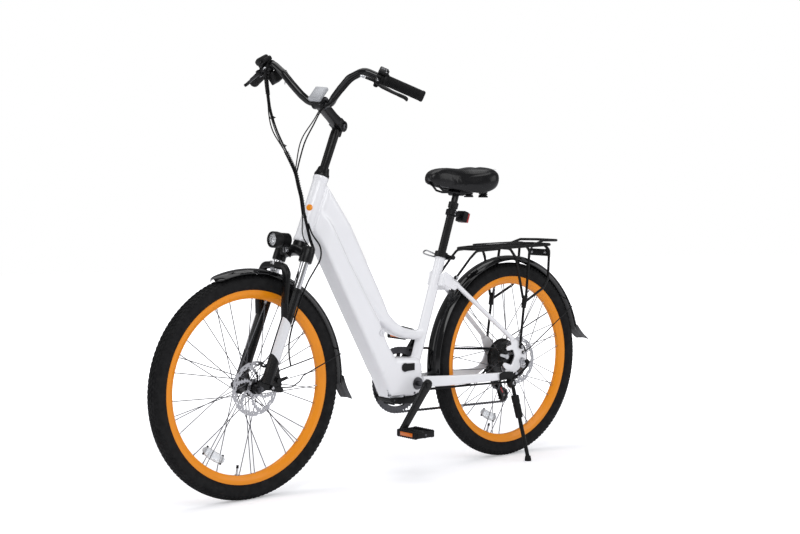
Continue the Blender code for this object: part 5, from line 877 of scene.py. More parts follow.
def brake_disc(name, centre, x):
    """A drilled steel track on slanting arms, cut from one sheet."""
    bm = bmesh.new()
    rows = [0.0165, 0.0215, 0.0265, 0.033, 0.041, 0.049, 0.057, 0.0625, 0.0655, 0.0685, 0.0715, 0.0745,
            0.0775, ROTOR_R]
    place = along((x, *centre), LEFT)
    turned(bm, [(r, 0) for r in rows], place, ROTOR_STEPS)
    bmesh.ops.remove_doubles(bm, verts=bm.verts[:], dist=0.00001)
    gone = []
    holes = ((0.0215, 0.0265, 20, (12, 13)), (0.0655, 0.0685, 6, (0, 1)), (0.0715, 0.0745, 6, (3, 4)),
             (0.0775, ROTOR_R, 12, (8, 9, 10)))
    flat = place.inverted()
    for face in bm.faces:
        middle = flat @ face.calc_center_median()
        radius = math.hypot(middle.x, middle.y)
        step = int((math.degrees(math.atan2(middle.y, middle.x)) % 360) / 360 * ROTOR_STEPS)
        if 0.0265 < radius < 0.0655 and (step - (radius - 0.0265) * 320) % 20 > 4.2:
            gone.append(face)
        for low, high, every, cut in holes:
            if low < radius < high and step % every in cut:
                gone.append(face)
    bmesh.ops.delete(bm, geom=gone, context='FACES')
    bmesh.ops.solidify(bm, geom=bm.faces[:], thickness=ROTOR_THICK)
    middle = sum((v.co.x for v in bm.verts), 0.0) / len(bm.verts)
    bmesh.ops.translate(bm, verts=bm.verts[:], vec=(x - middle, 0, 0))
    piece(name + "_brake_disc", bm, "disc", "wheel_" + name, [name + "_rotor"])
    bolts = bmesh.new()
    for k in range(6):
        pin(bolts, polar(centre, 0.022, 60 * k + 15, x), -0.001, 0.0034, 0.0042, 12, 0.0006)
    piece(name + "_brake_disc_bolts", bolts, "zinc", "wheel_" + name)


def front_hub():
    spun("front_hub", [
        (0.0055, 0.052), (0.0105, 0.052), (0.0115, 0.05), (0.0135, 0.0415), (0.0135, 0.0388),
        (0.0215, 0.0386), (0.0222, 0.0375), (0.0222, 0.0318), (0.0262, 0.0305), (0.0268, 0.0292),
        (0.0262, 0.027), (0.0175, 0.0245), (0.015, 0.018), (0.0142, 0.0), (0.015, -0.025),
        (0.017, -0.032), (0.024, -0.034), (0.0246, -0.0355), (0.024, -0.0372),
        (0.015, -0.0395), (0.0118, -0.05), (0.0105, -0.052), (0.0055, -0.052)],
        along((0, *FRONT_AXLE), LEFT), 48, "satin black", "wheel_front")
    caps = bmesh.new()
    for side in (-1, 1):
        pin(caps, (0, *FRONT_AXLE), side * 0.0495, side * 0.0527, 0.0085, 24, 0.0008)
    piece("front_bearing_cones", caps, "zinc", "wheel_front")


def hub_motor():
    """The rear wheel's flat motor, with a rim of cover screws and a ribbed side."""
    spun("hub_motor_shell", [
        (0.006, 0.0526), (0.02, 0.0526), (0.0216, 0.0518), (0.024, 0.0505), (0.035, 0.0492),
        (0.0385, 0.047), (0.048, 0.042), (0.052, 0.0398), (0.064, 0.0372), (0.068, 0.0366),
        (0.0686, 0.0355), (0.0686, 0.0342), (0.068, 0.0334), (0.0618, 0.0328), (0.0606, 0.031),
        (0.06, 0.025), (0.0606, 0.0225), (0.06, 0.02), (0.0606, 0.0175), (0.06, 0.015),
        (0.0606, 0.0125), (0.06, 0.01), (0.06, -0.008), (0.0606, -0.017), (0.062, -0.0188),
        (0.068, -0.0198), (0.0686, -0.0206), (0.0686, -0.0224), (0.068, -0.0232),
        (0.05, -0.0248), (0.039, -0.0262), (0.03, -0.0268), (0.02, -0.0275),
        (0.006, -0.028)], along((0, *REAR_AXLE), LEFT), 72, "satin black", "wheel_rear")
    screws = bmesh.new()
    for k in range(MOTOR_SCREWS):
        spot = polar(REAR_AXLE, 0.056, 360 / MOTOR_SCREWS * k + 12)
        for low, high in ((0.0372, 0.0408), (-0.0266, -0.0236)):
            pin(screws, spot, low, high, 0.003, 10, 0.0005)
    piece("hub_motor_screws", screws, "zinc", "wheel_rear")


def wheels():
    both = (("front", FRONT_AXLE), ("rear", REAR_AXLE))
    for name, centre in both:
        wheel_rim(name, centre)
    for name, centre in both:
        wheel_tyre(name, centre)
    wheel_spokes("front", FRONT_AXLE, ((0.0283, 0.0235), (-0.0357, 0.0215)), 56)
    wheel_spokes("rear", REAR_AXLE, ((0.035, 0.0655), (-0.0215, 0.0655)), 26)
    valve("front", FRONT_AXLE, 262)
    valve("rear", REAR_AXLE, 250)
    spoke_reflector("front_reflector_low", FRONT_AXLE, 238, 0.222, "wheel_front")
    spoke_reflector("rear_reflector", REAR_AXLE, 246, 0.205, "wheel_rear")
    brake_disc("front", FRONT_AXLE, FRONT_ROTOR_X)
    brake_disc("rear", REAR_AXLE, REAR_ROTOR_X)
    front_hub()
    hub_motor()


# Cords

def hose(name, points, diameter, body, stands_for=()):
    """A cable on its own line."""
    line = [BIKE @ p for p in points]
    data = line_curve(name, line, diameter / 2, 3)
    data.materials.append(LOOKS["cover"])
    ob = linked(name, data)
    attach(ob, body)
    if stands_for:
        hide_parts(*stands_for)


UPPER_BODIES = ("handlebars", "stem_base")
LOWER_BODIES = ("stem_base", "steering")


def up_the_head(place):
    """How far up the head tube's line a place is."""
    return (place - HEAD_FOOT).dot(HEAD_DIR)


def bends(obs):
    """Pieces on a cable that crosses the stem, each with its place baked into its mesh."""
    for ob in obs:
        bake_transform(ob)


def bar_hose(name, points, diameter, spans, stands_for=()):
    """A cable from the bars down to the fork, in two lengths."""
    cut = min(range(len(points)), key=lambda i: abs(up_the_head(points[i]) - BUNDLE_CUT))
    for label, part, bodies, span in ((name + "_upper", points[:cut + 1], UPPER_BODIES, spans[0]),
                                      (name, points[cut:], LOWER_BODIES, spans[1])):
        bm = bmesh.new()
        tube(bm, part, diameter / 2, 12)
        ob = piece(label, bm, "cover", None)
        if stands_for and label == name:
            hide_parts(*stands_for)
        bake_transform(ob)


def beside(points, dx, dy, twist=0.0, spread=0.0, start=0.2, end=0.5):
    """The same line, carried along beside itself, with a slow twist and one looser stretch."""
    out = []
    count = len(points)
    side = None
    for i, here in enumerate(points):
        run = (points[min(i + 1, count - 1)] - points[max(i - 1, 0)]).normalized()
        if side is None:
            side = run.cross(UP).normalized()
        side = (side - run * side.dot(run)).normalized()
        other = run.cross(side)
        a = twist * i / count
        t = (i / count - start) / (end - start)
        ease = 1.0 + (spread * math.sin(math.pi * t) ** 2 if 0 < t < 1 else 0.0)
        out.append(here + (side * (dx * math.cos(a) - dy * math.sin(a))
                           + other * (dx * math.sin(a) + dy * math.cos(a))) * ease)
    return out


def coil_wrap(name, points, radius, wire, turns, body):
    """A thin strip wound round a bundle."""
    count = len(points)
    steps = turns * 10
    side = None
    line = []
    for k in range(steps + 1):
        t = k / steps * (count - 1)
        i = min(int(t), count - 2)
        here = points[i].lerp(points[i + 1], t - i)
        run = (points[i + 1] - points[i]).normalized()
        if side is None:
            side = run.cross(LEFT).normalized()
        side = (side - run * side.dot(run)).normalized()
        a = math.tau * k / 10
        line.append(here + (side * math.cos(a) + run.cross(side) * math.sin(a)) * radius)
    bm = bmesh.new()
    tube(bm, line, wire, 6)
    return piece(name, bm, "cover", body)


def zip_tie(name, place, run, radius, body):
    """A narrow strap round a bundle with its small square head."""
    bm = bmesh.new()
    at = along(place, run)
    turned(bm, [(radius, -0.0013), (radius + 0.0009, -0.0013), (radius + 0.0009, 0.0013),
                (radius, 0.0013)], at, 20, ring=True)
    block(bm, (radius + 0.0018, 0, 0), (0.0036, 0.0044, 0.004), at, 0.0005)
    block(bm, (radius + 0.0045, 0.0008, 0), (0.005, 0.001, 0.0022), at, 0.0003)
    return piece(name, bm, "plastic", body)


def lever_line(side):
    """Where the cable leaves a brake lever, on the bicycle."""
    start = on_bar(0.0316, -0.0735, 0)
    if side < 0:
        start.x = -start.x
    return YAW @ start


def front_cords():
    right = smooth([lever_line(-1), *[steer(*p) for p in (
        (0.872, 0.146, -0.185), (0.828, 0.139, -0.16), (0.775, 0.126, -0.123), (0.727, 0.112, -0.08),
        (0.684, 0.1, -0.038), (0.648, 0.09, -0.006), (0.611, 0.076, 0.01), (0.578, 0.059, 0.02),
        (0.54, 0.0475, 0.033), (0.506, 0.028, 0.04), (0.474, 0.006, 0.043),
        (0.452, -0.023, 0.036), (0.433, -0.0616, 0.014), (0.426, -0.096, 0),
        (0.412, -0.13, 0))]], 0.008)
    keep = [p for p in right if not (p.y > housing_front(p.z) and abs(p.x) < HOUSING_HALF)]
    keep += right[len(keep):len(keep) + 2]
    low = min(range(len(keep)), key=lambda i: abs(up_the_head(keep[i]) - BUNDLE_CUT))
    spans = ((BIKE @ keep[5], BIKE @ keep[low]), (BIKE @ keep[low], BIKE @ steer(0.56, 0.055, 0.025)))
    for name, line, wide in (
            ("right_control_cable", beside(keep, 0.0028, 0.0, 2.0), 0.005),
            ("display_cable", beside(keep, -0.0026, 0.002, 2.0, 2.2), 0.0038),
            ("right_shift_cable", beside(keep, -0.0016, -0.003, 2.0, 1.6, 0.16, 0.46), 0.0044),
            ("throttle_cable", beside(keep, 0.0006, 0.005, 2.0, 2.4, 0.8, 1.0), 0.0034)):
        bar_hose(name, line, wide, spans, ["control_cables"] if name == "right_control_cable" else ())
    count = len(keep)
    bundled = [coil_wrap("upper_spiral_wrap", keep[5:int(count * 0.18)], 0.0062, 0.0009, 11, None)]
    coil_wrap("lower_spiral_wrap", keep[int(count * 0.5):int(count * 0.8)], 0.0062, 0.0009, 26,
              "steering")
    for k, t in enumerate((0.3, 0.47, 0.83)):
        i = int(count * t)
        tie = zip_tie("bundle_tie_%d" % (k + 1), keep[i], keep[i + 1] - keep[i - 1], 0.0057,
                      "steering" if k == 2 else None)
        if k < 2:
            bundled.append(tie)
    bends(bundled)
    clamp_line = [CLAMP + Vector(p) for p in ((0.14, -0.048, 0.07), (0.105, -0.044, 0.038),
                                              (0.07, -0.038, 0.006), (0.036, -0.04, -0.018))]
    left = [lever_line(1), *[YAW @ p for p in clamp_line],
            steer(0.8, 0.1, 0.016), steer(0.745, 0.105, 0.008), steer(0.695, 0.1, 0.002),
            steer(0.648, 0.09, -0.006)]
    line = smooth(left, 0.008)
    spans = ((BIKE @ (YAW @ clamp_line[3]), spans[0][1]), spans[1])
    bar_hose("left_brake_cable", beside(line, 0.0024, 0.0, 1.0, 1.2, 0.0, 0.4), 0.0046, spans)
    bar_hose("left_switch_cable", beside(line, -0.0024, 0.0006, 1.0, 3.0, 0.5, 1.0), 0.0036, spans)
    i = int(len(line) * 0.42)
    zip_tie("left_bar_tie", line[i], line[i + 1] - line[i], 0.0044, "handlebars")
    brake = smooth([steer(*p) for p in (
        (0.512, 0.0275, 0.0455), (0.486, 0.008, 0.053), (0.452, -0.005, 0.092),
        (0.42, -0.022, 0.088), (0.385, -0.026, 0.072), (0.344, -0.02, 0.066),
        (0.287, -0.015, 0.066), (0.226, -0.0135, 0.066), (0.166, -0.019, 0.066),
        (0.125, -0.036, 0.064), (0.096, -0.056, 0.0615))])
    hose("front_brake_hose", brake, 0.0048, "lowers", stands_for=["front_brake_cable"])
    zip_tie("fork_tie", steer(0.232, LEG_FORWARD, LEG_X), HEAD_DIR, LEG_R + 0.0008, "lowers")


def under_beam(y, z, x):
    """A place by the cables' own level under the bracket."""
    return bb(y, CABLE_LEVEL + z, x)


def rear_cords():
    motor = [under_beam(*p) for p in (
        (0.0275, 0, 0.024), (0.05, -0.001, 0.029), (0.116, 0, 0.041), (0.243, 0.0005, 0.057),
        (0.33, 0, 0.0675))]
    motor += [rear(*p) for p in (
        (-0.066, -0.0665, 0.069), (-0.046, -0.06, 0.0725), (-0.03, -0.046, 0.083),
        (-0.02, -0.034, 0.093), (-0.008, -0.016, 0.1035), (-0.001, -0.003, 0.1045), (0, 0, 0.102))]
    shift = [under_beam(*p) for p in (
        (0.0275, 0, -0.024), (0.05, 0, -0.028), (0.116, 0.0005, -0.04), (0.243, 0.001, -0.056),
        (0.34, -0.001, -0.069))]
    shift += [rear(-0.04, -0.06, -0.08), rear(-0.0125, -0.048, -0.08)]
    back = [under_beam(*p) for p in (
        (0.0275, 0, 0.01), (0.05, -0.0005, 0.014), (0.116, 0, 0.03), (0.18, 0, 0.036),
        (0.235, 0.004, 0.04), (0.275, 0.03, 0.0475), (0.305, 0.06, 0.06), (0.322, 0.078, 0.069))]
    hose("motor_cable", smooth(motor), 0.0072, "frame", stands_for=["rear_cables"])
    hose("rear_shift_cable", smooth(shift), 0.0044, "frame")
    hose("rear_brake_cable", smooth(back), 0.0044, "frame")
    clip = bmesh.new()
    block(clip, under_beam(0.036, 0, 0), (0.058, 0.007, 0.0112), bevel=0.0012)
    piece("cable_clip", clip, "plastic", "frame")


def cable_ends():
    for name, side in SIDES:
        sheath = bmesh.new()
        a, b = on_bar(0.0302, -0.0605, 0), on_bar(0.0316, -0.074, 0)
        rod(sheath, a, b, 0.0034, 16, 0.0028, 0.0004)
        rod(sheath, a.lerp(b, -0.05), a.lerp(b, 0.5), 0.0042, 6, bevel=0.0004)
        bar_piece(name + "_cable_adjuster", sheath, "alloy", side=side)
    boot = bmesh.new()
    rod(boot, rear(-0.003, -0.006, 0.1045), rear(0, 0.004, 0.096), 0.0062, 20, 0.0075, 0.0012)
    piece("motor_cable_boot", boot, "plastic", "frame")


def cords():
    front_cords()
    rear_cords()
    cable_ends()


def housing_front(z):
    """The front face of the head tube cover at a height, roughly the head tube's own line."""
    return steer((z - HEAD_FOOT.z) / HEAD_DIR.z).y - 0.028


# Fenders and flaps

def fender_shell(name, centre, radius, start, end, body, node, round_start=True):
    """A rolled steel guard: a crowned section with turned lips and a rounded tip."""
    bm = bmesh.new()
    rings = []
    steps = int(abs(end - start) / 2.5)
    for k in range(steps + 1):
        degrees = start + (end - start) * k / steps
        near = k * abs(end - start) / steps * math.radians(1) * radius
        wide = FENDER_HALF
        if round_start and near < 0.028:
            wide = FENDER_HALF * (0.42 + 0.58 * math.sqrt(max(0.0, 1 - (1 - near / 0.028) ** 2)))
        section = []
        for i in range(15):
            u = -1 + i / 7
            section.append((wide * u, 0.001 + 0.012 * abs(u) ** 2.4))
        inner = [(x * 0.955, drop + 0.0014) for x, drop in section[::-1]]
        section += [(wide * 0.99, 0.0152), (wide * 0.955, 0.0158), *inner]
        section += [(-wide * 0.955, 0.0158), (-wide * 0.99, 0.0152)]
        rings.append([polar(centre, radius - drop, degrees, x) for x, drop in section])
    loft(bm, rings)
    piece(name, bm, "gloss black", body, [node], sharp=50)


def fender_flap(name, start, end, body):
    """A moulded flap with a raised rim and two ribs."""
    bm = bmesh.new()
    run = (end - start).normalized()
    across = run.cross(LEFT)
    rings = []
    for k in range(9):
        t = k / 8
        place = start.lerp(end, t) + across * 0.004 * math.sin(math.pi * t)
        width = FLAP_HALF + FLAP_FLARE * (t if k < 8 else 0)
        row = []
        for i in range(13):
            u = -1 + i / 6
            rib = 0.0007 if i in (3, 4, 8, 9) else 0.0
            row.append(place + LEFT * width * u + across * (0.0011 + rib - 0.004 * (1 - u * u)))
        back = [p - across * 0.002 for p in row[::-1]]
        rings.append(row + back)
    loft(bm, rings)
    piece(name, bm, "flap", body, sharp=50)


def dome_bolt(bm, place, out, radius, high):
    """A round-headed bolt with a hexagon socket."""
    at = along(place, out)
    turned(bm, [(0, 0), (radius, 0), (radius, high * 0.35), (radius * 0.82, high * 0.85),
                (radius * 0.52, high), (radius * 0.5, high * 0.45), (0, high * 0.45)], at, 16)


def bolt_pair(bm, place, radius, high):
    """The same bolt on both sides, each facing outward."""
    for side in (-1, 1):
        dome_bolt(bm, (place[0] * side, place[1], place[2]), LEFT * side, radius, high)


def eyelet(bm, place):
    collar(bm, along(place, LEFT), 0.0022, 0.006, 0, 0.005, 20, 0.0004, 0.0008)


def fender_bolts(bm, centre, radius, spots, high):
    for degrees, x in spots:
        dome_bolt(bm, polar(centre, radius - 0.0014, degrees, x), ray(degrees), 0.004, high)


def fenders():
    fender_shell("front_guard", FRONT_AXLE, FRONT_FENDER_R, 111, -3.5, "lowers", "front_fender")
    fender_shell("rear_guard", REAR_AXLE, REAR_FENDER_R, 187, 13, "frame", "rear_fender", False)
    fender_flap("front_flap", polar(FRONT_AXLE, FRONT_FENDER_R - FLAP_INSET, 1), fore(0.378, -0.068),
                "lowers")
    fender_flap("rear_flap", polar(REAR_AXLE, REAR_FENDER_R - FLAP_INSET, 16), rear(0.3975, 0.044),
                "frame")
    stays = bmesh.new()
    face = 0.0623
    eye_at = steer(0.017, -0.013)
    points = [Vector((face + 0.0025, eye_at.y, eye_at.z)), fore(0.116, -0.003, 0.065),
              fore(0.145, 0.011, 0.064), fore(0.159, 0.027, 0.0625), fore(0.329, 0.076, 0.03)]
    bent(stays, points, 0.012, STAY_R, 10)
    eyelet(stays, (face, eye_at.y, eye_at.z))
    both_sides(stays)
    piece("front_guard_stays", stays, "powder black", "lowers")
    stays = bmesh.new()
    points = [rear(0.005, 0.029, 0.076), rear(0.035, 0.04, 0.0755), rear(0.303, 0.168, 0.0305)]
    bent(stays, points, 0.02, STAY_R, 10)
    eyelet(stays, rear(0.005, 0.029, 0.0738))
    both_sides(stays)
    block(stays, (0, BRACKET_Y + 0.0755, TYRE_R - 0.036), (0.02, 0.028, 0.003), bevel=0.0008)
    piece("rear_guard_stays", stays, "powder black", "frame")
    bolts = bmesh.new()
    bolt_pair(bolts, (face + 0.0048, eye_at.y, eye_at.z), 0.0048, 0.0034)
    fender_bolts(bolts, FRONT_AXLE, FRONT_FENDER_R, ((3.0, 0.012), (3.0, -0.012), (10.0, 0.0)), 0.0024)
    piece("front_guard_bolts", bolts, "zinc", "lowers")
    bolts = bmesh.new()
    bolt_pair(bolts, rear(0.005, 0.029, 0.0786), 0.0048, 0.003)
    fender_bolts(bolts, REAR_AXLE, REAR_FENDER_R, ((18.0, 0.012), (18.0, -0.012), (27.0, 0.0)), 0.0022)
    piece("rear_guard_bolts", bolts, "zinc", "frame")
    strap = bmesh.new()
    top = steer(0.368, 0.066)
    block(strap, (0, top.y - 0.0095, top.z - 0.008), (0.018, 0.0024, 0.036), bevel=0.0006)
    piece("front_guard_bracket", strap, "zinc", "lowers")


# Saddle

SADDLE_ROWS = (
    (-0.13, 0.018, 0.055, 0.03), (-0.112, 0.03, 0.071, 0.019), (-0.07, 0.036, 0.078, 0.012),
    (-0.02, 0.046, 0.073, 0.002), (0.03, 0.074, 0.073, -0.006), (0.06, 0.092, 0.077, -0.007),
    (0.096, 0.099, 0.083, 0.004), (0.122, 0.084, 0.078, 0.018), (0.133, 0.056, 0.064, 0.032),
)
SADDLE_SECTION = ((0.0, 0.36), (0.5, 0.32), (0.66, 0.02), (0.9, 0.06), (1.0, 0.6), (0.8, 0.96),
                  (0.28, 1.02))
SADDLE_CROWN = 0.955
SEAM_PART = 0.8
STITCH_STEP = 0.0054
STITCH_LONG = 0.0036


def saddle_rings():
    at = seat(SADDLE_UP)
    rings = []
    for y, half, top, bottom in SADDLE_ROWS:
        right = [at + Vector((half * u, y, bottom + (top - bottom) * v)) for u, v in SADDLE_SECTION]
        crown_point = at + Vector((0, y, bottom + (top - bottom) * SADDLE_CROWN))
        rings.append([*right, crown_point, *mirrored(right[:0:-1])])
    return rings


def stuffed(ob, cap):
    """Swells a cushion's cover a little, as its foam does, and keeps the result."""
    mesh = ob.data
    start = [v.co.copy() for v in mesh.vertices]
    group = ob.vertex_groups.new(name="held")
    low = min(v.co.z for v in mesh.vertices)
    group.add([v.index for v in mesh.vertices if v.co.z < low + 0.018], 1.0, 'REPLACE')
    cloth = ob.modifiers.new("Cloth", 'CLOTH')
    cloth.settings.vertex_group_mass = "held"
    cloth.settings.use_pressure = True
    cloth.settings.uniform_pressure_force = 4.0
    cloth.settings.effector_weights.gravity = 0
    cloth.settings.tension_stiffness = 25
    cloth.settings.compression_stiffness = 25
    cloth.settings.bending_stiffness = 1.5
    scene = bpy.context.scene
    for f in range(1, 21):
        scene.frame_set(f)
    result = evaluated(ob)
    ends = [v.co.copy() for v in result.vertices]
    ob.modifiers.remove(cloth)
    ob.vertex_groups.remove(group)
    for v, a, b in zip(mesh.vertices, start, ends):
        step = b - a
        if step.length > cap:
            step = step.normalized() * cap
        v.co = a + step
    bpy.data.meshes.remove(result)
    scene.frame_set(1)


def remeshed(ob, voxel):
    """Turns an object's surface into one even skin."""
    mod = ob.modifiers.new("Remesh", 'REMESH')
    mod.mode = 'VOXEL'
    mod.voxel_size = voxel
    mod.use_smooth_shade = True
    mesh = evaluated(ob)
    ob.modifiers.remove(mod)
    old = ob.data
    for look in old.materials:
        if mesh.materials.find(look.name) < 0:
            mesh.materials.append(look)
    ob.data = mesh
    bpy.data.meshes.remove(old)


def saddle():
    bm = bmesh.new()
    loft(bm, saddle_rings())
    bmesh.ops.recalc_face_normals(bm, faces=bm.faces[:])
    bmesh.ops.triangulate(bm, faces=[f for f in bm.faces if len(f.verts) > 4])
    ob = piece("saddle_cover", bm, "leather", "saddle", ["saddle_cushion"], sharp=180)
    sub = subdivide(ob, 2)
    mesh = evaluated(ob)
    ob.modifiers.remove(sub)
    old = ob.data
    ob.data = mesh
    bpy.data.meshes.remove(old)
    remeshed(ob, COVER_VOXEL)
    stuffed(ob, COVER_SWELL)
    seams(ob)
    subdivide(ob, 1)
    stitching()
    rails()


def seams(ob):
    """Presses the sewn lines into the cover: one round the side and a channel along the crown."""
    back = BIKE.inverted()
    at = seat(SADDLE_UP)
    for v in ob.data.vertices:
        co = back @ v.co - at
        row = saddle_row(co.y)
        if row is None:
            continue
        half, top, bottom = row
        u = abs(co.x) / half
        high = (co.z - bottom) / (top - bottom)
        if high > 0.45:
            ring = math.exp(-((u - SEAM_PART) / 0.035) ** 2) * 0.0016 if -0.1 < co.y < 0.118 else 0.0
            channel = math.exp(-(co.x / 0.007) ** 2) * 0.003 if -0.05 < co.y < 0.1 else 0.0
            v.co -= (BIKE.to_3x3() @ UP) * (ring + channel)


def saddle_row(y):
    """The saddle's half width, top and bottom at one place along it."""
    for a, b in zip(SADDLE_ROWS, SADDLE_ROWS[1:]):
        if a[0] <= y <= b[0]:
            t = (y - a[0]) / (b[0] - a[0])
            return [a[i] + (b[i] - a[i]) * t for i in (1, 2, 3)]
    return None


def seam_place(y, side, row_y):
    """A place on the saddle's side seam."""
    half, top, bottom = saddle_row(row_y)
    return seat(SADDLE_UP) + Vector((half * SEAM_PART * side, y, bottom + (top - bottom) * 0.925))


def stitching():
    """Short stitches along the side seam."""
    bm = bmesh.new()
    for side in (-1, 1):
        y = -0.098
        while y < 0.112:
            spot = seam_place(y, side, y)
            ahead = seam_place(y + STITCH_LONG, side, min(y + STITCH_LONG, 0.1385))
            block(bm, (0, 0, 0), (0.0006, (ahead - spot).length * 0.72, 0.0008),
                  basis((spot + ahead) / 2, (ahead - spot).cross(UP), ahead - spot))
            y += STITCH_STEP
    piece("saddle_stitches", bm, "cover", "saddle")


def rails():
    """The sprung underframe: two rails, two coil springs and the black pan above."""
    at = seat(SADDLE_UP)
    bm = bmesh.new()
    bent(bm, [at + Vector(p) for p in (
        (0.013, -0.098, 0.024), (0.016, -0.076, 0.006), (0.022, -0.045, 0.0), (0.022, 0.035, 0.0),
        (0.03, 0.06, 0.004), (0.034, 0.082, 0.026))], 0.012, 0.0036)
    both_sides(bm)
    piece("saddle_rails", bm, "powder black", "saddle", ["saddle_base"])
    coils = bmesh.new()
    foot = at + Vector((0.034, 0.09, -0.013))
    tube(coils, coil(foot, LEFT, Vector((0, 1, 0)), 0.0128, UP * 0.036, 6, 14), 0.0024, 8)
    rod(coils, foot - UP * 0.0035, foot + UP * 0.0015, 0.0158, 24, bevel=0.001)
    both_sides(coils)
    piece("saddle_springs", coils, "satin black", "saddle")
    pan = bmesh.new()
    rings = []
    for y, half, top, bottom in SADDLE_ROWS[1:-1]:
        wide = half * 0.62
        low = bottom + (top - bottom) * 0.28 - 0.0085
        across = [-1 + i / 4 for i in range(9)]
        ring = [at + Vector((wide * u, y * 0.94, low - 0.002 * (1 - u * u))) for u in across]
        ring += [at + Vector((wide * u, y * 0.94, low + 0.012)) for u in across[::-1]]
        rings.append(ring)
    loft(pan, rings)
    piece("saddle_pan", pan, "plastic", "saddle", levels=1)


# Handlebar and controls

BAR_CORNERS = ((0.04, 0, 0), (0.062, -0.015, 0.02), (0.091, -0.025, 0.048), (0.123, -0.0315, 0.079))


def bar_tube():
    half = [CLAMP + Vector(p) for p in BAR_CORNERS] + [CLAMP + BAR_TURN, BAR_END]
    points = mirrored(half[::-1]) + half
    bm = bmesh.new()
    tube(bm, rounded(rounded(points, 0.03, 3), 0.02, 3), BAR_R, 24)
    bar_piece("bar_tube", bm, "gloss black", ["handlebar"])
    for name, side in SIDES:
        bm = bmesh.new()
        rows = [(BAR_R + 0.0003, 0.0002), (GRIP_R + 0.0016, 0.0002), (GRIP_R + 0.0018, 0.0012),
                (GRIP_R + 0.0016, 0.0026), (GRIP_R + 0.0002, 0.0034)]
        count = 40
        for k in range(count):
            y = 0.0045 + (GRIP_LENGTH - 0.014) * k / count
            rows += [(GRIP_R - 0.0005, y), (GRIP_R + 0.0001, y + 0.0007), (GRIP_R + 0.0001, y + 0.0017),
                     (GRIP_R - 0.0005, y + 0.0024)]
        rows += [(GRIP_R, GRIP_LENGTH - 0.007), (GRIP_R + 0.0006, GRIP_LENGTH - 0.005),
                 (GRIP_R + 0.0006, GRIP_LENGTH), (GRIP_R - 0.0015, GRIP_LENGTH + 0.003),
                 (GRIP_R - 0.006, GRIP_LENGTH + 0.004), (0, GRIP_LENGTH + 0.0036)]
        turned(bm, rows, along(BAR_END - BAR_OUT * GRIP_LENGTH, BAR_OUT), 36)
        bar_piece(name + "_ribbed_grip", bm, "grip", [name + "_grip"], side)


def ring_on_bar(bm, y0, y1, radius, bevel=0.0012):
    """A collar round the bar in the control's own frame."""
    at = along(on_bar(0, y0, 0), CONTROL.to_3x3() @ Vector((0, 1, 0)))
    collar(bm, at, 0.0118, radius, 0, y1 - y0, 32, bevel)


LEVER_PIN = (0.034, -0.022)


def perch_shapes(bm):
    ring_on_bar(bm, -0.031, -0.016, 0.0165)
    block(bm, (0.0185, -0.0235, 0), (0.019, 0.0146, 0.0176), CONTROL, 0.0018)
    for z in (-0.0085, 0.0085):
        rod(bm, on_bar(*LEVER_PIN, z - 0.0018), on_bar(*LEVER_PIN, z + 0.0018), 0.0072, 20,
            bevel=0.0006)
        block(bm, (0.028, -0.0225, z), (0.012, 0.013, 0.0036), CONTROL, 0.0006)
    rod(bm, on_bar(0.026, -0.028, 0), on_bar(0.03, -0.058, 0), 0.005, 18, 0.0038, 0.0006)
    block(bm, (0, -0.0155, 0.0242), (0.019, 0.0285, 0.0084), CONTROL, 0.0018)
    block(bm, (0, -0.0238, 0.018), (0.0155, 0.012, 0.011), CONTROL, 0.0014)
    ring_on_bar(bm, -0.0075, -0.0003, 0.0215, 0.0014)


def perch_bolts(bm):
    turn = CONTROL.to_3x3()
    for x, y, z in ((0.0245, -0.0235, 0.0088), (-0.006, -0.022, 0.0285), (0.006, -0.008, 0.0285)):
        dome_bolt(bm, on_bar(x, y, z), turn @ UP, 0.0028, 0.0018)
    for way in (-1, 1):
        dome_bolt(bm, on_bar(*LEVER_PIN, way * 0.0102), turn @ (UP * way), 0.0034, 0.0016)


def lever_blade(name, side):
    """A cast lever: a flattened blade with a hooked tip, and a sleeve of soft black over its end."""
    px, py = LEVER_PIN
    outline = [(px - 0.0042, py), (px - 0.003, py - 0.0042), (px + 0.0012, py - 0.0052),
               (px + 0.0046, py + 0.001), (px + 0.0105, py + 0.019), (0.047, 0.029), (0.0472, 0.05),
               (0.0475, 0.068), (0.05, 0.0725), (0.053, 0.0765), (0.052, 0.0795),
               (0.049, 0.08), (0.044, 0.0768), (0.0405, 0.071), (0.04, 0.05),
               (0.0398, 0.03), (0.033, py + 0.018)]
    bm = bmesh.new()
    plate(bm, outline, 0.0085, CONTROL, 0.0019, 3)
    bar_piece(name + "_cast_lever", bm, "satin black", [name + "_lever"], side, "lever_" + name)
    bm = bmesh.new()
    sleeve = [(0.0398, 0.047), (0.0475, 0.047), (0.0479, 0.068), (0.0503, 0.0723), (0.0534, 0.0765),
              (0.0523, 0.0799), (0.0489, 0.0805), (0.0437, 0.0772), (0.04, 0.0713)]
    plate(bm, sleeve, 0.0094, CONTROL, 0.0023, 3)
    bar_piece(name + "_lever_sleeve", bm, "cover", (), side, "lever_" + name)


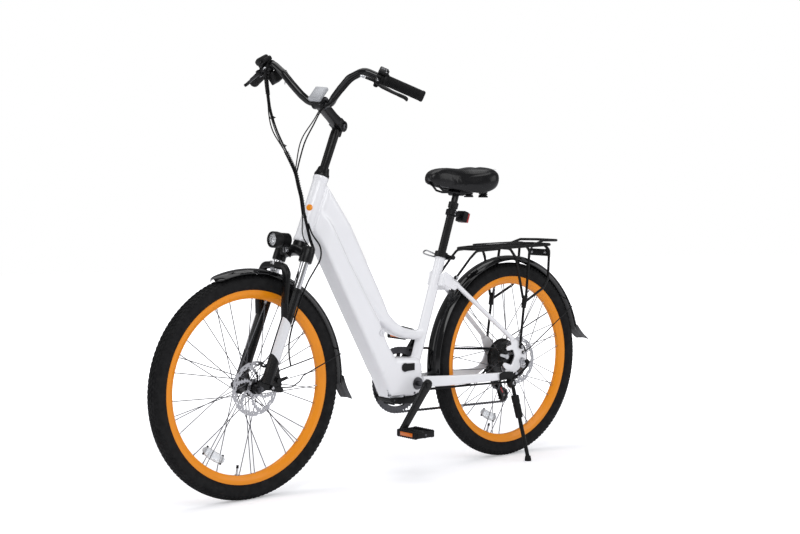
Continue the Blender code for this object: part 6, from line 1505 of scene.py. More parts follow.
def controls():
    for name, side in SIDES:
        bm = bmesh.new()
        perch_shapes(bm)
        if side > 0:
            block(bm, (-0.002, -0.0175, 0.0235), (0.028, 0.027, 0.012), CONTROL, 0.004, 3)
        else:
            for centre, size, bevel, segments in (
                    ((0.004, -0.027, 0.0305), (0.038, 0.038, 0.019), 0.007, 3),
                    ((0.002, -0.0184, 0.0215), (0.03, 0.031, 0.024), 0.006, 3),
                    ((0.006, -0.046, -0.0355), (0.03, 0.04, 0.034), 0.0032, 3),
                    ((0.003, -0.048, 0.0215), (0.03, 0.034, 0.015), 0.005, 3),
                    ((0.0065, -0.036, -0.0115), (0.012, 0.0145, 0.027), 0.0012, 2)):
                block(bm, centre, size, CONTROL, bevel, segments)
            rod(bm, on_bar(0.016, -0.0345, 0.03), on_bar(0.026, -0.052, 0.02), 0.0046, 14, 0.0036, 0.0006)
            ring_on_bar(bm, -0.062, -0.036, 0.0155)
            for y in (-0.056, -0.05, -0.044, -0.038):
                block(bm, (0.0212, y, -0.0345), (0.001, 0.0024, 0.022), CONTROL, 0.0003)
        bar_piece(name + "_control_body", bm, "plastic", [name + "_perch"], side)
        bolts = bmesh.new()
        perch_bolts(bolts)
        bar_piece(name + "_control_bolts", bolts, "zinc", side=side)
        lever_blade(name, side)
    bm = bmesh.new()
    for y in (-0.024, -0.0175, -0.011):
        block(bm, (-0.004, y, 0.0298), (0.009, 0.0042, 0.0016), CONTROL, 0.0005)
    bar_piece("left_buttons", bm, "grey")
    bm = bmesh.new()
    block(bm, (0.01, -0.027, 0.0402), (0.018, 0.015, 0.001), CONTROL, 0.0003)
    bar_piece("gear_window", bm, "screen", side=-1)


def keys():
    """The key in its switch, with a ring and a second key hanging from it."""
    ring_r = 0.0095
    down = -UP
    side = Vector((0, 1, 0))
    centre = on_bar(-0.0365, -0.046, -0.0345) + down * ring_r
    bm = bmesh.new()
    turns = [math.tau * k / 24 for k in range(24)]
    tube(bm, [centre + (side * math.sin(a) - down * math.cos(a)) * ring_r for a in turns], 0.0007, 6,
         closed=True)
    at = basis(centre + down * ring_r, side, down)
    turns = [math.tau * k / 14 for k in range(14)]
    plate(bm, [(0.00504 * math.cos(a), 0.0048 + 0.0052 * math.sin(a)) for a in turns], 0.0014, at, 0.0003)
    plate(bm, [(-0.002, 0.009), (0.002, 0.009), (0.002, 0.018), (0.001, 0.0192), (0.0014, 0.021),
               (0.0004, 0.0232), (-0.0014, 0.024), (-0.002, 0.022)], 0.0012, at, 0.0002)
    bar_piece("key_ring_and_spare", bm, "chrome", (), -1, "key")


def display_unit():
    normal = Vector((0, -0.72, 0.694)).normalized()
    length = LEFT.cross(normal)
    at = basis(CLAMP + normal * 0.0268 - length * 0.01, LEFT, length)
    case = bmesh.new()
    block(case, (0, 0, 0), (0.046, 0.056, 0.013), at, 0.0055, 5)
    block(case, (0, 0.001, -0.0064), (0.034, 0.042, 0.0016), at, 0.0007)
    bar_piece("display_case", case, "silver plastic", ["display"])
    glass = bmesh.new()
    block(glass, (0, 0.003, 0.0062), (0.036, 0.041, 0.001), at, 0.0004)
    bar_piece("display_glass", glass, "lcd")
    buttons = bmesh.new()
    for x in (-0.011, 0.0, 0.011):
        block(buttons, (x, -0.0222, 0.0064), (0.0076, 0.004, 0.001), at, 0.0004)
    bar_piece("display_keys", buttons, "grey")
    strap = bmesh.new()
    for x in (-0.0155, 0.0155):
        washer(strap, along(CLAMP + LEFT * x, LEFT), 0.012, 0.02, 0.003, 28)
    bar_piece("display_straps", strap, "plastic")


def stem():
    ahead = Vector((0, -math.cos(arm_turn), math.sin(arm_turn)))
    at = basis(STEM_PIVOT, LEFT, ahead)
    cheek_in, cheek_out = 0.0103, 0.0188
    bm = bmesh.new()
    rings = []
    for y, half, high in ((0.015, cheek_out, 0.015), (0.024, cheek_out, 0.015), (0.05, 0.0172, 0.0142),
                          (0.085, 0.0176, 0.0145), (STEM_ARM - 0.012, 0.0186, 0.015)):
        wide = at.to_3x3() @ Vector((half, 0, 0))
        tall = at.to_3x3() @ Vector((0, 0, high))
        rings.append(oval(at @ Vector((0, y, 0)), wide, tall, 20, 0.45, 0.45))
    loft(bm, rings)
    for side in (-1, 1):
        pin(bm, STEM_PIVOT, side * cheek_in, side * cheek_out, 0.017, 40, 0.0014)
        block(bm, (side * (cheek_in + cheek_out) / 2, 0.013, 0), (cheek_out - cheek_in, 0.026, 0.029), at,
              0.001)
    collar(bm, along(CLAMP, LEFT), 0.0117, 0.0195, -0.0205, 0.0205, 40, 0.001)
    bar_piece("stem_casting", bm, "satin black", ["stem_arm"])
    bolts = bmesh.new()
    for side in (-1, 1):
        dome_bolt(bolts, STEM_PIVOT + LEFT * side * cheek_out, LEFT * side, 0.007, 0.004)
        for z in (-0.0125, 0.0125):
            spot = at @ Vector((side * 0.0135, STEM_ARM + 0.014, z))
            dome_bolt(bolts, spot, ahead, 0.003, 0.003)
    bar_piece("stem_bolts", bolts, "dark steel")
    rims = bmesh.new()
    for x in (-0.0206, 0.0206):
        washer(rims, along(CLAMP + LEFT * x, LEFT), 0.0117, 0.017, 0.0004, 32)
    bar_piece("stem_clamp_rings", rims, "dark steel")
    stem_quill()


def stem_quill():
    """The post in the head tube, with the hinge's tongue and the nut below it."""
    post = bmesh.new()
    turned(post, [(0, 0.552), (0.0127, 0.552), (0.0127, 0.7015), (0.0131, 0.7035), (0.0136, 0.76),
                  (0.014, 0.8), (0.0136, 0.818), (0.011, 0.826), (0, 0.828)],
           along(HEAD_FOOT, HEAD_DIR), 40)
    pin(post, STEM_PIVOT, -0.01, 0.01, 0.017, 40, 0.0008)
    block(post, (0, -0.0175, 0), (0.0198, 0.031, 0.0245), basis(STEM_PIVOT, LEFT, HEAD_DIR), 0.004, 3)
    turned(post, [(0.0125, 0.6727), (0.0228, 0.6727), (0.0235, 0.6735), (0.0233, 0.679), (0.0205, 0.685),
                  (0.0185, 0.693), (0.0168, 0.7), (0.0125, 0.7003)], along(HEAD_FOOT, HEAD_DIR), 40,
           ring=True)
    bar_piece("stem_quill", post, "satin black", ["stem_post"], body="stem_base")


# Lamps

def headlight():
    """A round lamp with a finned back, a bright bowl, a lens and a hinged bracket."""
    hinge = BIKE.inverted() @ joint_place("headlight_tilt")
    lamp_at = hinge + Vector((0, 0.011, 0.0295))
    aim = Vector((0, -1, 0.07)).normalized()
    at = along(lamp_at, aim)
    rows = [(0.0, 0.0), (0.01, 0.0), (0.0165, 0.0014), (0.0172, 0.004)]
    z = 0.005
    while z < 0.03:
        rows += [(0.0215, z), (0.0218, z + 0.0018), (0.0196, z + 0.0026), (0.0198, z + 0.0044)]
        z += 0.0056
    rows += [(0.0222, 0.0345), (0.0232, 0.04), (0.0244, 0.047), (0.0245, 0.06), (0.024, 0.0632),
             (0.0226, 0.0645), (0.0212, 0.064), (0.0206, 0.061), (0.0204, 0.056)]
    spun("headlight_shell", rows, at, 48, "plastic", "lamp", ["headlight"])
    spun("headlight_bowl", [(0.0204, 0.0575), (0.018, 0.05), (0.014, 0.044), (0.009, 0.0405),
                            (0.004, 0.0395), (0, 0.0395)], at, 40, "silver skin", "lamp")
    spun("headlight_emitter", [(0.0044, 0.0396), (0.0044, 0.042), (0.0036, 0.0448), (0.0018, 0.0464),
                               (0, 0.0468)], at, 24, "amber chip", "lamp")
    spun("headlight_lens", [(0, 0.0634), (0.01, 0.0628), (0.017, 0.0608), (0.0204, 0.0585),
                            (0.0204, 0.057), (0.017, 0.0592), (0.01, 0.0612), (0, 0.0618)], at, 40,
         "lens", "lamp")
    fork = bmesh.new()
    for side in (-1, 1):
        cheek = hinge + LEFT * side * 0.0048
        loft(fork, [[cheek + Vector((x, y, z)) for x, y in (
            (-0.0012, -0.006), (0.0012, -0.006), (0.0012, 0.006), (-0.0012, 0.006))]
            for z in (-0.005, 0.006, 0.017)])
    pin(fork, hinge, -0.0095, 0.0095, 0.004, 16, 0.0005)
    piece("headlight_bracket", fork, "zinc", "lamp")


def rear_light():
    at = basis(seat(REAR_LIGHT_UP), LEFT, SEAT_BACK)
    bm = bmesh.new()
    collar(bm, along(seat(REAR_LIGHT_UP), SEAT_DIR), 0.014, 0.019, -0.009, 0.009, 40, 0.001)
    block(bm, (0, 0.0305, 0.001), (0.012, 0.032, 0.012), at, 0.0016)
    block(bm, (0, 0.0505, 0.003), (0.038, 0.0215, 0.036), at, 0.0038, 3)
    piece("rear_light_body", bm, "plastic", "post", ["rear_light"])
    lens = bmesh.new()
    block(lens, (0, 0.0645, 0.003), (0.035, 0.0095, 0.033), at, 0.003, 3)
    for x in (-0.011, -0.0055, 0, 0.0055, 0.011):
        block(lens, (x, 0.0692, 0.003), (0.0022, 0.0006, 0.026), at, 0.0002)
    piece("rear_light_lens", lens, "red", "post")
    bolts = bmesh.new()
    for z in (-0.0045, 0.0045):
        dome_bolt(bolts, seat(REAR_LIGHT_UP + z) + LEFT * 0.0188, LEFT, 0.0024, 0.0016)
    piece("rear_light_screws", bolts, "zinc", "post")


# Carrier

def carrier_deck():
    bm = bmesh.new()
    rail = rounded([rear(y, z, x) for x, y, z in (
        (0.06, -0.13, 0.384), (0.06, 0.158, 0.391), (-0.06, 0.158, 0.391), (-0.06, -0.13, 0.384),
        (-0.04, -0.204, 0.382), (0.04, -0.204, 0.382))], 0.025, 5, closed=True)
    loop = rounded([rear(y, z, x) for x, y, z in (
        (0.06, 0.06, 0.389), (0.054, 0.12, 0.406), (0.046, 0.206, 0.404),
        (-0.046, 0.206, 0.404), (-0.054, 0.12, 0.406), (-0.06, 0.06, 0.389))], 0.022, 6)
    tube(bm, rail, 0.005, 12, closed=True)
    tube(bm, loop, 0.0045, 12)
    for y, half in ((-0.178, 0.046), (-0.03, 0.06), (0.1, 0.06)):
        z = 0.3885 + (y - 0.1) * 0.021
        tube(bm, [rear(y, z, -half), rear(y, z, half)], 0.0036, 10)
    for x in (-0.02, 0.02):
        tube(bm, [rear(-0.18, 0.3825, x), rear(0.102, 0.3885, x)], 0.0034, 10)
    piece("carrier_deck", bm, "powder black", "frame", ["rear_rack"])


def carrier_struts():
    legs = bmesh.new()
    for corner, steps, wire, line in (
            (0.03, 6, 0.004, ((-0.1, 0.381, 0.052), (-0.196, 0.376, 0.046), (-0.226, 0.35, 0.044),
                              (-0.284, 0.292, 0.043))),
            (0.02, 4, STRUT_R, ((-0.1, 0.385, 0.06), (-0.058, 0.382, 0.067), (-0.036, 0.35, 0.074),
                                (-0.003, 0.215, 0.0775))),
            (0.016, 4, STRUT_R, ((0.03, 0.388, 0.06), (0.033, 0.372, 0.071), (0.012, 0.214, 0.0775))),
            (0.02, 4, STRUT_R, ((0.12, 0.39, 0.058), (0.133, 0.374, 0.07), (0.127, 0.276, 0.072),
                                (0.104, 0.245, 0.074), (0.006, 0.2, 0.0775))),
            (0.01, 4, STRUT_R, ((0.004, 0.2, 0.0775), (-0.013, 0.064, 0.0787), (-0.008, 0.05, 0.0787)))):
        bent(legs, [rear(*p) for p in line], corner, wire, steps=steps)
    rod(legs, rear(0.008, 0.222, 0.0775), rear(0.0005, 0.18, 0.0775), 0.0095, 24, 0.008, 0.0012)
    pin(legs, rear(-0.284, 0.292), 0.0381, 0.047, 0.007, 20, 0.0008)
    pin(legs, rear(-0.008, 0.05), 0.0738, 0.0822, 0.008, 24, 0.0008)
    both_sides(legs)
    piece("carrier_struts", legs, "powder black", "frame")


def carrier_fittings():
    """The reflector's plate, the bolts and the sprung clip on the deck."""
    plates = bmesh.new()
    block(plates, rear(0.158, 0.362), (0.088, 0.003, 0.024), bevel=0.001)
    for x in (-0.035, 0.035):
        tube(plates, [rear(0.158, 0.37, x), rear(0.1585, 0.3915, x)], 0.0036, 10)
    piece("carrier_plate", plates, "powder black", "frame")
    bolts = bmesh.new()
    for x in (-0.03, 0.03):
        dome_bolt(bolts, rear(0.1597, 0.362, x), Vector((0, 1, 0)), 0.0046, 0.0026)
        dome_bolt(bolts, rear(0.1563, 0.362, x), Vector((0, -1, 0)), 0.005, 0.003)
    bolt_pair(bolts, rear(-0.008, 0.05, 0.0822), 0.0052, 0.0036)
    bolt_pair(bolts, rear(-0.284, 0.292, 0.047), 0.0048, 0.0028)
    piece("carrier_bolts", bolts, "zinc", "frame")
    clip = bmesh.new()
    spring = coil(rear(0.1, 0.3915, 0.015), Vector((0, 1, 0)), UP, 0.0062, LEFT * 0.01, 5, 12)
    for line in (spring, mirrored(spring)):
        tube(clip, line, 0.001, 6)
    half = [rear(0.1, 0.3977, 0.025), rear(0.06, 0.3985, 0.029), rear(-0.12, 0.395, 0.029),
            rear(-0.15, 0.3945, 0.02)]
    arm = rounded(half + mirrored(half[::-1]), 0.012)
    tube(clip, arm, 0.0021, 8)
    piece("carrier_spring_clip", clip, "satin black", "frame")


def carrier():
    carrier_deck()
    carrier_struts()
    carrier_fittings()


# Drive

def pitch_radius(teeth):
    return LINK / (2 * math.sin(math.pi / teeth))


def wrap(first, second):
    """The straight run between two wheels: where it leaves one and meets the other."""
    y0, z0, r0, s0 = first
    y1, z1, r1, s1 = second
    span = math.hypot(y1 - y0, z1 - z0)
    a = math.atan2(z1 - z0, y1 - y0) + math.acos(max(-1.0, min(1.0, (s0 * r0 - s1 * r1) / span)))
    return ((y0 + s0 * r0 * math.cos(a), z0 + s0 * r0 * math.sin(a)),
            (y1 + s1 * r1 * math.cos(a), z1 + s1 * r1 * math.sin(a)))


def pulley_place(offset):
    return (REAR_Y + offset[0], TYRE_R + offset[1])


def chain_line():
    ring = (BRACKET_Y, BRACKET_Z, pitch_radius(RING_TEETH), 1)
    cog = (REAR_Y, TYRE_R, pitch_radius(COG_TEETH[0]), 1)
    guide = (*pulley_place(GUIDE_PULLEY), pitch_radius(PULLEY_TEETH), -1)
    tension = (*pulley_place(TENSION_PULLEY), pitch_radius(PULLEY_TEETH), 1)
    round_them = [ring, cog, guide, tension]
    runs = [wrap(round_them[i], round_them[(i + 1) % 4]) for i in range(4)]
    out = []
    for i, wheel in enumerate(round_them):
        into, off = runs[i - 1][1], runs[i][0]
        a0 = math.atan2(into[1] - wheel[1], into[0] - wheel[0])
        a1 = math.atan2(off[1] - wheel[1], off[0] - wheel[0])
        sweep = ((a1 - a0) * -wheel[3] % math.tau) * -wheel[3]
        count = max(6, int(abs(sweep) * wheel[2] / 0.002))
        for k in range(count + 1):
            a = a0 + sweep * k / count
            out.append(Vector((0, wheel[0] + wheel[2] * math.cos(a), wheel[1] + wheel[2] * math.sin(a))))
    return out


def pins_along(line, count):
    """Evenly spaced places on a closed line."""
    ends = line + [line[0]]
    total = length_of(ends)
    out, gone = [], 0.0
    for p, q in zip(ends, ends[1:]):
        run = (q - p).length
        while len(out) < count and run > 0 and gone + run >= total * len(out) / count:
            out.append(p.lerp(q, (total * len(out) / count - gone) / run))
        gone += run
    return out


def chain():
    line = chain_line()
    count = int(length_of(line + [line[0]]) / LINK / 2 + 0.5) * 2
    pins = pins_along(line, count)
    plates = bmesh.new()
    rollers = bmesh.new()
    for i, here in enumerate(pins):
        ahead = pins[(i + 1) % count]
        middle = (here + ahead) / 2
        at = basis(middle, ahead - here, LEFT.cross(ahead - here))
        half = (ahead - here).length / 2
        upper = [(-half - 0.004, 0), (-half - 0.002, 0.0038), (-half + 0.002, 0.0038), (0, 0.0026),
                 (half - 0.002, 0.0038), (half + 0.002, 0.0038)]
        outline = upper + [(-x, -y) for x, y in upper]
        apart = 0.0029 if i % 2 else 0.002
        for side in (-1, 1):
            beside_pin = LEFT * CHAIN_X + at.to_3x3().col[2] * side * apart
            plate(plates, outline, 0.0008, Matrix.Translation(beside_pin) @ at)
        for half_wide, radius, sides in ((0.0017, 0.0036, 8), (0.0034, 0.0016, 6)):
            pin(rollers, here, CHAIN_X - half_wide, CHAIN_X + half_wide, radius, sides)
    piece("chain_plates", plates, "dark steel", "frame", ["chain"])
    piece("chain_rollers", rollers, "dark steel", "frame")


def sprocket(bm, teeth, centre, x, thick, hole):
    """A toothed ring as one flat annulus, thickened."""
    pitch = pitch_radius(teeth)
    outer, inner = [], []
    for k in range(teeth * 4):
        radius = pitch + (-0.003, -0.0012, 0.0034, -0.0012)[k % 4]
        degrees = 360 * k / (teeth * 4)
        outer.append(polar(centre, radius, degrees, x - thick / 2))
        inner.append(polar(centre, hole, degrees, x - thick / 2))
    before = set(bm.faces)
    loft(bm, [outer, inner], caps=False)
    new = [f for f in bm.faces if f not in before]
    made = bmesh.ops.extrude_face_region(bm, geom=new)
    top = [v for v in made["geom"] if isinstance(v, bmesh.types.BMVert)]
    bmesh.ops.translate(bm, verts=top, vec=LEFT * thick)


def sprockets():
    bm = bmesh.new()
    for i, teeth in enumerate(COG_TEETH):
        sprocket(bm, teeth, REAR_AXLE, CHAIN_X + COG_PITCH * i, COG_THICK, 0.0172)
    turned(bm, [(0.0095, CHAIN_X - 0.003), (0.0165, CHAIN_X - 0.003), (0.0175, CHAIN_X - 0.002),
                (0.0175, CHAIN_X + COG_PITCH * 6 + 0.0009), (0.0095, CHAIN_X + COG_PITCH * 6 + 0.0009)],
           along(rear(0, 0), LEFT), 36, ring=True)
    piece("freewheel_cogs", bm, "dark steel", "sprockets", ["freewheel"])
    for name, offset, body in (("guide", GUIDE_PULLEY, "guide_wheel"),
                               ("tension", TENSION_PULLEY, "tension_wheel")):
        bm = bmesh.new()
        centre = pulley_place(offset)
        sprocket(bm, PULLEY_TEETH, centre, CHAIN_X, COG_THICK, 0.0088)
        collar(bm, along((CHAIN_X, *centre), LEFT), 0.0036, 0.0092, -0.0034, 0.0034, 24, 0.0006)
        piece(name + "_toothed_wheel", bm, "plastic", body, [name + "_pulley"])


def crank_arm(bm, side, out):
    """One arm: a flattened forging that narrows to the pedal, with a boss at the axle."""
    wide = LEFT.cross(out)
    centre = bb(0, 0, side * CRANK_X)
    loft(bm, [oval(centre + out * run, wide * half, LEFT * thick, 20, 0.7, 0.6) for run, half, thick in (
        (-0.016, 0.008, 0.0058), (-0.0135, 0.0125, 0.0068), (-0.006, 0.0165, 0.007),
        (0.004, 0.018, 0.007), (0.016, 0.0168, 0.007), (0.036, 0.0152, 0.0068),
        (0.09, 0.0142, 0.0066), (0.14, 0.0132, 0.0066), (0.158, 0.0125, 0.0066),
        (0.172, 0.0128, 0.0068), (0.18, 0.0108, 0.0062), (0.1845, 0.0058, 0.005))])
    pin(bm, centre, side * 0.003, side * 0.0095, 0.0118, 32, 0.0012)


def spider_arm(bm, out):
    """One of the five short arms that carry the chain ring."""
    wide = LEFT.cross(out)
    section = ((-1, -0.5), (-0.7, -1), (0.7, -1), (1, -0.5), (1, 0.5), (0.7, 1), (-0.7, 1), (-1, 0.5))
    loft(bm, [[bb(0, 0, x) + out * run + wide * half * u + LEFT * thick * v for u, v in section]
              for run, half, x, thick in (
                  (0.01, 0.012, -0.0745, 0.005), (0.03, 0.0095, -0.07, 0.0046),
                  (0.06, 0.0072, -0.064, 0.0036), (0.083, 0.0075, -0.0602, 0.0026),
                  (0.092, 0.0062, -0.0598, 0.002))])


def crankset():
    right_dir = ray(CRANK_DEG)
    spider = [CRANK_DEG + 36 + 72 * k for k in range(5)]
    arms = bmesh.new()
    crank_arm(arms, -1, right_dir)
    crank_arm(arms, 1, -right_dir)
    for degrees in spider:
        spider_arm(arms, ray(degrees))
    turned(arms, [(0, -0.079), (0.02, -0.079), (0.0215, -0.0775), (0.0215, -0.066), (0.016, -0.0625),
                  (0, -0.0625)], along(bb(0, 0), LEFT), 36)
    piece("crank_arms", arms, "satin black", "crank", ["crankset"])
    ring = bmesh.new()
    sprocket(ring, RING_TEETH, BRACKET, CHAIN_X, 0.0022, 0.088)
    piece("chain_ring", ring, "dark steel", "crank")
    spun("chain_ring_guard", [(0.086, CHAIN_X - 0.004), (0.101, CHAIN_X - 0.004),
                              (0.1018, CHAIN_X - 0.0034), (0.101, CHAIN_X - 0.0026),
                              (0.086, CHAIN_X - 0.0026)], along(bb(0, 0), LEFT), 120, "satin black",
         "crank", ring=True)
    bolts = bmesh.new()
    for degrees in spider:
        dome_bolt(bolts, polar(BRACKET, 0.088, degrees, CHAIN_X - 0.004), -LEFT, 0.0044, 0.0022)
    bolt_pair(bolts, bb(0, 0, CRANK_X + 0.0066), 0.0072, 0.0026)
    piece("crank_bolts", bolts, "zinc", "crank")
    axle = bmesh.new()
    for side, out in ((-1, right_dir), (1, -right_dir)):
        tip = bb(0, 0, side * CRANK_X) + out * CRANK_LENGTH
        pin(axle, tip, side * 0.004, side * 0.108, 0.0044, 20, end_radius=0.0038)
        pin(axle, tip, side * 0.0068, side * 0.01, 0.0078, 6, 0.0006)
    pin(axle, bb(0, 0), -0.078, 0.078, 0.008, 24)
    piece("pedal_axles", axle, "dark steel", "crank")
    for name, side, out in (("left", 1, -right_dir), ("right", -1, right_dir)):
        pedal(name, bb(0, 0, side * CRANK_X) + out * CRANK_LENGTH, side)


def pedal(name, tip, side):
    """A resin cage round a hub, with ridged edges and amber reflectors front and back."""
    mid = tip + LEFT * side * PEDAL_REACH
    body = "pedal_" + name
    bm = bmesh.new()
    for y in (-0.0345, 0.0345):
        block(bm, mid + Vector((0, y, 0)), (0.09, 0.0085, 0.0215), bevel=0.0022)
        for k in range(9):
            block(bm, mid + Vector((-0.038 + 0.0095 * k, y, 0)), (0.0046, 0.009, 0.0238), bevel=0.0008,
                  segments=1)
    for x in (-0.0435, 0.0435):
        block(bm, mid + Vector((x, 0, 0)), (0.0075, 0.07, 0.019), bevel=0.0022)
    for x in (-0.015, 0.015):
        block(bm, mid + Vector((x, 0, 0)), (0.005, 0.066, 0.015), bevel=0.0012)
    at = along(mid, LEFT)
    collar(bm, at, 0.0062, 0.0108, -0.0465, 0.0465, 24, 0.001, 0.0025)
    piece(name + "_pedal_cage", bm, "plastic", body, [name + "_pedal"])
    glow = bmesh.new()
    for y in (-0.0385, 0.0385):
        block(glow, mid + Vector((0, y, 0)), (0.056, 0.0016, 0.012), bevel=0.0005)
    piece(name + "_pedal_reflectors", glow, "amber", body)


def derailleur_extras():
    tension = pulley_place(TENSION_PULLEY)
    guide = pulley_place(GUIDE_PULLEY)
    red = bmesh.new()
    mid = Vector((0, (guide[0] + tension[0]) / 2, (guide[1] + tension[1]) / 2))
    run = Vector((0, tension[0] - guide[0], tension[1] - guide[1])).normalized()
    for x in (CHAIN_X + 0.0072, CHAIN_X - 0.0072):
        block(red, (0, 0, 0), (0.006, 0.022, 0.0006),
              basis(mid + LEFT * x + run * 0.006, run.cross(LEFT), run), 0.0002)
    piece("derailleur_inlay", red, "red", "frame")
    bolts = bmesh.new()
    for c in (guide, tension):
        for side in (-1, 1):
            dome_bolt(bolts, (CHAIN_X + side * 0.0072, *c), LEFT * side, 0.0038, 0.0016)
    dome_bolt(bolts, rear(0.01, -0.034, -REAR_DROP_X - 0.0133), -LEFT, 0.0072, 0.0024)
    piece("derailleur_bolts", bolts, "zinc", "frame")


# Stand

def stand():
    pivot = rear(-0.066, -0.069, 0.094)
    tilt = math.radians(STAND_TILT_DEG)
    axis = Vector((math.cos(tilt), 0, math.sin(tilt)))
    down = Vector((math.sin(tilt), 0, -math.cos(tilt)))
    foot = Vector((0.16, REAR_Y - 0.054, 0.0))
    lean = math.radians(LEAN_DEG)
    foot.z = foot.x * math.tan(lean)
    level = Vector((-math.sin(lean), 0, math.cos(lean)))
    knee = pivot + down * 0.028 + axis * 0.001
    end = foot + level * 0.012
    run = (end - knee).normalized()
    length = (end - knee).length
    bm = bmesh.new()
    collar(bm, along(pivot, axis), 0.0044, 0.0135, -0.0064, 0.0064, 36, 0.0013, 0.0014)
    bent(bm, [pivot + down * 0.0085, knee, end], 0.012, 0.0066, 16)
    piece("stand_leg", bm, "powder black", "kickstand", ["kickstand_leg"])
    high = length * 0.4 - 0.012
    spun("stand_sleeve", [(0.0067, 0), (0.0122, 0), (0.0136, 0.002), (0.0132, high * 0.3),
                          (0.012, high * 0.34), (0.012, high * 0.38), (0.013, high * 0.42),
                          (0.0122, high * 0.94), (0.0104, high), (0.0067, high)],
         along(knee + run * 0.012, run), 28, "plastic", "kickstand", ring=True)
    spun("stand_shoe", [(0, 0.0), (0.01, 0.0), (0.0112, 0.0014), (0.011, 0.006), (0.0102, 0.012),
                        (0.009, 0.017), (0.008, 0.018), (0, 0.018)], along(foot, level), 28, "plastic",
         "kickstand")
    bolt = bmesh.new()
    dome_bolt(bolt, pivot + axis * 0.0066, axis, 0.0062, 0.0034)
    piece("stand_bolt", bolt, "zinc", "kickstand")


# Trim on the frame and fork

def crown():
    """Two round sockets joined by an arched bridge under the head tube, with polished tubes below."""
    at = basis(HEAD_FOOT, HEAD_FRONT, HEAD_DIR)
    bm = bmesh.new()
    rings = []
    half = [(0.064, 0.418, 0.011, 0.015, 0.016), (0.05, 0.4205, 0.011, 0.0155, 0.015),
            (0.034, 0.427, 0.01, 0.015, 0.0165), (0.016, 0.432, 0.009, 0.015, 0.02),
            (0, 0.433, 0.008, 0.015, 0.0212)]
    for x, up, ahead, high, deep in [(-x, *row) for x, *row in half] + half[-2::-1]:
        rings.append(oval(steer(up, ahead, x), HEAD_FRONT * deep, HEAD_DIR * high, 20, 0.7, 0.7))
    loft(bm, rings)
    for side in (-1, 1):
        leg = along(steer(0, LEG_FORWARD, LEG_X * side), HEAD_DIR)
        turned(bm, [(0.013, 0.3952), (0.0185, 0.3952), (0.02, 0.397), (0.0205, 0.412),
                    (0.02, 0.434), (0.018, 0.4395), (0.013, 0.441), (0, 0.4412)], leg, 40)
    turned(bm, [(0.015, 0.437), (0.0215, 0.438), (0.0215, 0.456), (0.0205, 0.46), (0.015, 0.46)],
           along(HEAD_FOOT, HEAD_DIR), 40, ring=True)
    plate(bm, [(0.02, 0.4288), (0.02, 0.4048), (0.0445, 0.4128), (0.049, 0.416), (0.05, 0.42),
               (0.0475, 0.4238), (0.0445, 0.4248)], 0.006, at, 0.001)
    piece("fork_crown", bm, "satin black", "steering", ["upper_fork"])
    tubes = bmesh.new()
    for side in (-1, 1):
        rod(tubes, steer(0.152, LEG_FORWARD, LEG_X * side), steer(0.4, LEG_FORWARD, LEG_X * side),
            STANCHION_R, 40)
    piece("fork_stanchions", tubes, "chrome", "steering")


def fork_arch():
    """The brace over the wheel that ties the two fork legs together."""
    arch = bmesh.new()
    half = rounded([steer(0.205, 0.012, 0.063), steer(0.262, 0.036, 0.064), steer(0.345, 0.06, 0.064),
                    steer(0.362, 0.066, 0.048), steer(0.365, 0.068, 0.0)], 0.02, 6)
    line = half + mirrored(half[-2::-1])
    rings = []
    for k, spot in enumerate(line):
        run = (line[min(k + 1, len(line) - 1)] - line[max(k - 1, 0)]).normalized()
        out = run.cross(HEAD_FRONT).normalized()
        ahead = out.cross(run).normalized()
        wide = 0.013 - 0.0025 * math.sin(math.pi * k / (len(line) - 1))
        rings.append(oval(spot, out * wide, ahead * 0.0082, 16, 0.6, 0.6))
    loft(arch, rings)
    piece("fork_arch", arch, "satin black", "lowers")


def leg_band(name, side):
    """The white sheet laid round the outside of a fork leg, with slanting ends."""
    at = steer(0, LEG_FORWARD, LEG_X * side)
    rings = []
    for k in range(21):
        turn = math.radians(-105 + 9.5 * k)
        out = (LEFT * side * math.cos(turn) + HEAD_FRONT * math.sin(turn)).normalized()
        low, high = 0.096 + 0.0135 * math.sin(turn), 0.21 + 0.0115 * math.sin(turn)
        rings.append([at + HEAD_DIR * up + out * r for up, r in (
            (low, LEG_R - 0.0006), (high, LEG_R - 0.0006), (high, LEG_R + 0.00025),
            (low, LEG_R + 0.00025))])
    band = bmesh.new()
    loft(band, rings)
    piece(name + "_leg_band", band, "band", "lowers", sharp=60)


def fork_trim():
    fork_arch()
    for name, side in SIDES:
        leg_band(name, side)
        at = steer(0, LEG_FORWARD, LEG_X * side)
        spun(name + "_leg_seal", [
            (STANCHION_R + 0.0004, 0.302), (LEG_R + 0.0013, 0.302), (LEG_R + 0.0015, 0.304),
            (LEG_R + 0.0013, 0.309), (LEG_R - 0.001, 0.313), (STANCHION_R + 0.0012, 0.3146),
            (STANCHION_R + 0.0004, 0.3146)], along(at, HEAD_DIR), 40, "cover", "lowers", ring=True)
        spun(name + "_crown_cap", [
            (0, 0.4455), (0.0085, 0.4455), (0.0105, 0.444), (0.0112, 0.441), (0.0112, 0.438),
            (0, 0.438)], along(at, HEAD_DIR), 32, "plastic", "steering")


def outline_at(points, part):
    """The place a given part of the way along a line of points."""
    left = length_of(points) * part
    for a, b in zip(points, points[1:]):
        span = (b - a).length
        if left <= span or b is points[-1]:
            return a.lerp(b, min(1.0, left / span))
        left -= span


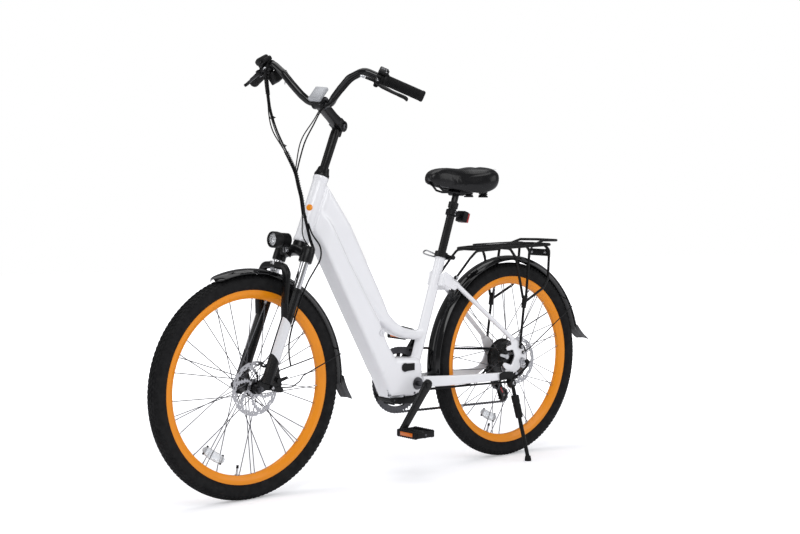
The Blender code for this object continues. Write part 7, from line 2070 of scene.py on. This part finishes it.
def housing_skin(bm):
    """The smooth upper end of the lower beam, from the head tube down past the lock."""
    middle = steer(0.55)
    front = [steer(0.505, -0.0195), middle + Vector((0, 0.0387, -0.1135)),
             middle + Vector((0, 0.1254, -0.2655)), bb(-0.188, 0.1015), bb(-0.15, 0.035)]
    top = [steer(0.585, -0.0195), middle + Vector((0, 0.0664, -0.0275)),
           middle + Vector((0, 0.1354, -0.1465)), middle + Vector((0, 0.2114, -0.2625)),
           bb(-0.154, 0.2055), bb(-0.125, 0.1405), bb(-0.108, 0.115)]
    rings = []
    count = 40
    for k in range(count + 1):
        a, b = outline_at(front, k / count), outline_at(top, k / count)
        behind = -((a + b) / 2 - HEAD_FOOT).dot(HEAD_FRONT)
        t = max(0.0, min(1.0, (behind - 0.0195) / 0.062))
        half = BEAM_TOP_HALF + (HOUSING_HALF - BEAM_TOP_HALF) * t * t * (3 - 2 * t)
        up = (b - a).normalized()
        curve = min(0.016, half * 0.6)
        corner = [(1 - math.cos(t), half - curve + curve * math.sin(t))
                  for t in (math.radians(15 * m) for m in range(7))]
        side = [a + up * curve * rise + LEFT * x for rise, x in corner]
        side += [b - up * curve * rise + LEFT * x for rise, x in corner[::-1]]
        rings.append(side + mirrored(side[::-1]))
    loft(bm, rings)
    bmesh.ops.transform(bm, matrix=BIKE, verts=bm.verts[:])


def shell(name, nodes, voxel, passes, extra=None):
    """Welded pieces of the frame as one skin, with edges and welds flowing into one another."""
    bm = bmesh.new()
    if extra:
        extra(bm)
    for node in nodes:
        bm.from_mesh(frame["nodes"][node].data)
    mesh = bpy.data.meshes.new(name)
    bm.to_mesh(mesh)
    bm.free()
    mesh.materials.append(LOOKS["white"])
    ob = linked(name, mesh)
    remeshed(ob, voxel)
    soft = bmesh.new()
    soft.from_mesh(ob.data)
    for _ in range(passes):
        bmesh.ops.smooth_vert(soft, verts=soft.verts[:], factor=0.5, use_axis_x=True, use_axis_y=True,
                              use_axis_z=True)
    back = BIKE.inverted()
    up, foot = (seat(1) - seat(0)).normalized(), seat(0)
    for v in soft.verts:
        co = back @ v.co
        run = (co - foot).dot(up)
        out = co - foot - up * run
        if 0.05 < run < 0.45 and 0.0005 < out.length < 0.0152:
            v.co = BIKE @ (foot + up * run + out.normalized() * SEAT_BORE_R)
    soft.to_mesh(ob.data)
    soft.free()
    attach(ob, "frame")
    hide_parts(nodes[0])


def motor_tray():
    """The black moulded tray that closes the beam under the bottom bracket."""
    outline = [(-0.113, -0.0401), (-0.011, -0.0431), (0.016, -0.0358), (0.018, -0.042), (0.012, -0.053),
               (-0.004, -0.06), (-0.024, -0.064), (-0.086, -0.06), (-0.106, -0.052)]
    bm = bmesh.new()
    plate(bm, outline, (HOUSING_HALF - 0.003) * 2, basis(bb(0, 0), Vector((0, 1, 0)), UP), 0.006, 4)
    for y in (-0.088, -0.06, -0.032):
        block(bm, bb(y, -0.062 + abs(y + 0.05) * 0.03), (0.05, 0.005, 0.006), bevel=0.0012)
    piece("motor_tray", bm, "plastic", "frame", ["bottom_cover"])
    bolts = bmesh.new()
    for y, z in ((-0.096, -0.0475), (0.004, -0.048)):
        bolt_pair(bolts, bb(y, z, HOUSING_HALF - 0.0032), 0.0034, 0.0018)
    piece("motor_tray_screws", bolts, "dark steel", "frame")


def trim():
    out = (HEAD_FRONT * 0.8 + LEFT * 0.6).normalized()
    spot = steer(0.566) + out * 0.0217
    spun("head_disc", [(0, 0.0012), (0.007, 0.001), (0.0092, 0.0004), (0.0098, 0.0), (0.0092, -0.003),
                       (0, -0.003)], along(spot, out), 40, "orange", "frame")
    bolts = bmesh.new()
    bolt_pair(bolts, bb(-0.012, -0.03, HOUSING_HALF - 0.0004), 0.0036, 0.0016)
    piece("housing_screws", bolts, "dark steel", "frame")


camera()
cords()
studio()
dress_cad()
wheels()
fenders()
saddle()
bar_tube()
controls()
keys()
display_unit()
stem()
headlight()
rear_light()
carrier()
chain()
sprockets()
crankset()
derailleur_extras()
stand()
shell("frame_shell", ["front_frame", "battery_pack"], 0.0026, 6, housing_skin)
shell("rear_shell", ["rear_triangle"], 0.002, 3)
crown()
fork_trim()
motor_tray()
trim()
